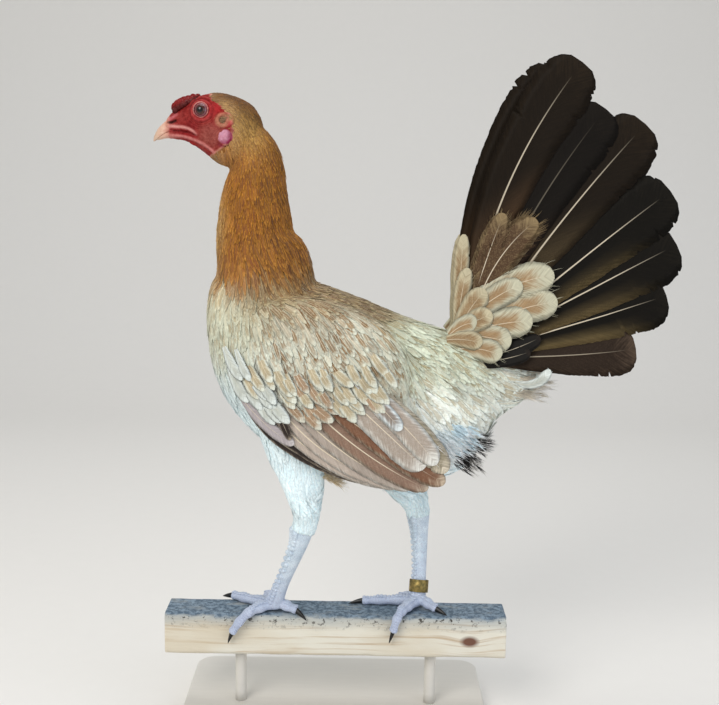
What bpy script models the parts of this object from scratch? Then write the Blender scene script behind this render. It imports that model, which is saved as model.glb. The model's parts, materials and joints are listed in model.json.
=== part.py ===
"""Gamefowl hen with a low pea comb, life size, standing along a roost bar on a plain stand.

The hen faces -X and +Z is up. Sizes below are in millimetres, and MM turns them into metres as each
mesh is made. The origin is the centre of the stand's underside.
"""
import math
import random

import bmesh
import bpy
from mathutils import Matrix, Vector

MM = 0.001
GAP = 0.3  # clearance that neighbouring solids keep
SEED = 7

# Stand and roost bar
BASE_SIZE = (270.0, 180.0, 12.0)
BASE_CORNER = 18.0
ROD_RADIUS = 5.0
ROD_SPAN = 170.0
PERCH_LENGTH = 300.0
PERCH_SIDE = 38.0
PERCH_TOP = 100.0
PERCH_EDGE = 4.0

# Torso sections from breast to vent: x, lowest z, highest z, half width
TORSO_FRONT = (-113.5, 356.0)
TORSO_REAR = (171.0, 313.0)
TORSO = (
    (-111.0, 334.0, 385.0, 18.0),
    (-106.0, 308.0, 398.0, 31.0),
    (-95.0, 284.0, 404.0, 42.0),
    (-78.0, 262.0, 405.0, 50.0),
    (-55.0, 243.0, 403.0, 54.0),
    (-28.0, 229.0, 396.0, 56.0),
    (2.0, 219.0, 387.0, 56.0),
    (32.0, 214.0, 375.5, 54.0),
    (60.0, 213.0, 364.5, 50.0),
    (86.0, 218.0, 357.0, 44.0),
    (108.0, 229.0, 350.0, 37.0),
    (120.0, 246.0, 344.0, 31.0),
    (134.0, 270.0, 337.0, 25.0),
    (150.0, 284.0, 331.0, 18.0),
    (163.0, 296.0, 325.0, 11.0),
)
TORSO_SIDES = 24

# Neck sections from inside the torso to inside the head: x, z, half depth, half width
NECK = (
    (-60.0, 368.0, 44.0, 42.0),
    (-66.0, 404.0, 43.5, 38.0),
    (-72.0, 424.0, 37.0, 33.0),
    (-73.2, 443.0, 34.0, 29.0),
    (-73.0, 464.0, 30.6, 25.5),
    (-71.0, 485.0, 25.5, 21.5),
    (-73.5, 499.0, 22.5, 18.5),
    (-83.0, 511.0, 20.0, 16.0),
)
NECK_SIDES = 16

# Head sections from nape to face: x, lowest z, highest z, half width
HEAD_BACK = (-67.0, 518.0)
HEAD = (
    (-70.0, 506.0, 529.0, 8.0),
    (-76.0, 498.0, 537.0, 13.0),
    (-86.0, 490.0, 542.5, 16.0),
    (-98.0, 487.5, 546.0, 17.0),
    (-108.0, 492.5, 546.5, 17.0),
    (-118.0, 500.0, 544.5, 15.5),
    (-127.0, 505.5, 540.5, 12.5),
    (-134.0, 508.0, 536.0, 10.0),
    (-141.0, 509.0, 531.0, 8.0),
)
HEAD_SIDES = 16

# Bill sections from face to tip: x, lowest z, highest z, half width
BILL_UPPER = (
    (-141.3, 513.6, 530.0, 7.2),
    (-147.0, 512.6, 525.6, 5.6),
    (-153.0, 511.2, 520.2, 3.8),
    (-158.0, 508.8, 514.4, 2.0),
)
BILL_UPPER_TIP = (-161.5, 507.6)
BILL_LOWER = (
    (-141.3, 508.4, 513.2, 6.4),
    (-147.0, 508.2, 512.2, 4.8),
    (-152.0, 508.2, 510.8, 3.0),
)
BILL_LOWER_TIP = (-156.5, 509.6)
BILL_SIDES = 12
MOUTH_LINE = ((-143.0, 513.4), (-121.0, 511.0))
MOUTH_GAP = 0.7
NOSTRIL = (-143.5, 6.2, 523.0)
NOSTRIL_RADII = (3.0, 1.6, 1.2)

EYE = (-115.9, 10.0, 532.0)
EYE_RADIUS = 6.2
EYELID_RADIUS = 6.6
EYELID_TUBE = 1.5
EAR = (-98.5, 16.8, 525.0)
EAR_RADIUS = 3.4
EAR_TUBE = 1.3
EARLOBE = (-96.5, 16.0, 511.5)
EARLOBE_RADII = (7.4, 4.2, 8.6)
WATTLE = (-121.0, 6.0, 501.5)
WATTLE_RADII = (8.0, 2.8, 5.5)

# Pea comb: three low rows of knobs, from the bill's root to above the eye
COMB_FROM = (-142.5, 532.5)
COMB_TO = (-119.0, 545.5)
COMB_ROWS = ((0.0, 3.4, 6), (-4.2, 2.5, 5), (4.2, 2.5, 5))

# Cuts that part the body: a point and the direction of the side that goes to the first name
HEAD_CUT = ((-82.0, 0.0, 506.0), (-0.79, 0.0, 0.61))
NECK_CUT = ((-64.0, 0.0, 386.5), (-0.21, 0.0, 0.98))
TAIL_CUT = ((105.0, 0.0, 306.0), (0.68, 0.0, 0.73))

# Left leg and right leg: the joints' places and the radii along them
THIGH_LEFT = (
    (-36.0, -24.0, 282.0, 38.0, 20.0),
    (-33.0, -31.0, 252.0, 30.0, 19.0),
    (-30.0, -34.0, 232.0, 22.5, 17.0),
    (-27.0, -34.0, 210.0, 16.5, 13.5),
    (-26.0, -31.0, 194.0, 12.8, 10.5),
    (-28.5, -29.0, 180.0, 10.3, 8.6),
)
THIGH_RIGHT = (
    (44.0, 24.0, 270.0, 34.0, 20.0),
    (50.0, 30.0, 240.0, 31.0, 19.0),
    (57.0, 31.0, 218.0, 26.0, 17.0),
    (65.0, 29.0, 200.0, 18.5, 13.5),
    (71.0, 27.0, 187.0, 12.0, 10.0),
    (73.5, 25.0, 177.0, 9.8, 8.6),
)
SHANK_LEFT = ((-28.5, -29.0, 182.0), (-33.0, -26.5, 165.0), (-47.0, -15.0, 128.0), (-54.0, -8.5, 106.5))
SHANK_RIGHT = ((73.5, 25.5, 182.0), (74.5, 23.0, 162.0), (74.5, 14.0, 130.0), (73.0, 6.5, 106.5))
SHANK_RADII = ((9.6, 8.2), (7.4, 6.4), (6.0, 5.2), (7.2, 6.6))
SCUTE_RISE = 0.55
HOCK_Z = 181.0
THIGH_SIDES = 14
ANKLE_Z = 113.0

# Toes: the bends from the foot's pad to the claw's root, then the claw's tip
TOES_LEFT = {
    "1": (((-52.0, -8.0, 108.0), (-43.5, -12.5, 105.6), (-35.0, -17.0, 104.2)), (-25.5, -23.0, 97.0)),
    "2": (((-54.0, -5.0, 106.2), (-58.0, 6.0, 105.2), (-62.0, 15.0, 104.4), (-64.5, 22.8, 99.0),
           (-65.0, 23.6, 90.0)), (-66.0, 22.6, 79.0)),
    "3": (((-57.0, -7.0, 106.2), (-70.0, 0.0, 105.0), (-84.0, 9.0, 104.4), (-93.5, 15.0, 104.2)),
          (-104.0, 22.0, 100.5)),
    "4": (((-56.0, -9.0, 106.2), (-67.0, -15.5, 105.2), (-76.0, -21.0, 102.6), (-84.0, -23.8, 95.0),
           (-90.0, -23.7, 86.0)), (-94.0, -22.8, 74.5)),
}
TOES_RIGHT = {
    "1": (((74.0, 5.0, 108.0), (81.5, -2.0, 105.6), (88.0, -8.5, 104.2)), (97.5, -15.5, 100.8)),
    "2": (((71.0, 3.0, 106.2), (63.0, -8.0, 105.2), (58.0, -15.5, 104.0), (53.5, -22.6, 99.5),
           (50.5, -23.6, 89.0)), (47.0, -22.7, 77.0)),
    "3": (((71.0, 6.0, 106.2), (56.0, 8.0, 105.0), (39.0, 8.5, 104.4), (24.0, 8.0, 104.0)),
          (11.0, 7.5, 101.2)),
    "4": (((71.0, 8.0, 106.2), (63.0, 15.0, 104.9), (58.0, 21.6, 101.5), (55.0, 23.8, 92.0)),
          (52.5, 22.8, 81.0)),
}
TOE_RADIUS = (5.0, 3.7)
TOE_KNUCKLE = 0.09
CLAW_RADIUS = 2.5
FOOT_PAD_LEFT = (-54.5, -8.0, 106.4)
FOOT_PAD_RIGHT = (72.0, 6.0, 106.4)
FOOT_PAD_RADII = (8.6, 7.6, 5.8)

# Leg band on the right shank
BAND_Z = 118.0
BAND_HEIGHT = 11.0
BAND_INNER = 7.6
BAND_WALL = 1.0

# Wings: an arm against the flank, and the outer surface that its feathers drape over
ARM_CENTRE = (-16.0, 38.0, 326.0)
ARM_RADII = (79.0, 27.0, 56.0)
ARM_TILT = 15.0
ARM_INSET = 3.2
WING_FACE = (70.5, 0.0, 318.0, 0.0015, 0.0012)  # highest point's Y, its X and Z, and the fall along each

# Feather shapes: share of the length, and share of the width there
FLIGHT_PROFILE = ((0.0, 0.42), (0.35, 0.88), (0.7, 1.0), (0.92, 0.72), (1.0, 0.24))
COVERT_PROFILE = ((0.0, 0.5), (0.45, 0.96), (0.82, 0.9), (1.0, 0.34))
TAIL_PROFILE = ((0.0, 0.14), (0.25, 0.5), (0.55, 0.88), (0.8, 1.0), (0.94, 0.74), (1.0, 0.3))
FLIGHT_THICKNESS = (0.65, 1.0)  # at the edges and along the shaft
COVERT_THICKNESS = 0.75

# Folded flight feathers: for the lowest, the middle and the highest one, the shaft's root, bend and tip
FLIGHT_LOWEST = ((-78.0, 300.0), (-40.0, 248.0), (38.0, 225.5))
FLIGHT_MIDDLE = ((-34.0, 309.0), (18.0, 260.0), (91.0, 223.0))
FLIGHT_HIGHEST = ((4.0, 322.0), (38.0, 292.0), (72.0, 266.0))
FLIGHT_COUNT = 12
FLIGHT_WIDTH = (13.0, 20.0)
FLIGHT_DEPTH = (4.6, 2.6)
FLIGHT_TILT = (13.0, 10.0)

# Rows of coverts: the line of their tips, the length, the width, the lie at each end of the row, the
# count and the depth under the outer surface
COVERT_ROWS = (
    (((-60.0, 291.0), (-36.0, 283.0), (-8.0, 273.0), (20.0, 279.0), (52.0, 280.0)), 42.0, 17.0, (-52.0, -46.0), 7, 1.6),
    (((-72.0, 309.0), (-42.0, 307.0), (-12.0, 303.0), (18.0, 307.0), (47.0, 305.0)), 34.0, 18.5, (-64.0, -54.0), 7, 0.6),
    (((-78.0, 331.0), (-46.0, 331.0), (-14.0, 328.0), (16.0, 330.0), (40.0, 331.0)), 30.0, 20.0, (-70.0, -58.0), 6, -0.4),
)
COVERT_TILT = 6.0
COVERT_SINK = 9.5

# Tail: where the quills meet, and for each feather of the left and right halves the tip's angle above
# the horizontal, the length, the bend and the width
TAIL_ROOT = (108.0, 331.0)
TAIL_LEFT = (
    (70.3, 260.0, 20.0, 50.0),
    (62.0, 233.0, 10.0, 44.0),
    (55.3, 241.0, 5.0, 46.0),
    (41.0, 214.0, 3.0, 46.0),
    (29.0, 193.0, 1.5, 44.0),
    (18.5, 168.0, 0.0, 40.0),
    (4.0, 139.0, -3.0, 34.0),
)
TAIL_RIGHT = (
    (73.0, 250.0, 22.0, 50.0),
    (61.0, 228.0, 10.0, 44.0),
    (52.0, 234.0, 5.0, 46.0),
    (38.0, 210.0, 3.0, 46.0),
    (26.0, 189.0, 1.5, 44.0),
    (14.5, 164.0, 0.0, 40.0),
    (1.5, 143.0, -3.0, 34.0),
)
TAIL_LAYER = 1.3
TAIL_TENT = (4.0, 33.0)  # Y of the surface under the top feather and under the lowest one
TAIL_THICKNESS = (0.7, 1.4)
# Tail coverts: root, bend and tip of the shaft, the width and the layer outside the tail's own
TAIL_COVERTS = (
    ((100.0, 338.0), (104.0, 375.0), (107.0, 412.0), 16.0, 1),
    ((104.0, 338.0), (128.0, 385.0), (164.0, 441.0), 25.0, 1),
    ((106.0, 337.0), (134.0, 375.0), (174.0, 413.0), 25.0, 2),
    ((104.0, 338.0), (118.0, 366.0), (133.0, 398.0), 20.0, 3),
    ((107.0, 335.0), (141.0, 368.0), (178.0, 392.0), 25.0, 3),
    ((107.0, 333.0), (138.0, 357.0), (163.0, 368.0), 22.0, 4),
    ((107.0, 331.0), (135.0, 346.0), (154.0, 349.0), 21.0, 5),
)

COLOURS = {
    "horn": ((0.80, 0.66, 0.55), 0.4, 0.0),
    "face": ((0.62, 0.10, 0.09), 0.55, 0.0),
    "eye": ((0.09, 0.04, 0.03), 0.1, 0.0),
    "earlobe": ((0.78, 0.48, 0.50), 0.6, 0.0),
    "hackle": ((0.58, 0.32, 0.12), 0.8, 0.0),
    "body": ((0.80, 0.72, 0.60), 0.85, 0.0),
    "wing": ((0.56, 0.40, 0.30), 0.8, 0.0),
    "tail": ((0.05, 0.04, 0.035), 0.7, 0.0),
    "leg": ((0.80, 0.82, 0.86), 0.55, 0.0),
    "claw": ((0.55, 0.52, 0.52), 0.4, 0.0),
    "band": ((0.62, 0.55, 0.38), 0.35, 1.0),
    "roost": ((0.66, 0.57, 0.44), 0.8, 0.0),
    "stand": ((0.78, 0.77, 0.74), 0.5, 0.0),
}


def clear_scene():
    """Removes every object, so that only the model is left."""
    for thing in list(bpy.data.objects):
        bpy.data.objects.remove(thing, do_unlink=True)


def material(name):
    """The Principled material for a finish named in COLOURS."""
    made = bpy.data.materials.get(name)
    if made is None:
        made = bpy.data.materials.new(name)
        made.use_nodes = True
        colour, roughness, metallic = COLOURS[name]
        shader = made.node_tree.nodes["Principled BSDF"]
        shader.inputs["Base Color"].default_value = (*colour, 1.0)
        shader.inputs["Roughness"].default_value = roughness
        shader.inputs["Metallic"].default_value = metallic
    return made


def new_object(name, mesh, finish):
    """A mesh object in the model's collection, with its faces pointing out."""
    data = bpy.data.meshes.new(name)
    bmesh.ops.recalc_face_normals(mesh, faces=mesh.faces)
    mesh.to_mesh(data)
    mesh.free()
    thing = bpy.data.objects.new(name, data)
    bpy.data.collections[MODEL].objects.link(thing)
    data.materials.append(material(finish))
    return thing


MODEL = "gamefowl_hen"


def ring(centre, across, upward, half_across, half_up, sides):
    """Points of an ellipse about centre, in the plane of the two directions."""
    points = []
    for i in range(sides):
        angle = 2 * math.pi * i / sides
        points.append(centre + across * half_across * math.cos(angle) + upward * half_up * math.sin(angle))
    return points


def loft(rings, start=None, end=None):
    """A closed mesh over rings of points, with a pole or a flat face at each end."""
    mesh = bmesh.new()
    loops = [[mesh.verts.new(point * MM) for point in points] for points in rings]
    for low, high in zip(loops, loops[1:]):
        for i in range(len(low)):
            j = (i + 1) % len(low)
            mesh.faces.new((low[i], low[j], high[j]))
            mesh.faces.new((low[i], high[j], high[i]))
    for loop, pole in ((loops[0], start), (loops[-1], end)):
        if pole is None:
            mesh.faces.new(loop)
            continue
        tip = mesh.verts.new(Vector(pole) * MM)
        for i in range(len(loop)):
            mesh.faces.new((loop[i], loop[(i + 1) % len(loop)], tip))
    bmesh.ops.triangulate(mesh, faces=[face for face in mesh.faces if len(face.verts) > 4])
    return mesh


def upright_rings(stations, sides, grow=0.0):
    """Rings square to X for stations of x, lowest z, highest z and half width."""
    across, upward = Vector((0, 1, 0)), Vector((0, 0, 1))
    return [
        ring(Vector((x, 0, (low + high) / 2)), across, upward, half + grow, (high - low) / 2 + grow, sides)
        for x, low, high, half in stations
    ]


def smooth_path(points, steps):
    """Points on a Catmull-Rom curve through the given ones, with steps between each two."""
    points = [Vector(point) for point in points]
    ends = [2 * points[0] - points[1], *points, 2 * points[-1] - points[-2]]
    path = []
    for a, b, c, d in zip(ends, ends[1:], ends[2:], ends[3:]):
        for step in range(steps):
            t = step / steps
            path.append(0.5 * (2 * b + (c - a) * t + (2 * a - 5 * b + 4 * c - d) * t**2
                               + (3 * b - a - 3 * c + d) * t**3))
    return [*path, points[-1]]


def tube_rings(path, radii, sides, guide=Vector((1, 0, 0)), start=None):
    """Rings square to a path (the first to start, if given), radii being halves along and across the guide."""
    rings = []
    for i, point in enumerate(path):
        along = (path[min(i + 1, len(path) - 1)] - path[max(i - 1, 0)]).normalized()
        if i == 0 and start is not None:
            along = start
        across = along.cross(guide).normalized()
        forward = across.cross(along).normalized()
        rings.append(ring(point, across, forward, radii[i][1], radii[i][0], sides))
    return rings


def ellipsoid(centre, radii, segments, rings, turn=None):
    """A UV sphere stretched to the radii, turned, and set at centre."""
    mesh = bmesh.new()
    bmesh.ops.create_uvsphere(mesh, u_segments=segments, v_segments=rings, radius=1.0)
    place = Matrix.Translation(Vector(centre) * MM) @ (turn or Matrix()) @ Matrix.Diagonal(
        (*(radius * MM for radius in radii), 1.0)
    )
    bmesh.ops.transform(mesh, matrix=place, verts=mesh.verts)
    bmesh.ops.triangulate(mesh, faces=mesh.faces)
    return mesh


def torus(centre, axis, radius, tube, segments, sides):
    """A ring of round section about an axis through centre."""
    side = axis.orthogonal().normalized()
    other = axis.cross(side).normalized()
    mesh = bmesh.new()
    loops = []
    for i in range(segments):
        angle = 2 * math.pi * i / segments
        outward = side * math.cos(angle) + other * math.sin(angle)
        points = ring(Vector(centre) + outward * radius, outward, axis, tube, tube, sides)
        loops.append([mesh.verts.new(point * MM) for point in points])
    for i in range(segments):
        low, high = loops[i], loops[(i + 1) % segments]
        for j in range(sides):
            k = (j + 1) % sides
            mesh.faces.new((low[j], low[k], high[k]))
            mesh.faces.new((low[j], high[k], high[j]))
    return mesh


def combine(thing, others, operation):
    """Joins or cuts thing with other objects, applies it and removes them."""
    group = bpy.data.collections.new("operands")
    bpy.context.scene.collection.children.link(group)
    for other in others:
        bpy.data.collections[MODEL].objects.unlink(other)
        group.objects.link(other)
    modifier = thing.modifiers.new(operation, "BOOLEAN")
    modifier.operation = operation
    modifier.operand_type = "COLLECTION"
    modifier.collection = group
    modifier.solver = "EXACT"
    bpy.context.view_layer.update()
    graph = bpy.context.evaluated_depsgraph_get()
    result = bpy.data.meshes.new_from_object(thing.evaluated_get(graph))
    thing.modifiers.clear()
    thing.data = result
    for other in others:
        bpy.data.objects.remove(other, do_unlink=True)
    bpy.data.collections.remove(group)
    keep_largest(thing)
    return thing


def keep_largest(thing):
    """Drops every closed surface of a mesh but the one with the largest area."""
    mesh = bmesh.new()
    mesh.from_mesh(thing.data)
    left, pieces = set(mesh.faces), []
    while left:
        stack, piece = [left.pop()], []
        while stack:
            face = stack.pop()
            piece.append(face)
            for edge in face.edges:
                for near in edge.link_faces:
                    if near in left:
                        left.remove(near)
                        stack.append(near)
        pieces.append(piece)
    pieces.sort(key=lambda piece: sum(face.calc_area() for face in piece))
    for piece in pieces[:-1]:
        bmesh.ops.delete(mesh, geom=piece, context="FACES")
    mesh.to_mesh(thing.data)
    mesh.free()


def part_of(source, name, finish, planes):
    """A copy of source, kept on the side of each plane that its direction points to."""
    mesh = bmesh.new()
    mesh.from_mesh(source.data)
    for point, direction in planes:
        bmesh.ops.bisect_plane(mesh, geom=[*mesh.verts, *mesh.edges, *mesh.faces], dist=1e-7,
                               plane_co=point, plane_no=direction, clear_inner=True)
        rim = [edge for edge in mesh.edges if edge.is_boundary]
        filled = bmesh.ops.holes_fill(mesh, edges=rim, sides=0)
        bmesh.ops.triangulate(mesh, faces=filled["faces"])
    made = new_object(name, mesh, finish)
    keep_largest(made)
    return made


def side_of(cut, sign):
    """A cut's plane moved half a gap towards one side, with its direction facing that side."""
    point, direction = Vector(cut[0]), Vector(cut[1]).normalized() * sign
    return (point + direction * GAP / 2) * MM, direction


def torso_mesh(grow=0.0):
    """The feathered body from breast to vent, or a copy grown on every side."""
    return loft(upright_rings(TORSO, TORSO_SIDES, grow),
                (TORSO_FRONT[0] - grow, 0, TORSO_FRONT[1]), (TORSO_REAR[0] + grow, 0, TORSO_REAR[1]))


def neck_mesh(grow=0.0):
    """The neck with its hackle, from inside the torso to inside the head, or a copy grown sideways."""
    path = [Vector((x, 0, z)) for x, z, _, _ in NECK]
    return loft(tube_rings(path, [(depth + grow, width + grow) for _, _, depth, width in NECK], NECK_SIDES))


def thigh_mesh(thigh, grow=0.0):
    """A drumstick with its feathers, from inside the body to the hock, or a copy grown sideways."""
    path = [Vector(point[:3]) for point in thigh]
    return loft(tube_rings(path, [(point[3] + grow, point[4] + grow) for point in thigh], THIGH_SIDES))


def body_room(thigh=None):
    """Cutters a gap larger than the torso and neck, and than a thigh if one is given."""
    meshes = [torso_mesh(GAP), neck_mesh(GAP)]
    if thigh:
        meshes.append(thigh_mesh(thigh, GAP * 1.3))
    return [new_object("body_room", mesh, "body") for mesh in meshes]


def head_mesh(grow=0.0):
    """The skull and face up to the bill's root, or a copy grown on every side."""
    return loft(upright_rings(HEAD, HEAD_SIDES, grow), (HEAD_BACK[0] + grow, 0, HEAD_BACK[1]))


def build_body():
    """Torso, neck and head modelled whole, then parted into nodes."""
    whole = new_object("whole_body", torso_mesh(), "body")
    combine(whole, [new_object("neck_form", neck_mesh(), "hackle"),
                    new_object("head_form", head_mesh(), "face")], "UNION")
    head = part_of(whole, "head", "face", [side_of(HEAD_CUT, 1)])
    part_of(whole, "neck", "hackle", [side_of(HEAD_CUT, -1), side_of(NECK_CUT, 1)])
    torso = part_of(whole, "torso", "body", [side_of(NECK_CUT, -1), side_of(TAIL_CUT, -1)])
    rump_sides = {
        side: part_of(whole, f"tail_{side}", "tail",
                      [side_of(TAIL_CUT, 1), (Vector((0, sign * GAP / 2 * MM, 0)), Vector((0, sign, 0)))])
        for side, sign in (("left", -1), ("right", 1))
    }
    bpy.data.objects.remove(whole, do_unlink=True)
    return head, torso, rump_sides


def build_face(head):
    """Eyelids, ears and wattles on the head, and the eyes, earlobes, bill and comb beside it."""
    joined, cutters = [], []
    for side, sign in (("left", -1), ("right", 1)):
        eye = Vector((EYE[0], sign * EYE[1], EYE[2]))
        outward = Vector((-0.12, sign, 0.06)).normalized()
        lid = torus(eye + outward * (EYE_RADIUS - 1.6), outward, EYELID_RADIUS - 1.0, EYELID_TUBE, 14, 5)
        joined.append(new_object(f"lid_{side}", lid, "face"))
        ear = torus((EAR[0], sign * EAR[1], EAR[2]), Vector((0.1, sign, 0)).normalized(),
                    EAR_RADIUS, EAR_TUBE, 9, 5)
        joined.append(new_object(f"ear_rim_{side}", ear, "face"))
        wattle = ellipsoid((WATTLE[0], sign * WATTLE[1], WATTLE[2]), WATTLE_RADII, 10, 6)
        joined.append(new_object(f"wattle_{side}", wattle, "face"))
        socket = ellipsoid(eye, [EYE_RADIUS + GAP * 1.5] * 3, 14, 8)
        cutters.append(new_object(f"socket_{side}", socket, "face"))
        pit = ellipsoid((EAR[0], sign * (EAR[1] + 1.0), EAR[2]), (2.2, 4.0, 2.2), 8, 6)
        cutters.append(new_object(f"ear_pit_{side}", pit, "face"))
        new_object(f"eye_{side}", ellipsoid(eye, [EYE_RADIUS] * 3, 16, 10), "eye")
    combine(head, joined, "UNION")
    start, end = (Vector((x, 0, z)) for x, z in MOUTH_LINE)
    mouth = bmesh.new()
    bmesh.ops.create_cube(mouth, size=1.0)
    slope = math.atan2(end.z - start.z, end.x - start.x)
    place = (Matrix.Translation((start + end) / 2 * MM) @ Matrix.Rotation(-slope, 4, "Y")
             @ Matrix.Diagonal(((end - start).length * MM, 60 * MM, MOUTH_GAP * MM, 1.0)))
    bmesh.ops.transform(mouth, matrix=place, verts=mouth.verts)
    cutters.append(new_object("mouth_cut", mouth, "face"))
    combine(head, cutters, "DIFFERENCE")
    build_lobes(head)
    build_bill()
    build_comb()


def build_lobes(head):
    """An earlobe on each cheek, cut clear of the head."""
    for side, sign in (("left", -1), ("right", 1)):
        lobe = new_object(f"earlobe_{side}",
                          ellipsoid((EARLOBE[0], sign * EARLOBE[1], EARLOBE[2]), EARLOBE_RADII, 14, 8), "earlobe")
        combine(lobe, [new_object("cheek", head_mesh(GAP), "face")], "DIFFERENCE")


def build_bill():
    """Upper and lower halves of the bill, with a nostril in each side of the upper one."""
    upper = new_object("bill_upper", loft(upright_rings(BILL_UPPER, BILL_SIDES),
                                          None, (BILL_UPPER_TIP[0], 0, BILL_UPPER_TIP[1])), "horn")
    pits = [
        new_object("nostril", ellipsoid((NOSTRIL[0], sign * NOSTRIL[1], NOSTRIL[2]), NOSTRIL_RADII, 8, 6), "horn")
        for sign in (-1, 1)
    ]
    combine(upper, pits, "DIFFERENCE")
    new_object("bill_lower", loft(upright_rings(BILL_LOWER, BILL_SIDES),
                                  None, (BILL_LOWER_TIP[0], 0, BILL_LOWER_TIP[1])), "horn")


def build_comb():
    """Rows of low knobs fused into one comb, cut clear of the crown and the bill."""
    start, end = (Vector((x, 0, z)) for x, z in (COMB_FROM, COMB_TO))
    slope = math.atan2(end.z - start.z, end.x - start.x)
    turn = Matrix.Rotation(-slope, 4, "Y")
    core = new_object("comb", ellipsoid((start + end) / 2, ((end - start).length / 2 + 1.0, 6.5, 3.6),
                                        14, 8, turn), "face")
    draw = random.Random(SEED)
    knobs = []
    for y, radius, count in COMB_ROWS:
        for i in range(count):
            spot = start.lerp(end, (i + 0.5) / count) + Vector((0, y, 1.6 - abs(y) * 0.25))
            size = radius * draw.uniform(0.85, 1.1)
            knobs.append(new_object("knob", ellipsoid(spot, (size, size * 0.8, size), 6, 4), "face"))
    combine(core, knobs, "UNION")
    combine(core, [new_object("crown", head_mesh(GAP), "face")], "DIFFERENCE")
    blocks = [new_object("bill_room", loft(upright_rings(BILL_UPPER, BILL_SIDES, GAP),
                                           (BILL_UPPER[0][0] + GAP, 0, 522.0),
                                           (BILL_UPPER_TIP[0], 0, BILL_UPPER_TIP[1])), "horn")]
    combine(core, blocks, "DIFFERENCE")


def shank_path(points, count):
    """Evenly stepped points and radii down a shank, with the front scutes' rise at every other one."""
    path = smooth_path(points, count)
    radii = []
    for i in range(len(path)):
        t = i / (len(path) - 1) * (len(SHANK_RADII) - 1)
        low = min(int(t), len(SHANK_RADII) - 2)
        a, b = SHANK_RADII[low], SHANK_RADII[low + 1]
        rise = SCUTE_RISE if i % 2 else 0.0
        radii.append(tuple(a[k] + (b[k] - a[k]) * (t - low) + rise for k in (0, 1)))
    return path, radii


def toe_forms(bends, tip):
    """A toe's mesh with knuckles, and the claw's mesh beyond it."""
    path = smooth_path(bends, 3)
    last = len(path) - 1
    radii = []
    for i in range(last + 1):
        radius = TOE_RADIUS[0] + (TOE_RADIUS[1] - TOE_RADIUS[0]) * i / last
        radius *= 1 + TOE_KNUCKLE * math.cos(2 * math.pi * i / 3)
        radii.append((radius, radius))
    guide = Vector((0.31, 0.12, 1.0))
    toe = loft(tube_rings(path, radii, 8, guide), path[0] - (path[1] - path[0]).normalized() * 2)
    onward = (path[-1] - path[-2]).normalized()
    root = path[-1] + onward * GAP
    bend = root.lerp(Vector(tip), 0.5) + onward * 1.6
    claw_path = smooth_path((root, bend, tip), 3)[:-1]
    count = len(claw_path)
    claw_radii = [(CLAW_RADIUS * (1 - 0.75 * i / count),) * 2 for i in range(count)]
    claw = loft(tube_rings(claw_path, claw_radii, 7, guide, onward), None, tip)
    return toe, claw


def build_leg(side, thigh, shank, toes, pad):
    """A leg modelled whole, then parted at the hock and the foot, with its claws beside it."""
    shank_points, shank_radii = shank_path(shank, 5)
    whole = new_object(f"whole_leg_{side}", thigh_mesh(thigh), "body")
    pieces = [new_object("shank_form", loft(tube_rings(shank_points, shank_radii, 10)), "leg"),
              new_object("pad_form", ellipsoid(pad, FOOT_PAD_RADII, 12, 8), "leg")]
    claws = []
    for number, (bends, tip) in toes.items():
        toe, claw = toe_forms(bends, tip)
        pieces.append(new_object("toe_form", toe, "leg"))
        claws.append(new_object(f"claw_{side}_{number}", claw, "claw"))
    combine(whole, pieces, "UNION")
    hock = ((0, 0, HOCK_Z), (0, 0, 1))
    ankle = ((0, 0, ANKLE_Z), (0, 0, 1))
    upper = part_of(whole, f"thigh_{side}", "body", [side_of(hock, 1)])
    part_of(whole, f"shank_{side}", "leg", [side_of(hock, -1), side_of(ankle, 1)])
    foot = part_of(whole, f"foot_{side}", "leg", [side_of(ankle, -1)])
    for thing in [foot, *claws]:
        combine(thing, [build_bar("bar_room", GAP)], "DIFFERENCE")
    bpy.data.objects.remove(whole, do_unlink=True)
    combine(upper, body_room(), "DIFFERENCE")


def flat_path(points, shares):
    """Points at the shares of a quadratic curve in the XZ plane that starts, bends and ends as given."""
    root, bend, tip = (Vector(point) for point in points)
    return [root * (1 - t) ** 2 + bend * 2 * t * (1 - t) + tip * t * t for t in shares]


def vane(points, profile, width, thickness, depth_at):
    """A feather's vane whose Y is given by depth_at(x, z, across), split alike on both faces."""
    path = flat_path(points, [share for share, _ in profile])
    edge, middle = thickness if isinstance(thickness, tuple) else (thickness, None)
    mesh = bmesh.new()
    loops = []
    for i, point in enumerate(path):
        along = (path[min(i + 1, len(path) - 1)] - path[max(i - 1, 0)]).normalized()
        across = Vector((-along.y, along.x))
        half = width / 2 * profile[i][1]
        stops = ((-1, edge), (1, edge)) if middle is None else ((-1, edge), (0, middle), (1, edge))
        faces = []
        for side in (1, -1):
            for share, thick in stops[::side]:
                spot = point + across * half * share
                y = depth_at(spot.x, spot.y, half * share) + side * thick / 2
                faces.append(mesh.verts.new(Vector((spot.x, y, spot.y)) * MM))
        loops.append(faces)
    count = len(loops[0])
    for low, high in zip(loops, loops[1:]):
        for i in range(count):
            j = (i + 1) % count
            if i < count // 2:
                mesh.faces.new((low[i], low[j], high[j]))
                mesh.faces.new((low[i], high[j], high[i]))
            else:
                mesh.faces.new((low[i], low[j], high[i]))
                mesh.faces.new((low[j], high[j], high[i]))
    for loop in (loops[0], loops[-1]):
        for i in range(count // 2 - 1):
            quad = (loop[i], loop[i + 1], loop[count - 2 - i], loop[count - 1 - i])
            mesh.faces.new(quad[:3])
            mesh.faces.new((quad[0], quad[2], quad[3]))
    return mesh


def wing_face(x, z):
    """Y of a wing's outer surface at x and z."""
    top, middle_x, middle_z, fall_x, fall_z = WING_FACE
    return top - fall_x * (x - middle_x) ** 2 - fall_z * (z - middle_z) ** 2


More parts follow.
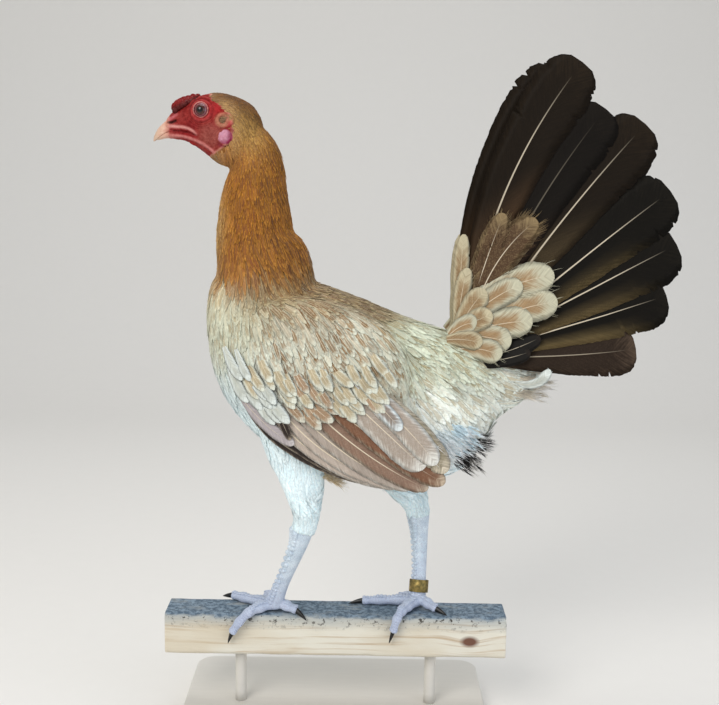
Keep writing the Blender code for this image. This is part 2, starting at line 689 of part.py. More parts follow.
def between(low, middle, high, share):
    """The point at a share of the way from low over middle to high."""
    low, middle, high = Vector(low), Vector(middle), Vector(high)
    return low.lerp(middle, share * 2) if share < 0.5 else middle.lerp(high, share * 2 - 1)


def along_line(points, share):
    """The point at a share of an open line's points, evenly spaced."""
    place = share * (len(points) - 1)
    index = min(int(place), len(points) - 2)
    return Vector(points[index]).lerp(Vector(points[index + 1]), place - index)


def wing_vanes(sign):
    """The folded flight feathers, and the rows of coverts over their roots."""
    vanes = []
    for i in range(FLIGHT_COUNT):
        share = i / (FLIGHT_COUNT - 1)
        points = [between(*stops, share) for stops in zip(FLIGHT_LOWEST, FLIGHT_MIDDLE, FLIGHT_HIGHEST)]
        width, depth, tilt = (a + (b - a) * share for a, b in (FLIGHT_WIDTH, FLIGHT_DEPTH, FLIGHT_TILT))
        slope = math.tan(math.radians(tilt))

        def flight_y(x, z, across, depth=depth, slope=slope, width=width):
            return sign * (wing_face(x, z) - depth - (across + width / 2) * slope)

        vanes.append(vane(points, FLIGHT_PROFILE, width, FLIGHT_THICKNESS, flight_y))
    for tips, length, width, lies, count, depth in COVERT_ROWS:
        for i in range(count):
            share = i / (count - 1)
            tip = along_line(tips, share)
            lie = math.radians(lies[0] + (lies[1] - lies[0]) * share)
            root = tip - Vector((math.cos(lie), math.sin(lie))) * length
            bend = (root + tip) / 2 + Vector((math.sin(lie), -math.cos(lie))) * length * 0.06
            slope = math.tan(math.radians(COVERT_TILT))
            sink = COVERT_SINK / length

            def covert_y(x, z, across, depth=depth, slope=slope, width=width, root=root, sink=sink, length=length):
                inward = max(0.0, length * 0.55 - math.hypot(x - root.x, z - root.y)) * sink
                return sign * (wing_face(x, z) - depth - (across + width / 2) * slope - inward)

            vanes.append(vane((root, bend, tip), COVERT_PROFILE, width, COVERT_THICKNESS, covert_y))
    return [new_object("vane", mesh, "wing") for mesh in vanes]


def build_wing(side, sign, thigh):
    """A folded wing: the arm, with its flight feathers and coverts rooted in it."""
    turn = Matrix.Rotation(math.radians(ARM_TILT), 4, "Y")
    arm = ellipsoid((ARM_CENTRE[0], sign * ARM_CENTRE[1], ARM_CENTRE[2]), ARM_RADII, 20, 12, turn)
    for vert in arm.verts:
        x, y, z = vert.co / MM
        offset = turn.inverted() @ Vector((x - ARM_CENTRE[0], 0, z - ARM_CENTRE[2]))
        rim = min(math.hypot(offset.x / ARM_RADII[0], offset.z / ARM_RADII[2]), 1.0)
        if sign * y > ARM_CENTRE[1] + 0.01:
            rise = wing_face(x, z) - ARM_INSET - ARM_CENTRE[1]
            vert.co.y = sign * (ARM_CENTRE[1] + rise * (1 - rim ** 5) ** 0.4) * MM
    wing = new_object(f"wing_{side}", arm, "wing")
    combine(wing, wing_vanes(sign), "UNION")
    combine(wing, body_room(thigh), "DIFFERENCE")


def tail_tent(x, z):
    """Y of the surface under the tail's feathers, by the angle about their root."""
    angle = math.degrees(math.atan2(z - TAIL_ROOT[1], x - TAIL_ROOT[0]))
    share = min(max((75.0 - angle) / 75.0, 0.0), 1.2)
    reach = min(math.hypot(x - TAIL_ROOT[0], z - TAIL_ROOT[1]) / 120.0, 1.0)
    spread = TAIL_TENT[0] + (TAIL_TENT[1] - TAIL_TENT[0]) * share
    return 9.0 + (spread - 9.0) * reach


def build_tail(side, sign, rump, feathers):
    """The rump's half with its fan of flight feathers and the coverts over their roots."""
    vanes = []
    for i, (angle, length, bend, width) in enumerate(feathers):
        lie = math.radians(angle)
        ahead, beside = Vector((math.cos(lie), math.sin(lie))), Vector((-math.sin(lie), math.cos(lie)))
        root = Vector(TAIL_ROOT)
        points = (root, root + ahead * length * 0.5 + beside * bend * 2, root + ahead * length)
        layer = (len(feathers) - 1 - i) * TAIL_LAYER

        def tail_y(x, z, across, layer=layer):
            return sign * (tail_tent(x, z) + layer)

        vanes.append(vane(points, TAIL_PROFILE, width, TAIL_THICKNESS, tail_y))
    for root, bend, tip, width, level in TAIL_COVERTS:
        layer = (len(feathers) - 1 + level) * TAIL_LAYER

        def covert_y(x, z, across, layer=layer):
            return sign * (tail_tent(x, z) + layer)

        vanes.append(vane((root, Vector(bend), tip), COVERT_PROFILE, width, COVERT_THICKNESS, covert_y))
    combine(rump, [new_object("vane", mesh, "tail") for mesh in vanes], "UNION")


def build_band():
    """A flat metal band round the right shank, clear of it."""
    top, bottom = Vector(SHANK_RIGHT[2]), Vector(SHANK_RIGHT[3])
    share = (top.z - BAND_Z) / (top.z - bottom.z)
    centre = top.lerp(bottom, share)
    axis = (top - bottom).normalized()
    side = axis.orthogonal().normalized()
    other = axis.cross(side)
    mesh = bmesh.new()
    loops = []
    profile = ((BAND_INNER, -0.5), (BAND_INNER + BAND_WALL, -0.5), (BAND_INNER + BAND_WALL, 0.5), (BAND_INNER, 0.5))
    for i in range(24):
        angle = 2 * math.pi * i / 24
        outward = side * math.cos(angle) + other * math.sin(angle)
        loops.append([mesh.verts.new((centre + outward * r + axis * h * BAND_HEIGHT) * MM) for r, h in profile])
    for i in range(24):
        low, high = loops[i], loops[(i + 1) % 24]
        for j in range(4):
            mesh.faces.new((low[j], low[(j + 1) % 4], high[(j + 1) % 4], high[j]))
    new_object("leg_band", mesh, "band")


def build_box(name, size, centre, bevel, edges_along, finish):
    """A box with the edges that run along the named axis rounded."""
    mesh = bmesh.new()
    bmesh.ops.create_cube(mesh, size=1.0)
    place = Matrix.Translation(Vector(centre) * MM) @ Matrix.Diagonal((*(side * MM for side in size), 1.0))
    bmesh.ops.transform(mesh, matrix=place, verts=mesh.verts)
    axis = "XYZ".index(edges_along)
    edges = [edge for edge in mesh.edges if abs((edge.verts[0].co - edge.verts[1].co).normalized()[axis]) > 0.9]
    bmesh.ops.bevel(mesh, geom=edges, offset=bevel * MM, segments=3, profile=0.5, affect="EDGES")
    return new_object(name, mesh, finish)


def build_bar(name, grow=0.0):
    """The length of roost bar, or a copy grown on every side."""
    size = (PERCH_LENGTH + 2 * grow, PERCH_SIDE + 2 * grow, PERCH_SIDE + 2 * grow)
    return build_box(name, size, (0, 0, PERCH_TOP - PERCH_SIDE / 2), PERCH_EDGE + grow, "X", "roost")


def build_stand():
    """The roost bar, its two short rods and the flat base."""
    build_bar("perch")
    build_box("stand_base", BASE_SIZE, (0, 0, BASE_SIZE[2] / 2), BASE_CORNER, "Z", "stand")
    low, high = BASE_SIZE[2] + GAP, PERCH_TOP - PERCH_SIDE - GAP
    for name, x in (("stand_rod_front", -ROD_SPAN / 2), ("stand_rod_rear", ROD_SPAN / 2)):
        mesh = bmesh.new()
        bmesh.ops.create_cone(mesh, cap_ends=True, segments=24, radius1=ROD_RADIUS * MM,
                              radius2=ROD_RADIUS * MM, depth=(high - low) * MM)
        bmesh.ops.translate(mesh, vec=Vector((x, 0, (low + high) / 2)) * MM, verts=mesh.verts)
        new_object(name, mesh, "stand")


def main():
    """Builds the hen, then what she stands on."""
    clear_scene()
    bpy.context.scene.collection.children.link(bpy.data.collections.new(MODEL))

    head, _, rumps = build_body()
    build_face(head)
    build_leg("left", THIGH_LEFT, SHANK_LEFT, TOES_LEFT, FOOT_PAD_LEFT)
    build_leg("right", THIGH_RIGHT, SHANK_RIGHT, TOES_RIGHT, FOOT_PAD_RIGHT)
    build_wing("left", -1, THIGH_LEFT)
    build_wing("right", 1, THIGH_RIGHT)
    build_tail("left", -1, rumps["left"], TAIL_LEFT)
    build_tail("right", 1, rumps["right"], TAIL_RIGHT)
    build_band()
    build_stand()


main()
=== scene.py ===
"""A life-size gamefowl hen with a low pea comb, standing along a short roost bar on a plain stand.

The hen faces -X and her left side is -Y. Sizes are in millimetres, and MM turns them into metres as each
mesh is made. The camera is level with her back and looks along +Y.
"""
import json
import logging
import math
from dataclasses import dataclass, field
from enum import Enum
from itertools import product
from typing import Callable, Sequence

import bmesh
import bpy
import numpy as np
from mathutils import Matrix, Vector, noise
from mathutils.bvhtree import BVHTree

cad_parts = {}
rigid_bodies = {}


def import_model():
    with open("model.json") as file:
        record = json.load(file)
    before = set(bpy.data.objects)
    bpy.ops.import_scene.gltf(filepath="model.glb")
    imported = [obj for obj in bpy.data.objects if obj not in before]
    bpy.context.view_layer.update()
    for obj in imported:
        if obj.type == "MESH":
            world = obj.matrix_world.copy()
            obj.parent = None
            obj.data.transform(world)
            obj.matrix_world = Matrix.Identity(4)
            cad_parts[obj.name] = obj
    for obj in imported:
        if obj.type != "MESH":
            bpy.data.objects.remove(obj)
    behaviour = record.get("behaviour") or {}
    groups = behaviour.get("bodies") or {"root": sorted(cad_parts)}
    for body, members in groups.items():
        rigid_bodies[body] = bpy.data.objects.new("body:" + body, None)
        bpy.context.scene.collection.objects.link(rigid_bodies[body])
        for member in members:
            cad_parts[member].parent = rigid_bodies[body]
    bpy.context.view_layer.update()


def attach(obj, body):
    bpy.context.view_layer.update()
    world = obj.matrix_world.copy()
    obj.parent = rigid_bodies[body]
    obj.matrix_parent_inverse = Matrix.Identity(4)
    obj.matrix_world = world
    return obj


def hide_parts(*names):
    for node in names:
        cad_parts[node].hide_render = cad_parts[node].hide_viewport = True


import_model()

logging.basicConfig(level=logging.INFO, format="%(message)s")
LOG = logging.getLogger("hen")

MM = 0.001
BODY = "root"
Rows = Sequence | np.ndarray
BAKE_PATCH = 0.003  # side of a feather's patch on the OFBake map
BARB_OFF = 3.0  # how far off its shaft a loose barb counts as being
HOME_CELL = 4.0  # side of the cells in which roots look for their neighbours

# Body sections, as the solids have them: x, lowest z, highest z, half width
TORSO = ((-113.5, 354, 358, 1), (-111, 334, 385, 18), (-106, 308, 398, 31), (-95, 284, 404, 42),
         (-78, 262, 405, 50), (-55, 243, 403, 54), (-28, 229, 396, 56), (2, 219, 387, 56),
         (32, 214, 375.5, 54), (60, 213, 364.5, 50), (86, 218, 357, 44), (108, 229, 350, 37),
         (120, 246, 344, 31), (134, 270, 337, 25), (150, 284, 331, 18), (163, 296, 325, 11),
         (169, 306, 320, 4))
# Neck: x, z, half depth, half width
NECK = ((-60, 368, 44, 42), (-66, 404, 43.5, 38), (-72, 424, 37, 33), (-73.2, 443, 34, 29),
        (-73, 464, 30.6, 25.5), (-71, 485, 25.5, 21.5), (-73.5, 499, 22.5, 18.5), (-83, 511, 20, 16))
# Head: x, lowest z, highest z, half width
HEAD = ((-67, 514, 522, 2), (-70, 506, 529, 8), (-76, 498, 537, 13), (-86, 490, 542.5, 16),
        (-98, 487.5, 546, 17), (-108, 492.5, 546.5, 17), (-118, 500, 544.5, 15.5),
        (-127, 505.5, 540.5, 12.5), (-134, 508, 536, 10), (-141, 508.8, 531.2, 8.2),
        (-144.2, 509.8, 528.0, 7.3), (-146.6, 511.6, 524.6, 5.8), (-148, 514, 521, 3.0))
# Thighs: x, y, z, half depth, half width
THIGH_LEFT = ((-36, -24, 282, 38, 20), (-33, -31, 252, 30, 19), (-30, -34, 232, 22.5, 17),
              (-27, -34, 210, 16.5, 13.5), (-26, -31, 194, 12.8, 10.5), (-28.5, -29, 180, 10.3, 8.6))
THIGH_RIGHT = ((44, 24, 270, 34, 20), (50, 30, 240, 31, 19), (57, 31, 218, 26, 17),
               (65, 29, 200, 18.5, 13.5), (71, 27, 187, 12, 10), (73.5, 25, 177, 9.8, 8.6))
SHANK_LEFT = ((-28.5, -29, 182), (-33, -26.5, 165), (-47, -15, 128), (-54, -8.5, 106.5))
SHANK_RIGHT = ((73.5, 25.5, 182), (74.5, 23, 162), (74.5, 14, 130), (73, 6.5, 106.5))
SHANK_RADII = ((9.4, 8.0), (7.2, 6.2), (5.9, 5.1), (7.2, 6.6))
FOOT_PADS = {"left": (-54.5, -8, 106.4), "right": (72, 6, 106.4)}
PAD_RADII = (8.4, 7.4, 5.6)
TOES = {
    "left": {
        "1": (((-52, -8, 108), (-43.5, -12.5, 105.6), (-35, -17, 104.2)), (-25.5, -23, 97)),
        "2": (((-54, -5, 106.2), (-58, 6, 105.2), (-62, 15, 104.4), (-64.5, 22.8, 99), (-65, 23.6, 90)),
              (-66, 22.6, 79)),
        "3": (((-57, -7, 106.2), (-70, 0, 105), (-84, 9, 104.4), (-93.5, 15, 104.2)), (-104, 22, 100.5)),
        "4": (((-56, -9, 106.2), (-67, -15.5, 105.2), (-76, -21, 102.6), (-84, -23.8, 95), (-90, -23.7, 86)),
              (-94, -22.8, 74.5)),
    },
    "right": {
        "1": (((74, 5, 108), (81.5, -2, 105.6), (88, -8.5, 104.2)), (97.5, -15.5, 100.8)),
        "2": (((71, 3, 106.2), (63, -8, 105.2), (58, -15.5, 104), (53.5, -22.6, 99.5), (50.5, -23.6, 89)),
              (47, -22.7, 77)),
        "3": (((71, 6, 106.2), (56, 8, 105), (39, 8.5, 104.4), (24, 8, 104)), (11, 7.5, 101.2)),
        "4": (((71, 8, 106.2), (63, 15, 104.9), (58, 21.6, 101.5), (55, 23.8, 92)), (52.5, 22.8, 81)),
    },
}
EYE = (-115.9, 10.0, 532.0)
EYE_RADIUS = 6.2
EAR = (-98.3, 16.6, 524.2)
EARLOBE = (-95.9, 15.4, 510.6)
EARLOBE_RADII = (7.0, 2.6, 6.8)
WATTLE = (-117, 5.0, 506.4)
WATTLE_RADII = (10, 3.0, 3.6)
COMB_LINE = ((-138.4, 535.4, 4.2), (-134.0, 539.2, 4.0), (-128.0, 541.9, 3.5), (-121.0, 544.4, 2.4))
TAIL_ROOT = (108.0, 331.0)
TAIL_TENT = (1.0, 33.0)


class Side(Enum):
    """A side of the hen, with the sign of its Y."""

    LEFT = -1
    RIGHT = 1

    @property
    def word(self) -> str:
        """The side's name in small letters."""
        return self.name.lower()


def linear(code: str) -> tuple[float, float, float]:
    """Turns an sRGB hex code into linear light.

    Args:
        code: six hex digits.

    Returns:
        Red, green and blue from 0 to 1.
    """
    parts = [int(code[i:i + 2], 16) / 255 for i in (0, 2, 4)]
    return tuple(part / 12.92 if part <= 0.04045 else ((part + 0.055) / 1.055) ** 2.4 for part in parts)


def rgba(code: str) -> tuple[float, float, float, float]:
    """An opaque colour from its sRGB hex code."""
    return (*linear(code), 1.0)


def smooth(value: np.ndarray | float, low: float, high: float) -> np.ndarray:
    """A soft step of value, from 0 at low to 1 at high."""
    share = np.clip((np.asarray(value, dtype=float) - low) / (high - low), 0, 1)
    return share * share * (3 - 2 * share)


def hump(distance: np.ndarray | float, width: float) -> np.ndarray:
    """A bell of height 1 at distance 0 that falls off over width."""
    return np.exp(-(np.asarray(distance, dtype=float) / width) ** 2)


def spline(rows: Rows, count: int) -> np.ndarray:
    """Samples a Catmull-Rom curve through rows of numbers.

    Args:
        rows: the rows that the curve passes through.
        count: how many samples are taken, ends included.

    Returns:
        An array of count rows.
    """
    knots = np.asarray(rows, dtype=float)
    knots = np.vstack((2 * knots[0] - knots[1], knots, 2 * knots[-1] - knots[-2]))
    place = np.linspace(0, len(knots) - 3, count)
    low = np.minimum(place.astype(int), len(knots) - 4)
    t = (place - low)[:, None]
    a, b, c, d = (knots[low + i] for i in range(4))
    return 0.5 * (2 * b + (c - a) * t + (2 * a - 5 * b + 4 * c - d) * t ** 2
                  + (3 * b - a - 3 * c + d) * t ** 3)


def unit(vectors: np.ndarray) -> np.ndarray:
    """The vectors at length 1."""
    return vectors / np.maximum(np.linalg.norm(vectors, axis=-1, keepdims=True), 1e-9)


def curve_points(root: Rows, bend: Rows, tip: Rows, shares: np.ndarray) -> np.ndarray:
    """Points of a quadratic curve at shares of its length.

    Args:
        root: where it starts.
        bend: its control point.
        tip: where it ends.
        shares: shares of the length, from 0 to 1.

    Returns:
        Rows of coordinates.
    """
    root, bend, tip = (np.asarray(point, dtype=float) for point in (root, bend, tip))
    t = shares[:, None]
    return root * (1 - t) ** 2 + bend * 2 * t * (1 - t) + tip * t * t


def line_distance(x: np.ndarray | float, z: np.ndarray | float, line: Rows) -> np.ndarray:
    """Distance in the XZ plane from points to an open line.

    Args:
        x: the points' x.
        z: the points' z.
        line: the line's (x, z) points.

    Returns:
        The shortest distance for each point.
    """
    best = np.full(np.shape(x), 1e9)
    for (x0, z0), (x1, z1) in zip(line, line[1:]):
        dx, dz = x1 - x0, z1 - z0
        t = np.clip(((x - x0) * dx + (z - z0) * dz) / (dx * dx + dz * dz), 0, 1)
        best = np.minimum(best, np.hypot(x - x0 - dx * t, z - z0 - dz * t))
    return best


def ripple(points: np.ndarray, size: float, shift: float = 0.0) -> np.ndarray:
    """Soft noise from -1 to 1 at points, with features about size apart."""
    return np.array([noise.noise(Vector(point) / size + Vector((shift, 0, 0))) for point in points])


# Meshes


@dataclass
class Shape:
    """Points in millimetres and faces of one mesh, with what its material reads.

    Attributes:
        points: the mesh's points.
        faces: arrays of faces, one for each number of corners.
        tints: colour attributes by name, one RGBA row for each point.
        values: number attributes by name, one for each point.
        maps: UV maps by name, one (u, v) row for each point.
    """

    points: np.ndarray
    faces: list[np.ndarray]
    tints: dict[str, np.ndarray] = field(default_factory=dict)
    values: dict[str, np.ndarray] = field(default_factory=dict)
    maps: dict[str, np.ndarray] = field(default_factory=dict)

    @staticmethod
    def joined(shapes: list["Shape"]) -> "Shape":
        """One shape of several that carry the same attributes.

        Args:
            shapes: the shapes.

        Returns:
            The joined shape.
        """
        starts = np.cumsum([0] + [len(shape.points) for shape in shapes])
        kinds = sorted({face.shape[1] for shape in shapes for face in shape.faces})
        faces = [np.vstack([face + start for shape, start in zip(shapes, starts) for face in shape.faces
                            if face.shape[1] == kind]) for kind in kinds]
        first = shapes[0]
        return Shape(
            np.vstack([shape.points for shape in shapes]), faces,
            {key: np.vstack([shape.tints[key] for shape in shapes]) for key in first.tints},
            {key: np.concatenate([shape.values[key] for shape in shapes]) for key in first.values},
            {key: np.vstack([shape.maps[key] for shape in shapes]) for key in first.maps},
        )

    def mesh(self, name: str) -> bpy.types.Mesh:
        """The shape as Blender mesh data.

        Args:
            name: the mesh's name.

        Returns:
            The mesh data.
        """
        data = bpy.data.meshes.new(name)
        data.vertices.add(len(self.points))
        data.vertices.foreach_set("co", (self.points * MM).astype(np.float32).ravel())
        loops = np.concatenate([face.ravel() for face in self.faces]).astype(np.int32)
        sizes = np.concatenate([np.full(len(face), face.shape[1]) for face in self.faces])
        data.loops.add(len(loops))
        data.loops.foreach_set("vertex_index", loops)
        data.polygons.add(len(sizes))
        data.polygons.foreach_set("loop_start",
                                  np.concatenate(([0], np.cumsum(sizes)[:-1])).astype(np.int32))
        data.polygons.foreach_set("use_smooth", np.ones(len(sizes), dtype=bool))
        data.update(calc_edges=True)
        for key, rows in self.tints.items():
            data.color_attributes.new(key, "FLOAT_COLOR", "POINT").data.foreach_set(
                "color", rows.astype(np.float32).ravel())
        for key, numbers in self.values.items():
            data.attributes.new(key, "FLOAT", "POINT").data.foreach_set("value", numbers.astype(np.float32))
        for key, rows in self.maps.items():
            data.uv_layers.new(name=key).data.foreach_set("uv", rows[loops].astype(np.float32).ravel())
        return data


def rings_shape(rings: np.ndarray) -> Shape:
    """A closed skin over rings of points, with a fan at each end.

    Args:
        rings: an array of (ring, side, xyz).

    Returns:
        The shape, without attributes.
    """
    count, sides, _ = rings.shape
    points = np.vstack((rings.reshape(-1, 3), rings[0].mean(axis=0), rings[-1].mean(axis=0)))
    i, j = np.meshgrid(np.arange(count - 1), np.arange(sides), indexing="ij")
    k = (j + 1) % sides
    walls = np.stack((i * sides + j, i * sides + k, (i + 1) * sides + k, (i + 1) * sides + j),
                     axis=-1).reshape(-1, 4)
    turn = np.arange(sides)
    onward = (turn + 1) % sides
    first = np.stack((onward, turn, np.full(sides, count * sides)), axis=-1)
    last_ring = (count - 1) * sides
    last = np.stack((last_ring + turn, last_ring + onward, np.full(sides, count * sides + 1)), axis=-1)
    return Shape(points, [np.vstack((first, last)), walls])


def upright_rings(table: Rows, count: int, sides: int, inset: np.ndarray | float = 0.0) -> np.ndarray:
    """Elliptic rings square to X.

    Args:
        table: rows of x, lowest z, highest z and half width.
        count: how many rings are made.
        sides: points in a ring.
        inset: how far the rings shrink, one number or one for each ring.

    Returns:
        An array of (ring, side, xyz).
    """
    rows = spline(table, count)
    turn = np.linspace(0, 2 * math.pi, sides, endpoint=False)
    half = np.maximum(rows[:, 3] - inset, 0.4)
    tall = np.maximum((rows[:, 2] - rows[:, 1]) / 2 - inset, 0.4)
    middle = (rows[:, 2] + rows[:, 1]) / 2
    return np.stack((
        np.repeat(rows[:, :1], sides, axis=1),
        half[:, None] * np.cos(turn),
        middle[:, None] + tall[:, None] * np.sin(turn),
    ), axis=-1)


def tube_rings(path: np.ndarray, radii: np.ndarray, sides: int, guide: Rows = (1.0, 0.0, 0.0)) -> np.ndarray:
    """Rings square to a path.

    Args:
        path: the points of the centre line.
        radii: for each point, half sizes along and across the guide.
        sides: points in a ring.
        guide: the direction that the first radius lies along.

    Returns:
        An array of (ring, side, xyz).
    """
    along = unit(np.gradient(path, axis=0))
    across = unit(np.cross(along, np.asarray(guide, dtype=float)))
    ahead = unit(np.cross(across, along))
    turn = np.linspace(0, 2 * math.pi, sides, endpoint=False)
    return (path[:, None] + across[:, None] * (radii[:, 1:2] * np.cos(turn))[..., None]
            + ahead[:, None] * (radii[:, :1] * np.sin(turn))[..., None])


def ball_rings(centre: Rows, radii: Rows, count: int, sides: int) -> np.ndarray:
    """Rings of an ellipsoid along X.

    Args:
        centre: the middle.
        radii: half sizes along X, Y and Z.
        count: how many rings are made.
        sides: points in a ring.

    Returns:
        An array of (ring, side, xyz).
    """
    angle = np.linspace(0.06, math.pi - 0.06, count)
    turn = np.linspace(0, 2 * math.pi, sides, endpoint=False)
    centre = np.asarray(centre, dtype=float)
    return centre + np.stack((
        np.repeat(-np.cos(angle)[:, None], sides, axis=1) * radii[0],
        np.sin(angle)[:, None] * np.cos(turn) * radii[1],
        np.sin(angle)[:, None] * np.sin(turn) * radii[2],
    ), axis=-1)


def fused(name: str, shapes: list[Shape], voxel: float, soften: int) -> Shape:
    """Melts overlapping closed shapes into one even skin.

    Args:
        name: a working name.
        shapes: closed shapes that overlap.
        voxel: the size of the new faces in millimetres.
        soften: passes of smoothing.

    Returns:
        The fused shape.
    """
    thing = bpy.data.objects.new(name, Shape.joined(shapes).mesh(name))
    bpy.context.scene.collection.objects.link(thing)
    remesh = thing.modifiers.new("melt", "REMESH")
    remesh.mode, remesh.voxel_size = "VOXEL", voxel * MM
    if soften:
        relax = thing.modifiers.new("relax", "SMOOTH")
        relax.factor, relax.iterations = 0.5, soften
    data = bpy.data.meshes.new_from_object(thing.evaluated_get(bpy.context.evaluated_depsgraph_get()))
    bpy.data.objects.remove(thing, do_unlink=True)
    shape = read_shape(data)
    bpy.data.meshes.remove(data)
    return shape


def read_shape(data: bpy.types.Mesh) -> Shape:
    """The points and faces of mesh data made by this script, in millimetres.

    Args:
        data: the mesh data.

    Returns:
        The shape, without attributes.
    """
    points = np.empty(len(data.vertices) * 3, dtype=np.float32)
    data.vertices.foreach_get("co", points)
    corners = np.empty(len(data.loops), dtype=np.int32)
    data.loops.foreach_get("vertex_index", corners)
    sizes = np.empty(len(data.polygons), dtype=np.int32)
    data.polygons.foreach_get("loop_total", sizes)
    starts = np.concatenate(([0], np.cumsum(sizes)[:-1]))
    faces = [corners[starts[sizes == kind][:, None] + np.arange(kind)] for kind in np.unique(sizes)]
    return Shape(points.reshape(-1, 3).astype(float) / MM, faces)


def point_normals(shape: Shape) -> np.ndarray:
    """The average direction of the faces about each point.

    Args:
        shape: the shape.

    Returns:
        A direction for each point.
    """
    normals = np.zeros_like(shape.points)
    for face in shape.faces:
        corners = shape.points[face]
        flat = np.cross(corners[:, 2] - corners[:, 0], corners[:, -1] - corners[:, 1])
        for i in range(face.shape[1]):
            np.add.at(normals, face[:, i], flat)
    return unit(normals)


# Finishes

# Short names for the kinds of node used most
MATH = "ShaderNodeMath"
MIX = "ShaderNodeMix"
RANGE = "ShaderNodeMapRange"
NOISE = "ShaderNodeTexNoise"
ATTRIBUTE = "ShaderNodeAttribute"
COORDINATES = "ShaderNodeTexCoord"
BUMP = "ShaderNodeBump"
JOIN = "ShaderNodeCombineXYZ"
MAPPING = "ShaderNodeMapping"
PART = "ShaderNodeSeparateXYZ"
CELLS = "ShaderNodeTexVoronoi"
VECTOR = "ShaderNodeVectorMath"
# Settings and output of a Mix node that blends colours
RGBA = {"output": 2, "data_type": "RGBA"}


def plug(tree: bpy.types.NodeTree, socket: bpy.types.NodeSocket, value: object) -> None:
    """Links a socket into another, or sets it to a plain value.

    Args:
        tree: the material's node tree.
        socket: the input socket.
        value: a socket, or a plain value.
    """
    if isinstance(value, bpy.types.NodeSocket):
        tree.links.new(value, socket)
    else:
        socket.default_value = value


def add_node(tree: bpy.types.NodeTree, kind: str, inputs: dict | None = None, output: int | str = 0,
             **settings: object) -> bpy.types.NodeSocket:
    """Adds a shader or geometry node with its settings and links.

    Args:
        tree: the node tree.
        kind: the node's type.
        inputs: by socket name or number, a value or the socket that is linked in.
        output: name or number of the output socket that is handed back.
        settings: the node's own properties.

    Returns:
        The output socket.
    """
    node = tree.nodes.new(kind)
    for key, value in settings.items():
        setattr(node, key, value)
    for key, value in (inputs or {}).items():
        plug(tree, node.inputs[key], value)
    return node.outputs[output]


class Finish:
    """Base of the finishes: makes its material once and hands it out."""

    name = "finish"
    roughness = 0.6

    def sockets(self, tree: bpy.types.NodeTree) -> dict:
        """Adds the finish's pattern.

        Args:
            tree: the material's node tree.

        Returns:
            What goes into the Principled shader's sockets, by name.
        """
        raise NotImplementedError

    def material(self) -> bpy.types.Material:
        """Makes the Blender material of this finish on the first call.

        Returns:
            The material.
        """
        made = bpy.data.materials.get(self.name)
        if made is None:
            made = bpy.data.materials.new(self.name)
            made.use_nodes = True
            shader = made.node_tree.nodes["Principled BSDF"]
            shader.inputs["Roughness"].default_value = self.roughness
            for name, value in self.sockets(made.node_tree).items():
                plug(made.node_tree, shader.inputs[name], value)
        return made


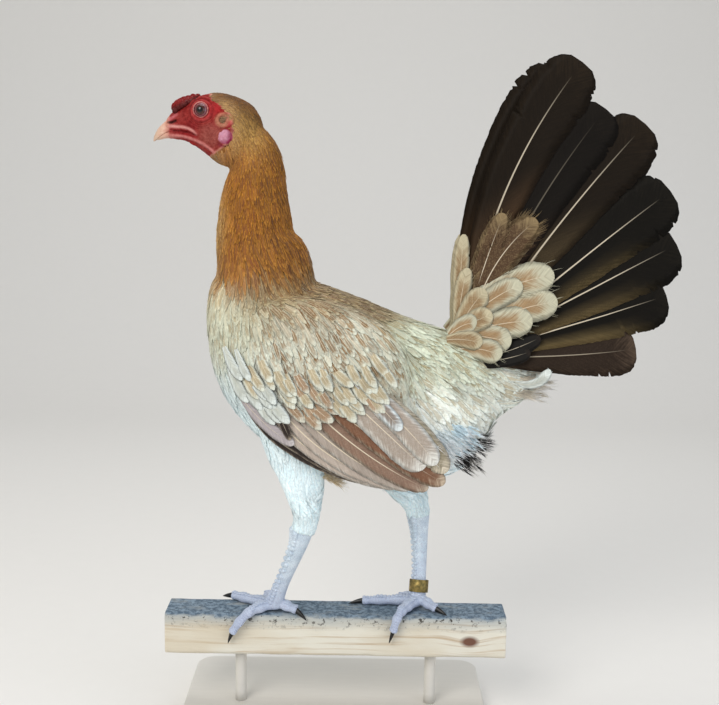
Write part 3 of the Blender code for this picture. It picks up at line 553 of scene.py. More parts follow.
@dataclass(frozen=True)
class Feather(Finish):
    """Keratin vanes: a thin pale shaft, slanting barbs that clump into streaks and a soft laced edge, matt.

    Attributes:
        silk: strength of the sheen.
        barb: millimetres between barbs.
        clump: millimetres between clumps of barbs.
        slant: how far forward a barb runs for each millimetre outwards.
        cloud: millimetres between cloudy patches.
        shine: level of the mirror-like part.
    """

    name: str = "feather keratin"
    roughness: float = 0.66
    silk: float = 0.02
    barb: float = 0.5
    clump: float = 2.0
    slant: float = 1.3
    cloud: float = 6.0
    shine: float = 0.22

    def sockets(self, tree: bpy.types.NodeTree) -> dict:
        """Reads the vane map, the sizes and the two tints, and draws edge, flecks, streaks and shaft.

        Args:
            tree: the material's node tree.

        Returns:
            What goes into the Principled shader's sockets, by name.
        """
        vane = add_node(tree, "ShaderNodeUVMap", uv_map="vane")
        u = add_node(tree, PART, {0: vane})
        along = u.node.outputs[1]
        aside = add_node(tree, MATH, {0: u, 1: 2.0, 2: -1.0}, operation="MULTIPLY_ADD")
        aside = add_node(tree, MATH, {0: aside}, operation="ABSOLUTE")
        ground = add_node(tree, ATTRIBUTE, output="Color", attribute_name="ground")
        edge = add_node(tree, ATTRIBUTE, output="Color", attribute_name="edge")
        span, off, pale, fleck = (add_node(tree, ATTRIBUTE, output="Fac", attribute_name=key)
                                  for key in ("span", "off", "shaft", "fleck"))
        off = add_node(tree, MATH, {0: off}, operation="ABSOLUTE")
        spot = add_node(tree, COORDINATES, output="Object")
        behind = add_node(tree, MATH, {0: off, 1: -self.slant}, operation="MULTIPLY")
        reach = add_node(tree, MATH, {0: along, 1: span, 2: behind}, operation="MULTIPLY_ADD")
        seed = add_node(tree, MATH, {0: span, 1: 3.7}, operation="MULTIPLY")
        threads = []
        for size, width in ((self.barb, 3.0), (self.clump, 9.0)):
            line = add_node(tree, MATH, {0: reach, 1: 1 / size}, operation="MULTIPLY")
            out = add_node(tree, MATH, {0: off, 1: 1 / width}, operation="MULTIPLY")
            place = add_node(tree, JOIN, {0: out, 1: line, 2: seed})
            threads.append(add_node(tree, NOISE, {"Vector": place, "Scale": 1.0, "Detail": 1.0}))
        fine, coarse = threads
        cloud = add_node(tree, NOISE, {"Vector": spot, "Scale": 1 / (self.cloud * MM), "Detail": 3.0})
        wander = add_node(tree, MATH, {0: coarse, 1: cloud}, operation="ADD")
        wander = add_node(tree, MATH, {0: wander, 1: 0.42, 2: -0.42}, operation="MULTIPLY_ADD")
        tip = add_node(tree, MATH, {0: along, 1: 2.4, 2: -1.4}, operation="MULTIPLY_ADD")
        border = add_node(tree, MATH, {0: aside, 1: tip}, operation="MAXIMUM")
        border = add_node(tree, MATH, {0: border, 1: wander}, operation="ADD")
        lace = add_node(tree, ATTRIBUTE, output="Alpha", attribute_name="ground")
        low = add_node(tree, MATH, {0: 0.76, 1: lace}, operation="SUBTRACT")
        high = add_node(tree, MATH, {0: 1.30, 1: lace}, operation="SUBTRACT")
        laced = add_node(tree, RANGE, {0: border, 1: low, 2: high}, interpolation_type="SMOOTHSTEP")
        colour = add_node(tree, MIX, {0: laced, 6: ground, 7: edge}, **RGBA)
        grit = add_node(tree, NOISE, {"Vector": spot, "Scale": 0.9 / MM, "Detail": 2.0})
        grit = add_node(tree, RANGE, {0: grit, 1: 0.50, 2: 0.60})
        grit = add_node(tree, MATH, {0: grit, 1: fleck}, operation="MULTIPLY")
        colour = add_node(tree, MIX, {0: grit, 6: colour, 7: edge}, **RGBA)
        streak = add_node(tree, RANGE, {0: coarse, 1: 0.3, 2: 0.7, 3: 0.86, 4: 1.08})
        hair = add_node(tree, RANGE, {0: fine, 1: 0.3, 2: 0.7, 3: 0.90, 4: 1.05})
        shade = add_node(tree, MATH, {0: streak, 1: hair}, operation="MULTIPLY")
        grey = add_node(tree, JOIN, {0: shade, 1: shade, 2: shade})
        colour = add_node(tree, MIX, {0: 1.0, 6: colour, 7: grey}, **RGBA, blend_type="MULTIPLY")
        girth = add_node(tree, MATH, {0: span, 1: 0.0022, 2: 0.16}, operation="MULTIPLY_ADD")
        taper = add_node(tree, MATH, {0: along, 1: -0.7, 2: 1.0}, operation="MULTIPLY_ADD")
        girth = add_node(tree, MATH, {0: girth, 1: taper}, operation="MULTIPLY")
        rim = add_node(tree, MATH, {0: girth, 1: 1.7}, operation="MULTIPLY")
        quill = add_node(tree, RANGE, {0: off, 1: girth, 2: rim, 3: 1.0, 4: 0.0})
        ends = add_node(tree, RANGE, {0: along, 1: 0.70, 2: 0.95, 3: 1.0, 4: 0.0})
        quill = add_node(tree, MATH, {0: quill, 1: ends}, operation="MULTIPLY")
        shown = add_node(tree, MATH, {0: quill, 1: pale}, operation="MULTIPLY")
        colour = add_node(tree, MIX, {0: shown, 6: colour, 7: rgba("E8DAC0")}, **RGBA)
        height = add_node(tree, MATH, {0: coarse, 1: 1.4, 2: fine}, operation="MULTIPLY_ADD")
        height = add_node(tree, MATH, {0: quill, 1: 0.5, 2: height}, operation="MULTIPLY_ADD")
        return {"Base Color": colour, "Sheen Weight": self.silk, "Sheen Roughness": 0.4,
                "Specular IOR Level": self.shine,
                "Normal": add_node(tree, BUMP, {"Height": height, "Strength": 0.5, "Distance": 0.25 * MM})}


@dataclass(frozen=True)
class Hide(Finish):
    """The skin under the coat, which carries the coat's colours: matt and downy."""

    name: str = "feathered skin"
    roughness: float = 0.8
    down: float = 2.4  # millimetres between tufts of down

    def sockets(self, tree: bpy.types.NodeTree) -> dict:
        """Colours the skin by its tint, with soft darker flecks as of the down on it; the darkening is also
        a painted shade that makes the skin between the feathers look deep.

        Args:
            tree: the material's node tree.

        Returns:
            What goes into the Principled shader's sockets, by name.
        """
        tint = add_node(tree, ATTRIBUTE, output="Color", attribute_name="ground")
        spot = add_node(tree, COORDINATES, output="Object")
        spot = add_node(tree, MAPPING, {"Vector": spot, "Scale": (1, 1, 2.5)})
        down = add_node(tree, NOISE, {"Vector": spot, "Scale": 1 / (self.down * MM), "Detail": 3.0})
        # darker flecks as of down, also a painted shade that makes the skin between the feathers look deep
        dark = add_node(tree, MIX, {0: 1.0, 6: tint, 7: (0.78, 0.75, 0.72, 1)}, **RGBA,
                        blend_type="MULTIPLY")
        share = add_node(tree, RANGE, {0: down, 1: 0.35, 2: 0.65})
        colour = add_node(tree, MIX, {0: share, 6: dark, 7: tint}, **RGBA)
        return {"Base Color": colour,
                "Normal": add_node(tree, BUMP, {"Height": down, "Strength": 0.6, "Distance": 0.8 * MM})}


@dataclass(frozen=True)
class BareSkin(Finish):
    """Bare facial skin full of blood: finely pimpled, soft and slightly moist."""

    name: str = "bare face skin"
    roughness: float = 0.56
    pimple: float = 0.9  # millimetres between the pimples
    blood: float = 2.6  # millimetres between flushed patches
    mottle: float = 0.04  # how far the pale patches pale

    def sockets(self, tree: bpy.types.NodeTree) -> dict:
        """Mottles the tint, raises fine pimples with a painted shade that darkens the creases between them,
        and lets light a little way in.

        Args:
            tree: the material's node tree.

        Returns:
            What goes into the Principled shader's sockets, by name.
        """
        tint = add_node(tree, ATTRIBUTE, output="Color", attribute_name="tone")
        spot = add_node(tree, COORDINATES, output="Object")
        cells = add_node(tree, CELLS, {"Vector": spot, "Scale": 1 / (self.pimple * MM),
                                                        "Randomness": 0.9}, "Distance", feature="SMOOTH_F1")
        blood = add_node(tree, NOISE, {"Vector": spot, "Scale": 1 / (self.blood * MM), "Detail": 4.0,
                                                      "Roughness": 0.62})
        dark = add_node(tree, MIX, {0: tint.node.outputs["Alpha"], 6: tint, 7: (0.56, 0.30, 0.32, 1)},
                        **RGBA, blend_type="MULTIPLY")
        light = add_node(tree, MIX, {0: self.mottle, 6: tint, 7: rgba("E09A90")}, **RGBA)
        share = add_node(tree, RANGE, {0: blood, 1: 0.34, 2: 0.66})
        colour = add_node(tree, MIX, {0: share, 6: dark, 7: light}, **RGBA)
        # painted shade: the low creases between the pimples are darkened
        crease_shade = add_node(tree, RANGE, {0: cells, 1: 0.25, 2: 0.6, 3: 0.0, 4: 0.40})
        colour = add_node(tree, MIX, {0: crease_shade, 6: colour, 7: dark}, **RGBA)
        height = add_node(tree, MATH, {0: cells, 1: -0.7, 2: blood}, operation="MULTIPLY_ADD")
        return {"Base Color": colour, "Subsurface Weight": 0.06, "Subsurface Scale": 1.0,
                "Specular IOR Level": 0.14, "Subsurface Radius": (2.0 * MM, 0.7 * MM, 0.5 * MM),
                "Normal": add_node(tree, BUMP, {"Height": height, "Strength": 0.7, "Distance": 0.6 * MM})}


@dataclass(frozen=True)
class Horn(Finish):
    """Bill and claw keratin: smooth, faintly layered along its length, with a dull polish."""

    name: str = "bill horn"
    base: str = "CB9782"
    streak: str = "DDB9A2"
    tip: str = "C6AA92"
    roughness: float = 0.38
    stretch: tuple = (0.25, 1.0, 1.0)
    layer: float = 1.4  # millimetres between streaks

    def sockets(self, tree: bpy.types.NodeTree) -> dict:
        """Streaks along the piece, a paler or darker tip, and the tone of the skin that it grows out of.

        Args:
            tree: the material's node tree.

        Returns:
            What goes into the Principled shader's sockets, by name.
        """
        spot = add_node(tree, COORDINATES, output="Object")
        clouds = add_node(tree, NOISE, {"Vector": spot, "Scale": 0.19 / MM, "Detail": 2.0})
        drawn = add_node(tree, MAPPING, {"Vector": spot, "Scale": self.stretch})
        lines = add_node(tree, NOISE, {"Vector": drawn, "Scale": 1 / (self.layer * MM), "Detail": 4.0})
        ends = add_node(tree, ATTRIBUTE, output="Fac", attribute_name="reach")
        share = add_node(tree, RANGE, {0: lines, 1: 0.3, 2: 0.7})
        colour = add_node(tree, MIX, {0: share, 6: rgba(self.base), 7: rgba(self.streak)}, **RGBA)
        clouds = add_node(tree, MATH, {0: clouds, 1: 0.5, 2: 0.6}, operation="MULTIPLY_ADD")
        ends = add_node(tree, MATH, {0: ends, 1: clouds}, operation="MULTIPLY")
        colour = add_node(tree, MIX, {0: ends, 6: colour, 7: rgba(self.tip)}, **RGBA)
        tone = add_node(tree, ATTRIBUTE, output="Color", attribute_name="tone")
        colour = add_node(tree, MIX, {0: tone.node.outputs["Alpha"], 6: colour, 7: tone}, **RGBA)
        return {"Base Color": colour, "Subsurface Weight": 0.08, "Subsurface Scale": 1.0,
                "Subsurface Radius": (1.0 * MM, 0.7 * MM, 0.5 * MM),
                "Normal": add_node(tree, BUMP, {"Height": lines, "Strength": 0.3, "Distance": 0.3 * MM})}


@dataclass(frozen=True)
class EyeGlass(Finish):
    """A dark brown iris under a wet clear cornea, with a black pupil.

    Attributes:
        pupil: the pupil's radius as a share of the ball's.
        iris: the iris's radius.
        rim: where the pinkish grey white of the eye is reached.
    """

    name: str = "wet eye"
    roughness: float = 0.12
    pupil: float = 0.40
    iris: float = 0.64
    rim: float = 0.72

    def sockets(self, tree: bpy.types.NodeTree) -> dict:
        """Rings of pupil, streaked iris and pale rim, by the piece's own distance from its axis.

        Args:
            tree: the material's node tree.

        Returns:
            What goes into the Principled shader's sockets, by name.
        """
        off = add_node(tree, ATTRIBUTE, output="Fac", attribute_name="off_axis")
        spot = add_node(tree, COORDINATES, output="Object")
        fibre = add_node(tree, NOISE, {"Vector": spot, "Scale": 1.4 / MM, "Detail": 3.0})
        iris = add_node(tree, MIX, {0: fibre, 6: rgba("240C08"), 7: rgba("5E2416")}, **RGBA)
        step = add_node(tree, RANGE, {0: off, 1: self.iris, 2: self.rim})
        outer = add_node(tree, MIX, {0: step, 6: iris, 7: rgba("8E5F66")}, **RGBA)
        step = add_node(tree, RANGE, {0: off, 1: self.pupil - 0.04, 2: self.pupil + 0.04})
        colour = add_node(tree, MIX, {0: step, 6: (0.003, 0.003, 0.003, 1), 7: outer}, **RGBA)
        return {"Base Color": colour, "Specular IOR Level": 0.3, "Coat Weight": 0.4, "Coat Roughness": 0.03}


@dataclass(frozen=True)
class LegScale(Finish):
    """Pearly leg scales: hard, smooth plates with fine dark seams and a waxy gloss."""

    name: str = "leg scale"
    roughness: float = 0.46
    scale: float = 1.4  # millimetres across the small scales

    def sockets(self, tree: bpy.types.NodeTree) -> dict:
        """Small scales between the plates, with lilac seams and a painted shade low down: the plates turn a
        darker blue-grey towards the feet.

        Args:
            tree: the material's node tree.

        Returns:
            What goes into the Principled shader's sockets, by name.
        """
        spot = add_node(tree, COORDINATES, output="Object")
        cells = add_node(tree, CELLS, {"Vector": spot, "Scale": 1 / (self.scale * MM)},
                         feature="DISTANCE_TO_EDGE")
        clouds = add_node(tree, NOISE, {"Vector": spot, "Scale": 0.12 / MM, "Detail": 4.0})
        share = add_node(tree, RANGE, {0: clouds, 1: 0.35, 2: 0.65})
        plate = add_node(tree, MIX, {0: share, 6: rgba("C8DAE6"), 7: rgba("E4F2FA")}, **RGBA)
        height = add_node(tree, PART, {0: spot}, 2)
        # painted shade: from 0.15 m down to the bar the plates darken towards blue-grey, as shade near the
        # feet
        low = add_node(tree, RANGE, {0: height, 1: 0.100, 2: 0.150, 3: 0.70, 4: 0.08})
        plate = add_node(tree, MIX, {0: low, 6: plate, 7: rgba("ACB6D4")}, **RGBA)
        seam = add_node(tree, RANGE, {0: cells, 1: 0.0, 2: 0.12, 3: 0.45, 4: 0.0})
        colour = add_node(tree, MIX, {0: seam, 6: plate, 7: rgba("8F88A0")}, **RGBA)
        relief = add_node(tree, RANGE, {0: cells, 1: 0.0, 2: 0.2})
        return {"Base Color": colour, "Subsurface Weight": 0.06, "Subsurface Scale": 1.0,
                "Subsurface Radius": (1.0 * MM, 0.8 * MM, 0.8 * MM),
                "Normal": add_node(tree, BUMP, {"Height": relief, "Strength": 0.5, "Distance": 0.4 * MM})}


@dataclass(frozen=True)
class Brass(Finish):
    """Weathered brass of a leg band: olive-brown, half dull, scratched round its length."""

    name: str = "weathered brass"
    roughness: float = 0.42

    def sockets(self, tree: bpy.types.NodeTree) -> dict:
        """Tarnish in clouds, with brighter rubbed scratches.

        Args:
            tree: the material's node tree.

        Returns:
            What goes into the Principled shader's sockets, by name.
        """
        spot = add_node(tree, COORDINATES, output="Object")
        tarnish = add_node(tree, NOISE, {"Vector": spot, "Scale": 0.26 / MM, "Detail": 4.0})
        spot = add_node(tree, MAPPING, {"Vector": spot, "Scale": (1, 1, 9)})
        scratch = add_node(tree, NOISE, {"Vector": spot, "Scale": 0.5 / MM, "Detail": 2.0})
        share = add_node(tree, RANGE, {0: tarnish, 1: 0.35, 2: 0.65})
        colour = add_node(tree, MIX, {0: share, 6: rgba("5E5632"), 7: rgba("A68F55")}, **RGBA)
        return {"Base Color": colour, "Metallic": 0.8,
                "Roughness": add_node(tree, RANGE, {0: scratch, 1: 0.2, 2: 0.8, 3: 0.32, 4: 0.6}),
                "Normal": add_node(tree, BUMP, {"Height": scratch, "Strength": 0.25, "Distance": 0.2 * MM})}


@dataclass(frozen=True)
class Timber(Finish):
    """Sawn softwood worn by feet: pale, with knots and a grimy blue-grey top that wears off at its edge.

    Attributes:
        top: height of the bar's top in metres.
        knots: middles of the knots, in metres.
        wave: millimetres between bends of the grain.
        grain: millimetres between grain lines.
    """

    name: str = "weathered pine"
    roughness: float = 0.84
    top: float = 0.100
    knots: tuple = ((0.118, -0.019, 0.078), (-0.075, 0.012, 0.1))
    wave: float = 45.0
    grain: float = 2.6

    def sockets(self, tree: bpy.types.NodeTree) -> dict:
        """Fine grain lines along the bar, two knots, specks of dirt and a grimy top face.

        Args:
            tree: the material's node tree.

        Returns:
            What goes into the Principled shader's sockets, by name.
        """
        spot = add_node(tree, COORDINATES, output="Object")
        near = None
        for centre in self.knots:
            away = add_node(tree, VECTOR, {0: spot, 1: centre}, operation="SUBTRACT")
            away = add_node(tree, VECTOR, {0: away, 1: (0.62, 1.0, 1.0)}, operation="MULTIPLY")
            away = add_node(tree, VECTOR, {0: away}, "Value", operation="LENGTH")
            near = away if near is None else add_node(tree, MATH, {0: near, 1: away}, operation="MINIMUM")
        swirl = add_node(tree, RANGE, {0: near, 1: 0.0, 2: 0.022, 3: 5 * MM, 4: 0.0},
                         interpolation_type="SMOOTHSTEP")
        slow = add_node(tree, MAPPING, {"Vector": spot, "Scale": (0.35, 1, 1)})
        warp = add_node(tree, NOISE, {"Vector": slow, "Scale": 1 / (self.wave * MM), "Detail": 2.0})
        x = add_node(tree, PART, {0: spot})
        y, height = x.node.outputs[1], x.node.outputs[2]
        bent = add_node(tree, MATH, {0: warp, 1: 12 * MM, 2: height}, operation="MULTIPLY_ADD")
        bent = add_node(tree, MATH, {0: bent, 1: swirl}, operation="ADD")
        stretch = add_node(tree, MATH, {0: x, 1: 0.03}, operation="MULTIPLY")
        lines = add_node(tree, JOIN, {0: stretch, 1: y, 2: bent})
        grain = add_node(tree, NOISE, {"Vector": lines, "Scale": 1 / (self.grain * MM), "Detail": 4.0,
                                                      "Roughness": 0.6})
        pale, brown = rgba("DFDBCD"), rgba("B89F80")
        share = add_node(tree, RANGE, {0: grain, 1: 0.52, 2: 0.68, 3: 0.0, 4: 0.75})
        wood = add_node(tree, MIX, {0: share, 6: pale, 7: brown}, **RGBA)
        clouds = add_node(tree, NOISE, {"Vector": slow, "Scale": 0.035 / MM, "Detail": 3.0})
        share = add_node(tree, RANGE, {0: clouds, 1: 0.4, 2: 0.65, 3: 0.0, 4: 0.5})
        wood = add_node(tree, MIX, {0: share, 6: wood, 7: rgba("C9B99C")}, **RGBA)
        share = add_node(tree, RANGE, {0: near, 1: 3 * MM, 2: 6 * MM, 3: 1.0, 4: 0.0})
        wood = add_node(tree, MIX, {0: share, 6: wood, 7: rgba("6F4C3C")}, **RGBA)
        dirt = add_node(tree, NOISE, {"Vector": spot, "Scale": 0.22 / MM, "Detail": 4.0, "Roughness": 0.7})
        rough = add_node(tree, NOISE, {"Vector": slow, "Scale": 0.09 / MM, "Detail": 5.0, "Roughness": 0.68})
        edge = add_node(tree, MATH, {0: rough, 1: -12 * MM, 2: height}, operation="MULTIPLY_ADD")
        shoulder = add_node(tree, RANGE, {0: edge, 1: self.top - 0.020, 2: self.top - 0.010})
        tan = add_node(tree, MATH, {0: shoulder, 1: 0.7}, operation="MULTIPLY")
        colour = add_node(tree, MIX, {0: tan, 6: wood, 7: rgba("A2AAAC")}, **RGBA)
        specks = add_node(tree, RANGE, {0: dirt, 1: 0.56, 2: 0.62})
        specks = add_node(tree, MATH, {0: specks, 1: shoulder}, operation="MULTIPLY")
        colour = add_node(tree, MIX, {0: specks, 6: colour, 7: rgba("3A3630")}, **RGBA)
        worn = add_node(tree, RANGE, {0: edge, 1: self.top - 0.0095, 2: self.top - 0.0065})
        grime = add_node(tree, RANGE, {0: dirt, 1: 0.42, 2: 0.62})
        grime = add_node(tree, MIX, {0: grime, 6: rgba("4C5E6E"), 7: rgba("8799A8")}, **RGBA)
        colour = add_node(tree, MIX, {0: worn, 6: colour, 7: grime}, **RGBA)
        relief = add_node(tree, MATH, {0: grain, 1: 0.6, 2: rough}, operation="MULTIPLY_ADD")
        return {"Base Color": colour,
                "Normal": add_node(tree, BUMP, {"Height": relief, "Strength": 0.6, "Distance": 0.9 * MM})}


@dataclass(frozen=True)
class Paint(Finish):
    """Smooth off-white paint on the stand: satin, with faint brush marks."""

    name: str = "satin stand paint"
    colour: str = "D8D5CE"
    roughness: float = 0.5

    def sockets(self, tree: bpy.types.NodeTree) -> dict:
        """A little unevenness in colour and surface.

        Args:
            tree: the material's node tree.

        Returns:
            What goes into the Principled shader's sockets, by name.
        """
        spot = add_node(tree, COORDINATES, output="Object")
        spot = add_node(tree, MAPPING, {"Vector": spot, "Scale": (0.12, 1, 1)})
        marks = add_node(tree, NOISE, {"Vector": spot, "Scale": 0.26 / MM, "Detail": 3.0})
        tint = rgba(self.colour)
        dull = tuple(part * 0.93 for part in tint)
        colour = add_node(tree, MIX, {0: marks, 6: dull, 7: tint}, **RGBA)
        return {"Base Color": colour,
                "Normal": add_node(tree, BUMP, {"Height": marks, "Strength": 0.12, "Distance": 0.3 * MM})}


@dataclass(frozen=True)
class Backdrop(Finish):
    """Matt pale studio paper."""

    name: str = "studio paper"
    colour: str = "E4E2DE"
    roughness: float = 0.9

    def sockets(self, tree: bpy.types.NodeTree) -> dict:
        """Hardly any variation.

        Args:
            tree: the material's node tree.

        Returns:
            What goes into the Principled shader's sockets, by name.
        """
        spot = add_node(tree, COORDINATES, output="Object")
        fine = add_node(tree, NOISE, {"Vector": spot, "Scale": 60.0, "Detail": 2.0})
        tint = rgba(self.colour)
        dull = tuple(part * 0.98 for part in tint)
        return {"Base Color": add_node(tree, MIX, {0: fine, 6: dull, 7: tint}, **RGBA)}


def piece(name: str, shape: Shape, finish: Finish,
          replaced: tuple[str, ...] = ()) -> bpy.types.Object:
    """Makes a finished piece that rides on the hen's one body.

    Args:
        name: the piece's name.
        shape: its points, faces and attributes.
        finish: what it is made of.
        replaced: names of the CAD nodes that it stands for.

    Returns:
        The object.
    """
    thing = bpy.data.objects.new(name, shape.mesh(name))
    bpy.context.scene.collection.objects.link(thing)
    thing.data.materials.append(finish.material())
    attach(thing, BODY)
    if replaced:
        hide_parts(*replaced)
    triangles = sum(len(face) * (face.shape[1] - 2) for face in shape.faces)
    LOG.info("%s: %d triangles", name, triangles)
    return thing


# Plumage


@dataclass(frozen=True)
class Plume:
    """Colours of one kind of feather.

    Attributes:
        ground: colour of the vane's middle.
        edge: colour of its lacing.
        lace: share of the vane that the lacing takes.
        shaft: how far the shaft shows, 0 to 1.
        fleck: share of peppering with the edge's colour.
        vary: random spread of lightness from feather to feather.
        fade: how far some feathers' ground pales towards the edge's colour.
    """

    ground: str
    edge: str
    lace: float = 0.3
    shaft: float = 0.35
    fleck: float = 0.0
    vary: float = 0.10
    fade: float = 0.0


@dataclass(frozen=True)
class Tract:
    """A region of small feathers, which fades into its neighbours.

    Attributes:
        group: the piece that its feathers go to.
        centre: middle of the region, with Y counted from the hen's middle.
        reach: how far it extends each way.
        lie: direction of the feathers.
        length: length of a feather.
        width: width of a feather.
        spacing: distance between roots.
        plume: the colours.
        point: 0 for a round tip, 1 for a pointed one.
        rag: how frayed the edges are.
        lift: degrees that the feathers stand off the skin.
    """

    group: str
    centre: tuple
    reach: tuple
    lie: tuple
    length: float
    width: float
    spacing: float
    plume: Plume
    point: float = 0.2
    rag: float = 0.15
    lift: float = 5.0


GOLD = Plume("7A3F0A", "B67A26", 0.36, 0.06, 0.15, 0.13, 0.35)
CROWN_GOLD = Plume("3C2108", "80501A", 0.36, 0.05, 0.10, 0.14, 0.35)
AMBER = Plume("65370B", "A8722A", 0.38, 0.06, 0.15, 0.14, 0.35)
FACE_FRINGE = Plume("8A6438", "BF9C68", 0.40, 0.10, 0.20, 0.12, 0.6)
CHIN_TAN = Plume("6A4222", "A07444", 0.40, 0.10, 0.20, 0.14, 0.4)
OLIVE_CREAM = Plume("84602A", "BE9A58", 0.40, 0.10, 0.15, 0.12, 0.5)
FRONT_CREAM = Plume("906430", "C4A064", 0.40, 0.20, 0.10, 0.07, 0.6)
SHOULDER = Plume("B0A584", "D2D5BF", 0.42, 0.30, 0.10, 0.05, 0.8)
COOL_WHITE = Plume("C6D6DA", "E0F0F2", 0.45, 0.25, 0.0, 0.03, 0.8)
TAN_BROWN = Plume("64451F", "B09C70", 0.28, 0.50, 0.20, 0.12, 0.5)
LACED_TAN = Plume("8A683E", "DADCCA", 0.34, 0.85, 0.10, 0.08, 0.9)
LACED_BROWN = Plume("553B1F", "AA9874", 0.28, 0.50, 0.15, 0.10, 0.5)
SADDLE = Plume("958C68", "D8E0CA", 0.36, 0.45, 0.20, 0.07, 0.9)
FLANK_WHITE = Plume("BCB296", "F2F8F0", 0.38, 0.45, 0.10, 0.05, 0.95)
THIGH_WHITE = Plume("DCF4FB", "EEFCFF", 0.45, 0.0, 0.0, 0.02, 0.8)
FLUFF_WHITE = Plume("EEFAFF", "FCFFFF", 0.45, 0.0, 0.0, 0.02, 0.8)
VENT_DARK = Plume("2E2823", "756C62", 0.22, 0.10, 0.1, 0.15, 0.2)

TRACTS = (
    Tract("head", (-105, 5, 546), (4.5, 14, 8), (1, 0, -0.05), 4.6, 1.2, 0.8, FACE_FRINGE, 0.7, 0.3, 2.5),
    Tract("head", (-92, 0, 546), (8, 14, 8), (1, 0, -0.15), 6.5, 1.5, 1.0, CROWN_GOLD, 0.7, 0.3, 2),
    Tract("head", (-74, 0, 530), (12, 14, 12), (0.5, 0, -0.9), 10, 2.0, 1.25, CROWN_GOLD, 0.8, 0.3, 2),
    Tract("head", (-90, 16, 528), (4, 8, 12), (0.75, 0, -0.65), 5.5, 1.4, 0.9, FACE_FRINGE, 0.7, 0.3, 2),
    Tract("head", (-87, 15, 508), (5, 8, 14), (0.4, 0.05, -0.9), 7.5, 1.6, 1.05, FACE_FRINGE, 0.7, 0.3, 2),
    Tract("head", (-74, 14, 512), (9, 8, 14), (0.35, 0.05, -0.9), 11, 2.0, 1.3, OLIVE_CREAM, 0.7, 0.3, 2),
    Tract("head", (-102, 4, 488), (12, 12, 7), (0.35, 0, -0.95), 5.5, 1.4, 0.9, CHIN_TAN, 0.7, 0.3, 2),
    Tract("hackle", (-62, 12, 480), (18, 22, 28), (0.12, 0, -1), 20, 3.4, 2.2, AMBER, 0.85, 0.3, 1.5),
    Tract("hackle", (-84, 16, 465), (14, 14, 28), (-0.02, 0, -1), 19, 3.4, 2.2, GOLD, 0.85, 0.3, 1.5),
    Tract("hackle", (-103, 4, 448), (9, 16, 34), (-0.05, 0, -1), 18, 3.6, 2.4, FRONT_CREAM, 0.7, 0.3, 1.5),
    Tract("hackle", (-52, 22, 415), (28, 26, 16), (0.35, 0.1, -0.9), 28, 4.8, 3.0, AMBER, 0.75, 0.3, 1.5),
    Tract("hackle", (-88, 26, 408), (16, 20, 14), (0.05, 0.1, -1), 26, 4.8, 3.0, GOLD, 0.7, 0.3, 1.5),
    Tract("bow", (-52, 44, 380), (26, 18, 13), (0.55, 0.1, -0.8), 24, 5.2, 3.3, TAN_BROWN, 0.5, 0.3, 1.8),
    Tract("back", (-12, 14, 396), (30, 26, 14), (1, 0.1, -0.4), 26, 5.0, 3.2, LACED_BROWN, 0.55, 0.3, 1.8),
    Tract("breast", (-90, 34, 356), (26, 28, 28), (0.3, 0, -0.95), 27, 5.4, 3.1, SHOULDER, 0.45, 0.35, 1.3),
    Tract("breast", (-80, 36, 298), (32, 34, 30), (0.6, 0, -0.8), 28, 5.6, 3.2, COOL_WHITE, 0.45, 0.4, 1.2),
    Tract("bow", (-42, 58, 350), (20, 18, 22), (0.42, 0, -0.9), 26, 6.8, 3.9, LACED_TAN, 0.40, 0.3, 2),
    Tract("bow", (-36, 62, 318), (24, 18, 20), (0.44, 0, -0.88), 27, 7.4, 4.2, LACED_TAN, 0.35, 0.3, 2),
    Tract("bow", (18, 58, 330), (26, 18, 26), (0.56, 0, -0.8), 27, 7.0, 4.0, LACED_TAN, 0.40, 0.3, 2),
    Tract("back", (32, 14, 380), (30, 24, 12), (1, 0.12, -0.4), 26, 5.0, 3.2, LACED_BROWN, 0.55, 0.3, 1.8),
    Tract("saddle", (66, 30, 350), (24, 24, 24), (0.8, 0.1, -0.6), 27, 5.4, 3.3, SADDLE, 0.45, 0.4, 1.8),
    Tract("saddle", (98, 26, 330), (20, 20, 24), (0.85, 0.1, -0.45), 29, 5.8, 3.5, SADDLE, 0.45, 0.4, 1.8),
    Tract("flank", (98, 38, 290), (26, 22, 26), (0.72, 0, -0.6), 32, 7.2, 4.2, FLANK_WHITE, 0.4, 0.45, 2.2),
    Tract("flank", (150, 14, 300), (22, 16, 22), (1, 0, 0), 32, 6.0, 4.0, FLANK_WHITE, 0.5, 0.6, 4),
    Tract("belly", (20, 16, 222), (70, 34, 16), (1, 0, 0), 26, 7.6, 5.2, THIGH_WHITE, 0.3, 0.5, 4),
    Tract("belly", (80, 26, 258), (22, 24, 22), (0.85, 0, -0.4), 32, 6.4, 3.5, FLUFF_WHITE, 0.4, 0.6, 3),
    Tract("belly", (116, 10, 238), (7, 18, 9), (0.7, 0, 0.5), 24, 7, 4.6, VENT_DARK, 0.5, 0.7, 10),
    Tract("thigh", (-32, 34, 240), (26, 16, 26), (0.12, 0, -1), 21, 2.9, 1.9, THIGH_WHITE, 0.6, 0.3, 0.4),
    Tract("thigh", (-28, 32, 200), (16, 14, 22), (0.02, 0, -1), 15, 2.4, 1.6, THIGH_WHITE, 0.6, 0.3, 0.4),
    Tract("thigh", (54, 34, 236), (26, 16, 22), (0.25, 0, -1), 21, 2.9, 1.9, THIGH_WHITE, 0.6, 0.3, 0.4),
    Tract("thigh", (68, 28, 198), (16, 14, 20), (0.2, 0, -1), 15, 2.4, 1.6, THIGH_WHITE, 0.6, 0.3, 0.4),
)

# Outline of the bare face: z, and the x behind which feathers grow
FACE_EDGE = ((486, -114), (491, -111), (496, -107), (500, -101), (505, -94), (510, -88.5), (520, -89),
             (530, -92.5), (536, -99), (541, -106), (550, -110))
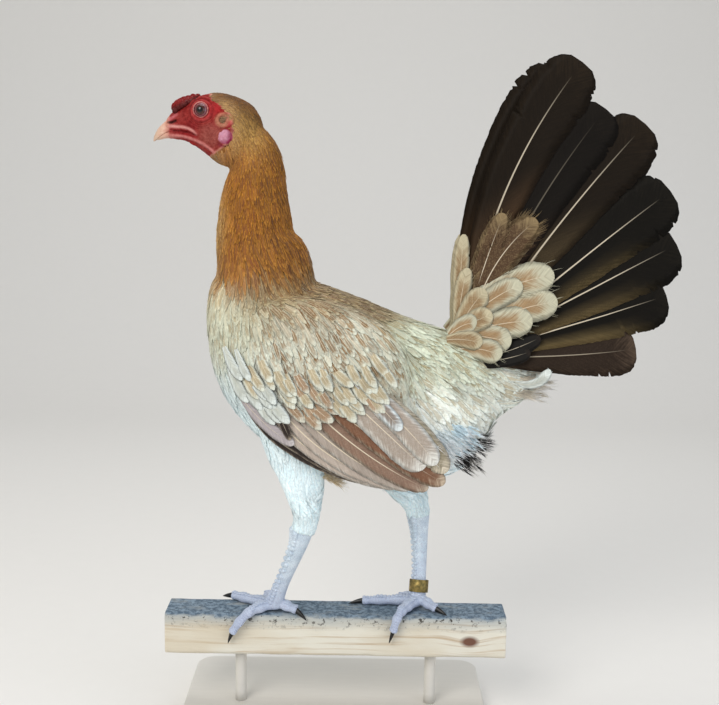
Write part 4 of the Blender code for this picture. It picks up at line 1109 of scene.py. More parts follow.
# Outline of the folded flight feathers in the XZ plane, under which no body feathers grow
FLIGHT_AREA = ((-70, 296), (-36, 262), (6, 238), (40, 232), (84, 232), (80, 250), (52, 292),
               (20, 300), (-40, 302))


def behind_face(points: np.ndarray) -> np.ndarray:
    """How far points lie behind the edge of the bare face."""
    z, x = zip(*FACE_EDGE)
    return points[:, 0] - np.interp(points[:, 2], z, x)


def inside(points: np.ndarray, outline: Rows) -> np.ndarray:
    """Which points lie inside an outline in the XZ plane.

    Args:
        points: rows of x, y, z.
        outline: the outline's (x, z) points.

    Returns:
        True for each point inside.
    """
    x, z = points[:, 0], points[:, 2]
    within = np.zeros(len(points), dtype=bool)
    for (x0, z0), (x1, z1) in zip(outline, outline[1:] + outline[:1]):
        crosses = (z0 > z) != (z1 > z)
        within ^= crosses & (x < (x1 - x0) * (z - z0) / (z1 - z0 + 1e-9) + x0)
    return within


class Coat:
    """Blends the tracts: for any place on the hen, the lie, size and colours of the feathers there.

    Attributes:
        sharpness: how quickly one tract's shapes give way to the next's.
        colour_sharpness: the same for their colours.
    """

    sharpness: float = 1.6
    colour_sharpness: float = 0.8

    def __init__(self) -> None:
        """Gathers what the tracts say into arrays."""
        self.centres = np.array([tract.centre for tract in TRACTS], dtype=float)
        self.reaches = np.array([tract.reach for tract in TRACTS], dtype=float)
        self.lies = unit(np.array([tract.lie for tract in TRACTS], dtype=float))
        self.sizes = np.array([[tract.length, tract.width, tract.spacing, tract.point, tract.rag, tract.lift,
                                tract.plume.lace, tract.plume.shaft, tract.plume.fleck, tract.plume.vary,
                                tract.plume.fade] for tract in TRACTS])
        self.grounds = np.array([linear(tract.plume.ground) for tract in TRACTS])
        self.edges = np.array([linear(tract.plume.edge) for tract in TRACTS])

    def weights(self, points: np.ndarray, sharpness: float | None = None) -> np.ndarray:
        """Each tract's share at each point.

        Args:
            points: rows of x, y, z.
            sharpness: how quickly one tract gives way to the next.

        Returns:
            An array of (point, tract) shares that add up to 1.
        """
        spots = points.copy()
        spots[:, 1] = np.abs(spots[:, 1])
        away = ((((spots[:, None] - self.centres) / self.reaches) ** 2).sum(axis=-1)
                * (sharpness or self.sharpness))
        shares = np.exp(-(away - away.min(axis=1, keepdims=True)))
        return shares / shares.sum(axis=1, keepdims=True)

    def colours(self, points: np.ndarray) -> tuple[np.ndarray, np.ndarray]:
        """Ground and edge colours at points."""
        shares = self.weights(points, self.colour_sharpness)
        return shares @ self.grounds, shares @ self.edges


def too_close(one: list[float], other: list[float], gap: float) -> bool:
    """Whether two points are less than gap apart."""
    return (other[0] - one[0]) ** 2 + (other[1] - one[1]) ** 2 + (other[2] - one[2]) ** 2 < gap * gap


class Drape:
    """The hen's skin as a surface that feathers are laid on."""

    def __init__(self, shape: Shape) -> None:
        """Builds the tree that finds the nearest place on the skin.

        Args:
            shape: the skin.
        """
        self.shape = shape
        polygons = [tuple(face) for faces in shape.faces for face in faces.tolist()]
        self.tree = BVHTree.FromPolygons(shape.points.tolist(), polygons)

    def settle(self, points: np.ndarray) -> tuple[np.ndarray, np.ndarray]:
        """Drops points on the skin.

        Args:
            points: rows of x, y, z.

        Returns:
            The nearest places on the skin and the skin's directions there.
        """
        feet, normals = np.empty_like(points), np.empty_like(points)
        for i, point in enumerate(points.tolist()):
            foot, normal, _, _ = self.tree.find_nearest(point)
            feet[i], normals[i] = foot, normal
        return feet, normals

    def scatter(self, spacing_at: Callable, accept: Callable, seed: int,
                tries: float = 5.0) -> tuple[np.ndarray, np.ndarray]:
        """Spreads roots evenly at random.

        Args:
            spacing_at: gives the spacing wished at points.
            accept: gives which points may carry a root.
            seed: seed of the draw.
            tries: candidates for each root.

        Returns:
            The roots and the skin's directions there.
        """
        draw = np.random.default_rng(seed)
        triangles = np.vstack([face[:, [0, i, i + 1]] for face in self.shape.faces
                               for i in range(1, face.shape[1] - 1)])
        corners = self.shape.points[triangles]
        flat = np.cross(corners[:, 1] - corners[:, 0], corners[:, 2] - corners[:, 0])
        areas = np.linalg.norm(flat, axis=1) / 2
        middle = corners.mean(axis=1)
        density = areas / spacing_at(middle) ** 2 * accept(middle)
        count = int(density.sum() * tries)
        chosen = draw.choice(len(triangles), size=count, p=density / density.sum())
        mix = draw.dirichlet((1, 1, 1), size=count)
        points = (corners[chosen] * mix[..., None]).sum(axis=1)
        normals = unit(flat[chosen])
        spacing = spacing_at(points)
        homes: dict[tuple, list] = {}
        kept = []
        for i, (point, gap) in enumerate(zip(points.tolist(), spacing.tolist())):
            home = tuple(int(c // HOME_CELL) for c in point)
            near = int(gap // HOME_CELL) + 1
            around = product(*(range(c - near, c + near + 1) for c in home))
            if not any(too_close(point, other, gap) for key in around for other in homes.get(key, ())):
                homes.setdefault(home, []).append(point)
                kept.append(i)
        return points[kept], normals[kept]


def skin_map(points: np.ndarray) -> np.ndarray:
    """The places of points on an unwrap of the hen: the body round its axis, then the neck and head.

    Args:
        points: rows of x, y, z.

    Returns:
        Rows of u and v from 0 to 1.
    """
    x, y, z = points.T
    axis = np.interp(x, [row[0] for row in TORSO], [(row[1] + row[2]) / 2 for row in TORSO])
    body = np.stack((0.01 + 0.60 * (x + 118) / 296, 0.5 + 0.48 * np.arctan2(y, z - axis) / math.pi), axis=-1)
    middle = np.interp(z, [row[1] for row in NECK], [row[0] for row in NECK])
    neck = np.stack((0.64 + 0.34 * (z - 385) / 170, 0.5 + 0.48 * np.arctan2(y, x - middle) / math.pi),
                    axis=-1)
    return np.clip(np.where((z > 400 + 0.2 * x)[:, None], neck, body), 0.0, 0.99)


def bundle(rings: np.ndarray) -> Shape:
    """Many closed tubes as one shape, without attributes.

    Args:
        rings: an array of (tube, ring, side, xyz).

    Returns:
        The shape.
    """
    count, rows, around, _ = rings.shape
    first = np.arange(count)[:, None, None] * rows * around
    row = np.arange(rows - 1)[None, :, None] * around
    corner = np.arange(around)[None, None, :]
    onward = (corner + 1) % around
    walls = np.stack((first + row + corner, first + row + onward, first + row + around + onward,
                      first + row + around + corner), axis=-1).reshape(-1, 4)
    starts = (np.arange(count) * rows * around)[:, None]
    caps = np.vstack((starts + np.arange(around)[::-1], starts + (rows - 1) * around + np.arange(around)))
    return Shape(rings.reshape(-1, 3), [walls, caps])


def strands(starts: np.ndarray, ends: np.ndarray, sag: np.ndarray, girth: float, steps: int = 4,
            flat: float = 1.0, facing: Rows = (0.31, 0.2, 0.93)) -> np.ndarray:
    """Rings of thin tapering barbs.

    Args:
        starts: where the barbs begin.
        ends: where they end.
        sag: how far the middle of each bends aside.
        girth: radius at the start.
        steps: rings in a barb.
        flat: how thick a barb is for its width.
        facing: the direction that a flat barb faces.

    Returns:
        An array of (barb, ring, side, xyz).
    """
    t = np.linspace(0, 1, steps)
    heading = unit(ends - starts)
    path = (starts[:, None] + (ends - starts)[:, None] * t[:, None]
            + sag[:, None] * (4 * t * (1 - t))[:, None])
    aside = unit(np.cross(heading, facing))
    other = np.cross(aside, heading) * flat
    turn = np.arange(3) * 2 * math.pi / 3
    spokes = aside[:, None] * np.cos(turn)[:, None] + other[:, None] * np.sin(turn)[:, None]
    return path[:, :, None] + spokes[:, None] * (girth * (1 - 0.9 * t ** 2))[:, None, None]


def dressed_strands(rings: np.ndarray, spots: np.ndarray, along: np.ndarray, light: np.ndarray,
                    colours: tuple[str, str], lace: float, span: float) -> Shape:
    """Barbs as one closed shape with a feather's maps and attributes.

    Args:
        rings: an array of (barb, ring, side, xyz).
        spots: place of each barb on the unwrap of the skin.
        along: how far along its feather each ring of each barb lies.
        light: lightness of each barb.
        colours: hex codes of the root and of the tip.
        lace: share that the tip's colour takes.
        span: length of a feather.

    Returns:
        The shape.
    """
    count, rows, around, _ = rings.shape
    each = rows * around
    along = np.repeat(along, around)
    light = np.repeat(light, each)[:, None]
    many = np.ones(len(along))
    patch = np.stack((np.tile(np.linspace(0, 1, each), count), along), axis=-1)
    ground, edge = (np.array(linear(code)) * light for code in colours)
    shape = bundle(rings)
    shape.tints = {"ground": np.hstack((ground, many[:, None] * lace)),
                   "edge": np.hstack((edge, many[:, None]))}
    shape.values = {"span": many * span, "off": many * BARB_OFF, "shaft": many * 0, "fleck": many * 0}
    shape.maps = {"OFBake": np.repeat(spots, each, axis=0) + (patch - 0.5) * BAKE_PATCH,
                  "vane": np.stack((many * 0.5, along), axis=-1)}
    return shape


@dataclass
class VaneCutter:
    """Makes many small feathers at once as thin closed vanes laid over the skin.

    Attributes:
        steps: shares of the length at which a vane has a ring of points.
        rounded: half width at each step for a round tip.
        pointed: the same for a pointed one.
        across: where a ring's points lie from side to side, the last one under the shaft.
        thickness: of the vane along its shaft.
        rim: how far the upper face bulges close to its edges.
        seat: height of a root over the skin.
    """

    steps: tuple = (0.0, 0.18, 0.38, 0.56, 0.72, 0.85, 0.94, 1.0)
    rounded: tuple = (0.30, 0.70, 0.97, 1.0, 0.97, 0.82, 0.55, 0.14)
    pointed: tuple = (0.34, 0.78, 1.0, 0.93, 0.74, 0.50, 0.27, 0.05)
    across: tuple = (0.0, 0.13, 0.5, 0.87, 1.0, 0.5)
    thickness: float = 0.11
    rim: float = 0.05
    seat: float = 0.35

    def cut(self, drape: Drape, roots: np.ndarray, normals: np.ndarray, lies: np.ndarray,
            sizes: np.ndarray, grounds: np.ndarray, edges: np.ndarray, seed: int) -> Shape:
        """Lays the feathers.

        Args:
            drape: the skin.
            roots: the roots' places.
            normals: the skin's directions there.
            lies: the feathers' directions.
            sizes: length, width, spacing, point, rag, lift, lace, shaft, fleck, vary and fade for each.
            grounds: the middle colour of each.
            edges: the edge colour of each.
            seed: seed of the variation.

        Returns:
            One shape of all the feathers, with their maps and attributes.
        """
        draw = np.random.default_rng(seed)
        count, rows, around = len(roots), len(self.steps), len(self.across)
        length, width, _, point, rag, lift, lace, shaft, fleck, vary, fade = sizes.T
        paler = (fade * draw.uniform(0, 1, count) ** 1.4)[:, None]
        grounds = grounds * (1 - paler) + edges * paler
        length = length * draw.uniform(0.84, 1.14, count)
        width = width * draw.uniform(0.85, 1.12, count)
        lies = unit(lies - normals * (lies * normals).sum(axis=1, keepdims=True))
        aside = np.cross(normals, lies)
        lies = unit(lies + aside * draw.normal(0, 0.11, (count, 1)))
        slope = np.tan(np.radians(lift * draw.uniform(0.7, 1.3, count)))
        roll = draw.normal(0, 0.05, count)
        curl = draw.uniform(-0.2, 0.4, count) * rag
        profile = np.outer(1 - point, self.rounded) + np.outer(point, self.pointed)
        fray = (draw.uniform(0, 1, (count, rows, 2)) ** 2 * rag[:, None, None]
                * smooth(self.steps, 0.2, 0.6)[None, :, None])
        half = 0.5 * width[:, None, None] * profile[:, :, None] * (1 - 1.1 * fray)
        place, heading = roots.copy(), lies.copy()
        rings = np.empty((count, rows, around, 3))
        crest_at = around // 2 - 1
        for row, share in enumerate(self.steps):
            if row:
                place = place + heading * (length * (share - self.steps[row - 1]))[:, None]
            foot, up = drape.settle(place)
            if row == 0:
                foot, up = roots, normals
            heading = unit(heading - up * (heading * up).sum(axis=1, keepdims=True))
            beside = np.cross(up, heading)
            rise = self.seat + slope * length * share + curl * length * 0.25 * share ** 3
            camber = 0.03 * width * min(1.0, share * 3)
            sweep = heading * (draw.normal(0, 0.02, (count, 1)) * length[:, None])
            outer = []
            for k, sign in enumerate((-1, 1)):
                edge = foot + beside * (sign * half[:, row, k])[:, None]
                low, tilt = drape.settle(edge)
                lean = rise + sign * roll * half[:, row, k] - camber
                outer.append((low + tilt * lean[:, None] + sweep, low, tilt))
            crest = foot + up * (rise + 0.06)[:, None]
            rings[:, row, 0] = outer[0][0]
            rings[:, row, -2] = outer[1][0]
            rings[:, row, crest_at] = crest
            for spot, (edge, low, tilt) in zip((1, 3), outer):
                share_in = 1 - abs(2 * self.across[spot] - 1)
                sag = np.linalg.norm(foot - low, axis=1) * np.linalg.norm(up - tilt, axis=1) / 2
                bulge = sag * share_in * (1 - share_in) + camber * 0.3 + self.rim
                shell = crest * share_in + edge * (1 - share_in)
                rings[:, row, spot] = shell + unit(up + tilt) * bulge[:, None]
            rings[:, row, -1] = foot + up * (rise - self.thickness)[:, None]
            place = foot
        off = (np.array(self.across) * 2 - 1)[None, None, :] * half.mean(axis=2)[:, :, None]
        return self.dress(rings, roots, length, off, grounds, edges, lace, shaft, fleck, vary, draw)

    def dress(self, rings: np.ndarray, roots: np.ndarray, length: np.ndarray, off: np.ndarray,
              grounds: np.ndarray, edges: np.ndarray, lace: np.ndarray, shaft: np.ndarray,
              fleck: np.ndarray, vary: np.ndarray, draw: np.random.Generator) -> Shape:
        """Closes the vanes and gives them their maps and attributes.

        Args:
            rings: an array of (feather, ring, side, xyz).
            roots: the roots' places.
            length: each length.
            off: how far each point is off its shaft.
            grounds: the middle colours.
            edges: the edge colours.
            lace: share of the lacing of each.
            shaft: how far each shaft shows.
            fleck: share of peppering.
            vary: spread of lightness.
            draw: the random numbers.

        Returns:
            The shape, dressed.
        """
        count, rows, around, _ = rings.shape
        shape = bundle(rings)
        each = rows * around
        light = np.clip(1 + draw.normal(0, 1, count) * vary, 0.7, 1.3)[:, None]
        across, steps = np.meshgrid(self.across, self.steps)
        vane = np.stack((across, steps), axis=-1)
        bake = skin_map(roots)[:, None, None] + (vane[None] - 0.5) * BAKE_PATCH
        shape.tints = {"ground": np.repeat(np.hstack((grounds * light, lace[:, None])), each, axis=0),
                       "edge": np.repeat(np.hstack((edges * light ** 0.4, np.ones((count, 1)))),
                                         each, axis=0)}
        shape.values = {"span": np.repeat(length, each), "off": off.ravel(), "shaft": np.repeat(shaft, each),
                        "fleck": np.repeat(fleck, each)}
        shape.maps = {"OFBake": bake.reshape(-1, 2), "vane": np.tile(vane.reshape(-1, 2), (count, 1))}
        return shape


@dataclass
class FluffCutter:
    """Makes loose downy feathers, each a spray of thin closed barbs along a soft shaft.

    Attributes:
        barbs: barbs on each feather.
        open_angle: degrees between a barb and the shaft.
        girth: radius of a barb.
    """

    barbs: int = 15
    open_angle: float = 20.0
    girth: float = 0.30

    def cut(self, roots: np.ndarray, ups: np.ndarray, lies: np.ndarray, length: float, ground: str,
            edge: str, seed: int) -> Shape:
        """Shapes the feathers.

        Args:
            roots: the roots' places.
            ups: the skin's directions there.
            lies: the feathers' directions.
            length: length of a feather.
            ground: colour near the root.
            edge: colour of the tips.
            seed: seed of the variation.

        Returns:
            One shape of all the feathers, with their maps and attributes.
        """
        draw = np.random.default_rng(seed)
        count = len(roots)
        lies = unit(lies)
        aside = unit(np.cross(ups, lies))
        above = np.cross(lies, aside)
        long = length * draw.uniform(0.7, 1.15, (count, 1, 1))
        share = (np.linspace(0.0, 0.72, self.barbs)[None, :, None]
                 + draw.uniform(-0.03, 0.03, (count, self.barbs, 1)))
        turn = np.radians(self.open_angle) * draw.uniform(0.2, 1.3, (count, self.barbs, 1))
        turn *= np.where(np.arange(self.barbs) % 2, 1, -1)[None, :, None] * (1 - 0.6 * share)
        reach = long * draw.uniform(0.22, 0.42, (count, self.barbs, 1))
        starts = roots[:, None] + lies[:, None] * share * long
        lift = draw.normal(0, 0.06, (count, self.barbs, 1))
        ends = starts + (lies[:, None] * np.cos(turn) + aside[:, None] * np.sin(turn)
                         + above[:, None] * lift) * reach
        sag = above[:, None] * draw.normal(0, 0.05, (count, self.barbs, 1)) * reach
        rings = strands(starts.reshape(-1, 3), ends.reshape(-1, 3), sag.reshape(-1, 3), self.girth)
        along = (share + np.linspace(0, 0.3, rings.shape[1])[None, None]).reshape(-1)
        light = draw.uniform(0.93, 1.05, count * self.barbs)
        spots = np.repeat(skin_map(roots), self.barbs, axis=0)
        return dressed_strands(rings, spots, along, light, (ground, edge), 0.55, length)


@dataclass(frozen=True)
class Quill:
    """A large feather of the wing or tail, drawn in the XZ plane.

    Attributes:
        root: where the shaft starts.
        bend: the curve's control point.
        tip: where the shaft ends.
        width: the vane's width.
        plume: its colours.
        base: colour near the root, or None for the ground colour.
        reach: share of the length up to which the base's colour goes.
        depth: how far it lies under or, if negative, over the outer surface.
        tilt: degrees that it slants about its shaft.
        sink: how much deeper its root lies.
        loose: loose barbs at its edges for each millimetre of its length.
        margin: whether the base's colour keeps to the margin of the lower vane.
    """

    root: tuple
    bend: tuple
    tip: tuple
    width: float
    plume: Plume
    base: str | None = None
    reach: float = 0.5
    depth: float = 0.0
    tilt: float = 0.0
    sink: float = 0.0
    loose: float = 0.0
    margin: bool = False


@dataclass
class QuillCutter:
    """Makes large feathers as thin closed vanes with a raised shaft, clefts and loose barbs.

    Attributes:
        rows: rows of points along a vane.
        across: where the points of its outer face lie, from -1 to 1.
        thickness: of the vane beside its shaft.
        shaft: height of the shaft over the vane.
        fray: how far the edge wanders, as a share of half the width.
        serration: how far single points of the edge stand in.
        splits: clefts on each side of a vane.
        camber: how far the edges droop, as a share of the distance from the shaft.
        barb_angle: degrees between a barb and the shaft.
        finger: half width of a loose clump of barbs at its root.
        profile: half width as a share of the full one, by share of the length.
    """

    rows: int = 36
    across: tuple = (-1.0, -0.6, -0.25, -0.05, 0.0, 0.05, 0.25, 0.6, 1.0)
    thickness: float = 0.45
    shaft: float = 0.5
    fray: float = 0.04
    serration: float = 0.03
    splits: int = 2
    camber: float = 0.05
    barb_angle: float = 34.0
    finger: float = 0.20
    profile: tuple = ((0, 0.30), (0.15, 0.55), (0.35, 0.88), (0.7, 1.0), (0.88, 0.90), (0.95, 0.72),
                      (0.985, 0.46), (1, 0.16))

    def cut(self, quills: list[Quill], surface: Callable, sign: int, seed: int) -> Shape:
        """Shapes the feathers.

        Args:
            quills: the feathers.
            surface: gives the outward distance from the middle plane for x, z.
            sign: the side's sign.
            seed: seed of the variation.

        Returns:
            One shape of all of them.
        """
        draw = np.random.default_rng(seed)
        shapes = []
        shares = 1 - (1 - np.linspace(0, 1, self.rows)) ** 1.35
        across = np.array(self.across)
        stops, widths = zip(*self.profile)
        cells = math.ceil(math.sqrt(len(quills)))
        for number, quill in enumerate(quills):
            path = curve_points(quill.root, quill.bend, quill.tip, shares)
            along = unit(np.gradient(path, axis=0))
            beside = np.stack((-along[:, 1], along[:, 0]), axis=-1)
            length = np.linalg.norm(np.diff(path, axis=0), axis=1).sum()
            half = quill.width / 2 * np.interp(shares, stops, widths)
            sides = half[:, None] * (1 - self.edge_wander(draw) * smooth(shares, 0.15, 0.5)[:, None])
            reach = np.where(across < 0, sides[:, :1], sides[:, 1:]) * across
            lag = ((0.45 * (1 - smooth(shares, 0.6, 0.95)) - 0.08)[:, None] * np.abs(reach)
                   * smooth(shares, 0.0, 0.15)[:, None])
            spot = path[:, None] + beside[:, None] * reach[..., None] + along[:, None] * lag[..., None]
            slope = math.tan(math.radians(quill.tilt))
            home = np.asarray(quill.root, dtype=float)
            inward = (np.maximum(0, 1 - np.hypot(*(spot - home).transpose(2, 0, 1)) / (length * 0.55))
                      * quill.sink)
            outer = (surface(spot[..., 0], spot[..., 1]) - quill.depth - (reach + quill.width / 2) * slope
                     - inward - self.camber * np.abs(reach) * np.abs(across))
            ridge = self.shaft * (across == 0)[None] * (1 - shares[:, None] ** 2)
            front = np.stack((spot[..., 0], sign * (outer + ridge), spot[..., 1]), axis=-1)
            back = np.stack((spot[..., 0], sign * (outer - self.thickness * (1 - across ** 2)),
                             spot[..., 1]), axis=-1)
            ring = np.concatenate((front, back[:, -2:0:-1]), axis=1)
            over = np.concatenate((across, across[-2:0:-1]))
            side = np.concatenate((reach, reach[:, -2:0:-1]), axis=1)
            if sign > 0:
                ring, over, side = ring[:, ::-1], over[::-1], side[:, ::-1]
            shape = bundle(ring[None])
            share_at = np.repeat(shares, len(over))
            across_at = np.tile(over, self.rows)
            cell = (number % cells, number // cells)
            shapes.append(self.dress(shape, quill, share_at, across_at, side.ravel(), length,
                                     cell, cells, draw))
            if quill.loose:
                shapes.append(self.fringe(quill, path, along, beside, half, surface, shares, sign, length,
                                          cell, cells, draw))
        return Shape.joined(shapes)

    def edge_wander(self, draw: np.random.Generator) -> np.ndarray:
        """How far both edges stand in at each row, as shares of half the width: soft waves and sharp clefts.

        Args:
            draw: the random numbers.

        Returns:
            A row of two shares for each row of the vane.
        """
        knots = max(4, self.rows // 4)
        waves = draw.uniform(0, 1, (knots, 2)) * self.fray
        place = np.linspace(0, knots - 1, self.rows)
        wander = np.stack([np.interp(place, np.arange(knots), waves[:, side]) for side in range(2)], axis=-1)
        wander += draw.uniform(0, 1, (self.rows, 2)) * self.serration
        for side in range(2):
            for _ in range(self.splits):
                wander[int(self.rows * draw.uniform(0.62, 0.97)), side] += draw.uniform(0.05, 0.15)
        return wander

    def fringe(self, quill: Quill, path: np.ndarray, along: np.ndarray, beside: np.ndarray,
               half: np.ndarray, surface: Callable, shares: np.ndarray, sign: int, length: float,
               cell: tuple[int, int], cells: int, draw: np.random.Generator) -> Shape:
        """Loose barbs that stand out past the edges of one vane.

        Args:
            quill: the feather.
            path: points of its shaft in the XZ plane.
            along: direction of the shaft.
            beside: direction across it.
            half: half width of the vane.
            surface: gives the outward distance.
            shares: share of the length at each row.
            sign: the side's sign.
            length: length of the shaft.
            cell: the feather's cell on the OFBake map.
            cells: cells along a side of that map.
            draw: the random numbers.

        Returns:
            The barbs as one shape.
        """
        count = int(length * quill.loose)
        row = (self.rows - 1) * draw.uniform(0.35, 1.0, count) ** 0.8
        low = row.astype(int)
        side = np.where(draw.uniform(0, 1, count) < 0.5, -1, 1)
        angle = (np.radians(self.barb_angle * draw.uniform(0.7, 1.1, count))
                 * (1 - 0.75 * smooth(shares[low], 0.80, 1.0)))
        flat = along[low] * np.cos(angle)[:, None] + beside[low] * (side * np.sin(angle))[:, None]
        begin = path[low] + beside[low] * (side * half[low] * draw.uniform(0.62, 0.88, count))[:, None]
        end = begin + flat * (quill.width * draw.uniform(0.12, 0.34, count))[:, None]
        rise = 0.22 - quill.depth
        starts, ends = (np.stack((spots[:, 0], sign * (surface(spots[:, 0], spots[:, 1]) + rise),
                                  spots[:, 1]), axis=-1) for spots in (begin, end))
        slope = math.tan(math.radians(quill.tilt)) * (side * half[low] + quill.width / 2)
        starts[:, 1] -= sign * slope
        ends[:, 1] -= sign * (slope + self.camber * half[low])
        sag = np.stack((flat[:, 1], 0 * side, -flat[:, 0]), axis=-1) * draw.normal(0, 0.4, (count, 1))
        rings = strands(starts, ends, sag, self.finger, 5, 0.6, (0.02, sign, 0.03))
        shape = bundle(rings)
        each = rings.shape[1] * rings.shape[2]
        return self.dress(shape, quill, np.repeat(shares[low], each), np.repeat(side * 0.6, each),
                          np.full(count * each, BARB_OFF), length, cell, cells, draw)

    @staticmethod
    def dress(shape: Shape, quill: Quill, share: np.ndarray, over: np.ndarray, off: np.ndarray,
              length: float, cell: tuple[int, int], cells: int, draw: np.random.Generator) -> Shape:
        """Gives the points of one feather its maps and attributes.

        Args:
            shape: the feather's points.
            quill: the feather.
            share: place of each point along the shaft.
            over: place of each point across the vane, from -1 to 1.
            off: distance of each point from the shaft.
            length: length of the shaft.
            cell: the feather's cell on the OFBake map.
            cells: cells along a side of that map.
            draw: the random numbers.

        Returns:
            The shape, dressed.
        """
        vane = np.stack(((over + 1) / 2, share), axis=-1)
        tint = float(np.clip(1 + draw.normal(0, 1) * quill.plume.vary, 0.8, 1.2))
        ground = np.tile(linear(quill.plume.ground), (len(share), 1)) * tint
        edge = np.tile(linear(quill.plume.edge), (len(share), 1))
        fleck = np.full(len(share), quill.plume.fleck)
        if quill.base:
            near = 1 - smooth(share + 0.12 * over, quill.reach - 0.22, quill.reach + 0.18)
            if quill.margin:
                near = near * smooth(-over, 0.40, 1.0)
            ground = ground * (1 - near[:, None]) + np.array(linear(quill.base)) * tint * near[:, None]
            fleck = fleck + 0.5 * near
            edge = edge * near[:, None] + np.array(linear(quill.plume.ground)) * 1.8 * (1 - near[:, None])
        many = np.ones(len(share))
        shape.tints = {"ground": np.hstack((ground, many[:, None] * quill.plume.lace)),
                       "edge": np.hstack((edge, many[:, None]))}
        shape.values = {"span": many * length, "off": off, "shaft": many * quill.plume.shaft, "fleck": fleck}
        shape.maps = {"OFBake": (np.array(cell) + 0.06 + 0.88 * vane[:, ::-1]) / cells, "vane": vane}
        return shape


# The hen's parts


@dataclass
class Skin:
    """The hen's one skin, under the coat.

    Attributes:
        coat: depth of the coat over the torso.
        neck_coat: the same over the neck.
        leg_coat: the same over the thighs.
        arm_coat: the same over the wing's arm.
        voxel: size of its faces.
        arm_centre: middle of the right wing's arm.
        arm_radii: its half sizes.
        arm_tilt: degrees that it points down behind.
    """

    coat: float = 4.5
    neck_coat: float = 3.6
    leg_coat: float = 2.6
    arm_coat: float = 4.4
    voxel: float = 2.2
    arm_centre: tuple = (-16.0, 36.0, 326.0)
    arm_radii: tuple = (77.0, 25.0, 54.0)
    arm_tilt: float = 15.0

    def arm(self, side: Side) -> Shape:
        """The folded wing's fleshy part with the room under its feathers.

        Args:
            side: which side of the hen.

        Returns:
            The arm as a closed shape.
        """
        rings = ball_rings((0, 0, 0), self.arm_radii, 30, 40)
        tilt = math.radians(self.arm_tilt)
        x = rings[..., 0] * math.cos(tilt) + rings[..., 2] * math.sin(tilt)
        z = -rings[..., 0] * math.sin(tilt) + rings[..., 2] * math.cos(tilt)
        rim = np.clip(np.hypot(rings[..., 0] / self.arm_radii[0], rings[..., 2] / self.arm_radii[2]), 0, 1)
        x, z = x + self.arm_centre[0], z + self.arm_centre[2]
        rise = wing_face(x, z) - self.arm_coat - self.arm_centre[1]
        outer = np.where(rings[..., 1] > 0, rise * (1 - rim ** 5) ** 0.45, rings[..., 1])
        points = np.stack((x, (self.arm_centre[1] + outer), z), axis=-1)
        if side is Side.LEFT:
            points[..., 1] *= -1
            points = points[:, ::-1]
        return rings_shape(points)

    def thigh(self, table: Rows) -> Shape:
        """A drumstick from inside the body to the hock.

        Args:
            table: rows of x, y, z, half depth and half width.

        Returns:
            The drumstick as a closed shape.
        """
        rows = spline(table, 24)
        return rings_shape(tube_rings(rows[:, :3], np.maximum(rows[:, 3:] - self.leg_coat * smooth(
            rows[:, 2:3], 178, 196), 1), 28))

    def build(self, coat: Coat) -> Drape:
        """Melts the body's forms together, colours them as the coat and makes the piece.

        Args:
            coat: gives the coat's colours.

        Returns:
            The surface that the feathers are laid on.
        """
        torso = upright_rings(TORSO, 60, 56, self.coat)
        rows = spline(NECK, 30)
        neck = tube_rings(np.stack((rows[:, 0], rows[:, 0] * 0, rows[:, 1]), axis=-1),
                          rows[:, 2:] - self.neck_coat, 40)
        head = upright_rings(HEAD, 60, 60)
        hidden_head = head.copy()
        shrink = 0.96 - 0.2 * smooth(-head[..., 0], 92, 108)
        hidden_head[..., 1] *= shrink
        hidden_head[..., 2] = 520 + (head[..., 2] - 520) * shrink
        body = [rings_shape(torso), rings_shape(neck), self.thigh(THIGH_LEFT), self.thigh(THIGH_RIGHT),
                self.arm(Side.LEFT), self.arm(Side.RIGHT)]
        shape = fused("skin", [*body, rings_shape(hidden_head)], self.voxel, 4)
        ground = fused("ground", [*body, rings_shape(head)], self.voxel, 2)
        grounds, edges = coat.colours(shape.points)
        shape.tints["ground"] = np.hstack((grounds * 0.6 + edges * 0.4, np.ones((len(shape.points), 1))))
        piece("skin", shape, Hide(), ("torso", "neck", "thigh_left", "thigh_right"))
        return Drape(ground)


def wing_face(x: np.ndarray | float, z: np.ndarray | float) -> np.ndarray | float:
    """Distance of a wing's outer surface from the middle plane."""
    return 70.5 - 0.0015 * x ** 2 - 0.0012 * (z - 318.0) ** 2


def tail_tent(x: np.ndarray | float, z: np.ndarray | float) -> np.ndarray | float:
    """Distance from the middle plane of the surface under the tail's feathers.

    Args:
        x: the places' x.
        z: the places' z.

    Returns:
        The distance for each place.
    """
    angle = np.degrees(np.arctan2(z - TAIL_ROOT[1], x - TAIL_ROOT[0]))
    share = np.clip((75.0 - angle) / 75.0, 0.0, 1.2)
    reach = np.minimum(np.hypot(x - TAIL_ROOT[0], z - TAIL_ROOT[1]) / 120.0, 1.0)
    spread = TAIL_TENT[0] + (TAIL_TENT[1] - TAIL_TENT[0]) * share
    return 9.0 + (spread - 9.0) * reach


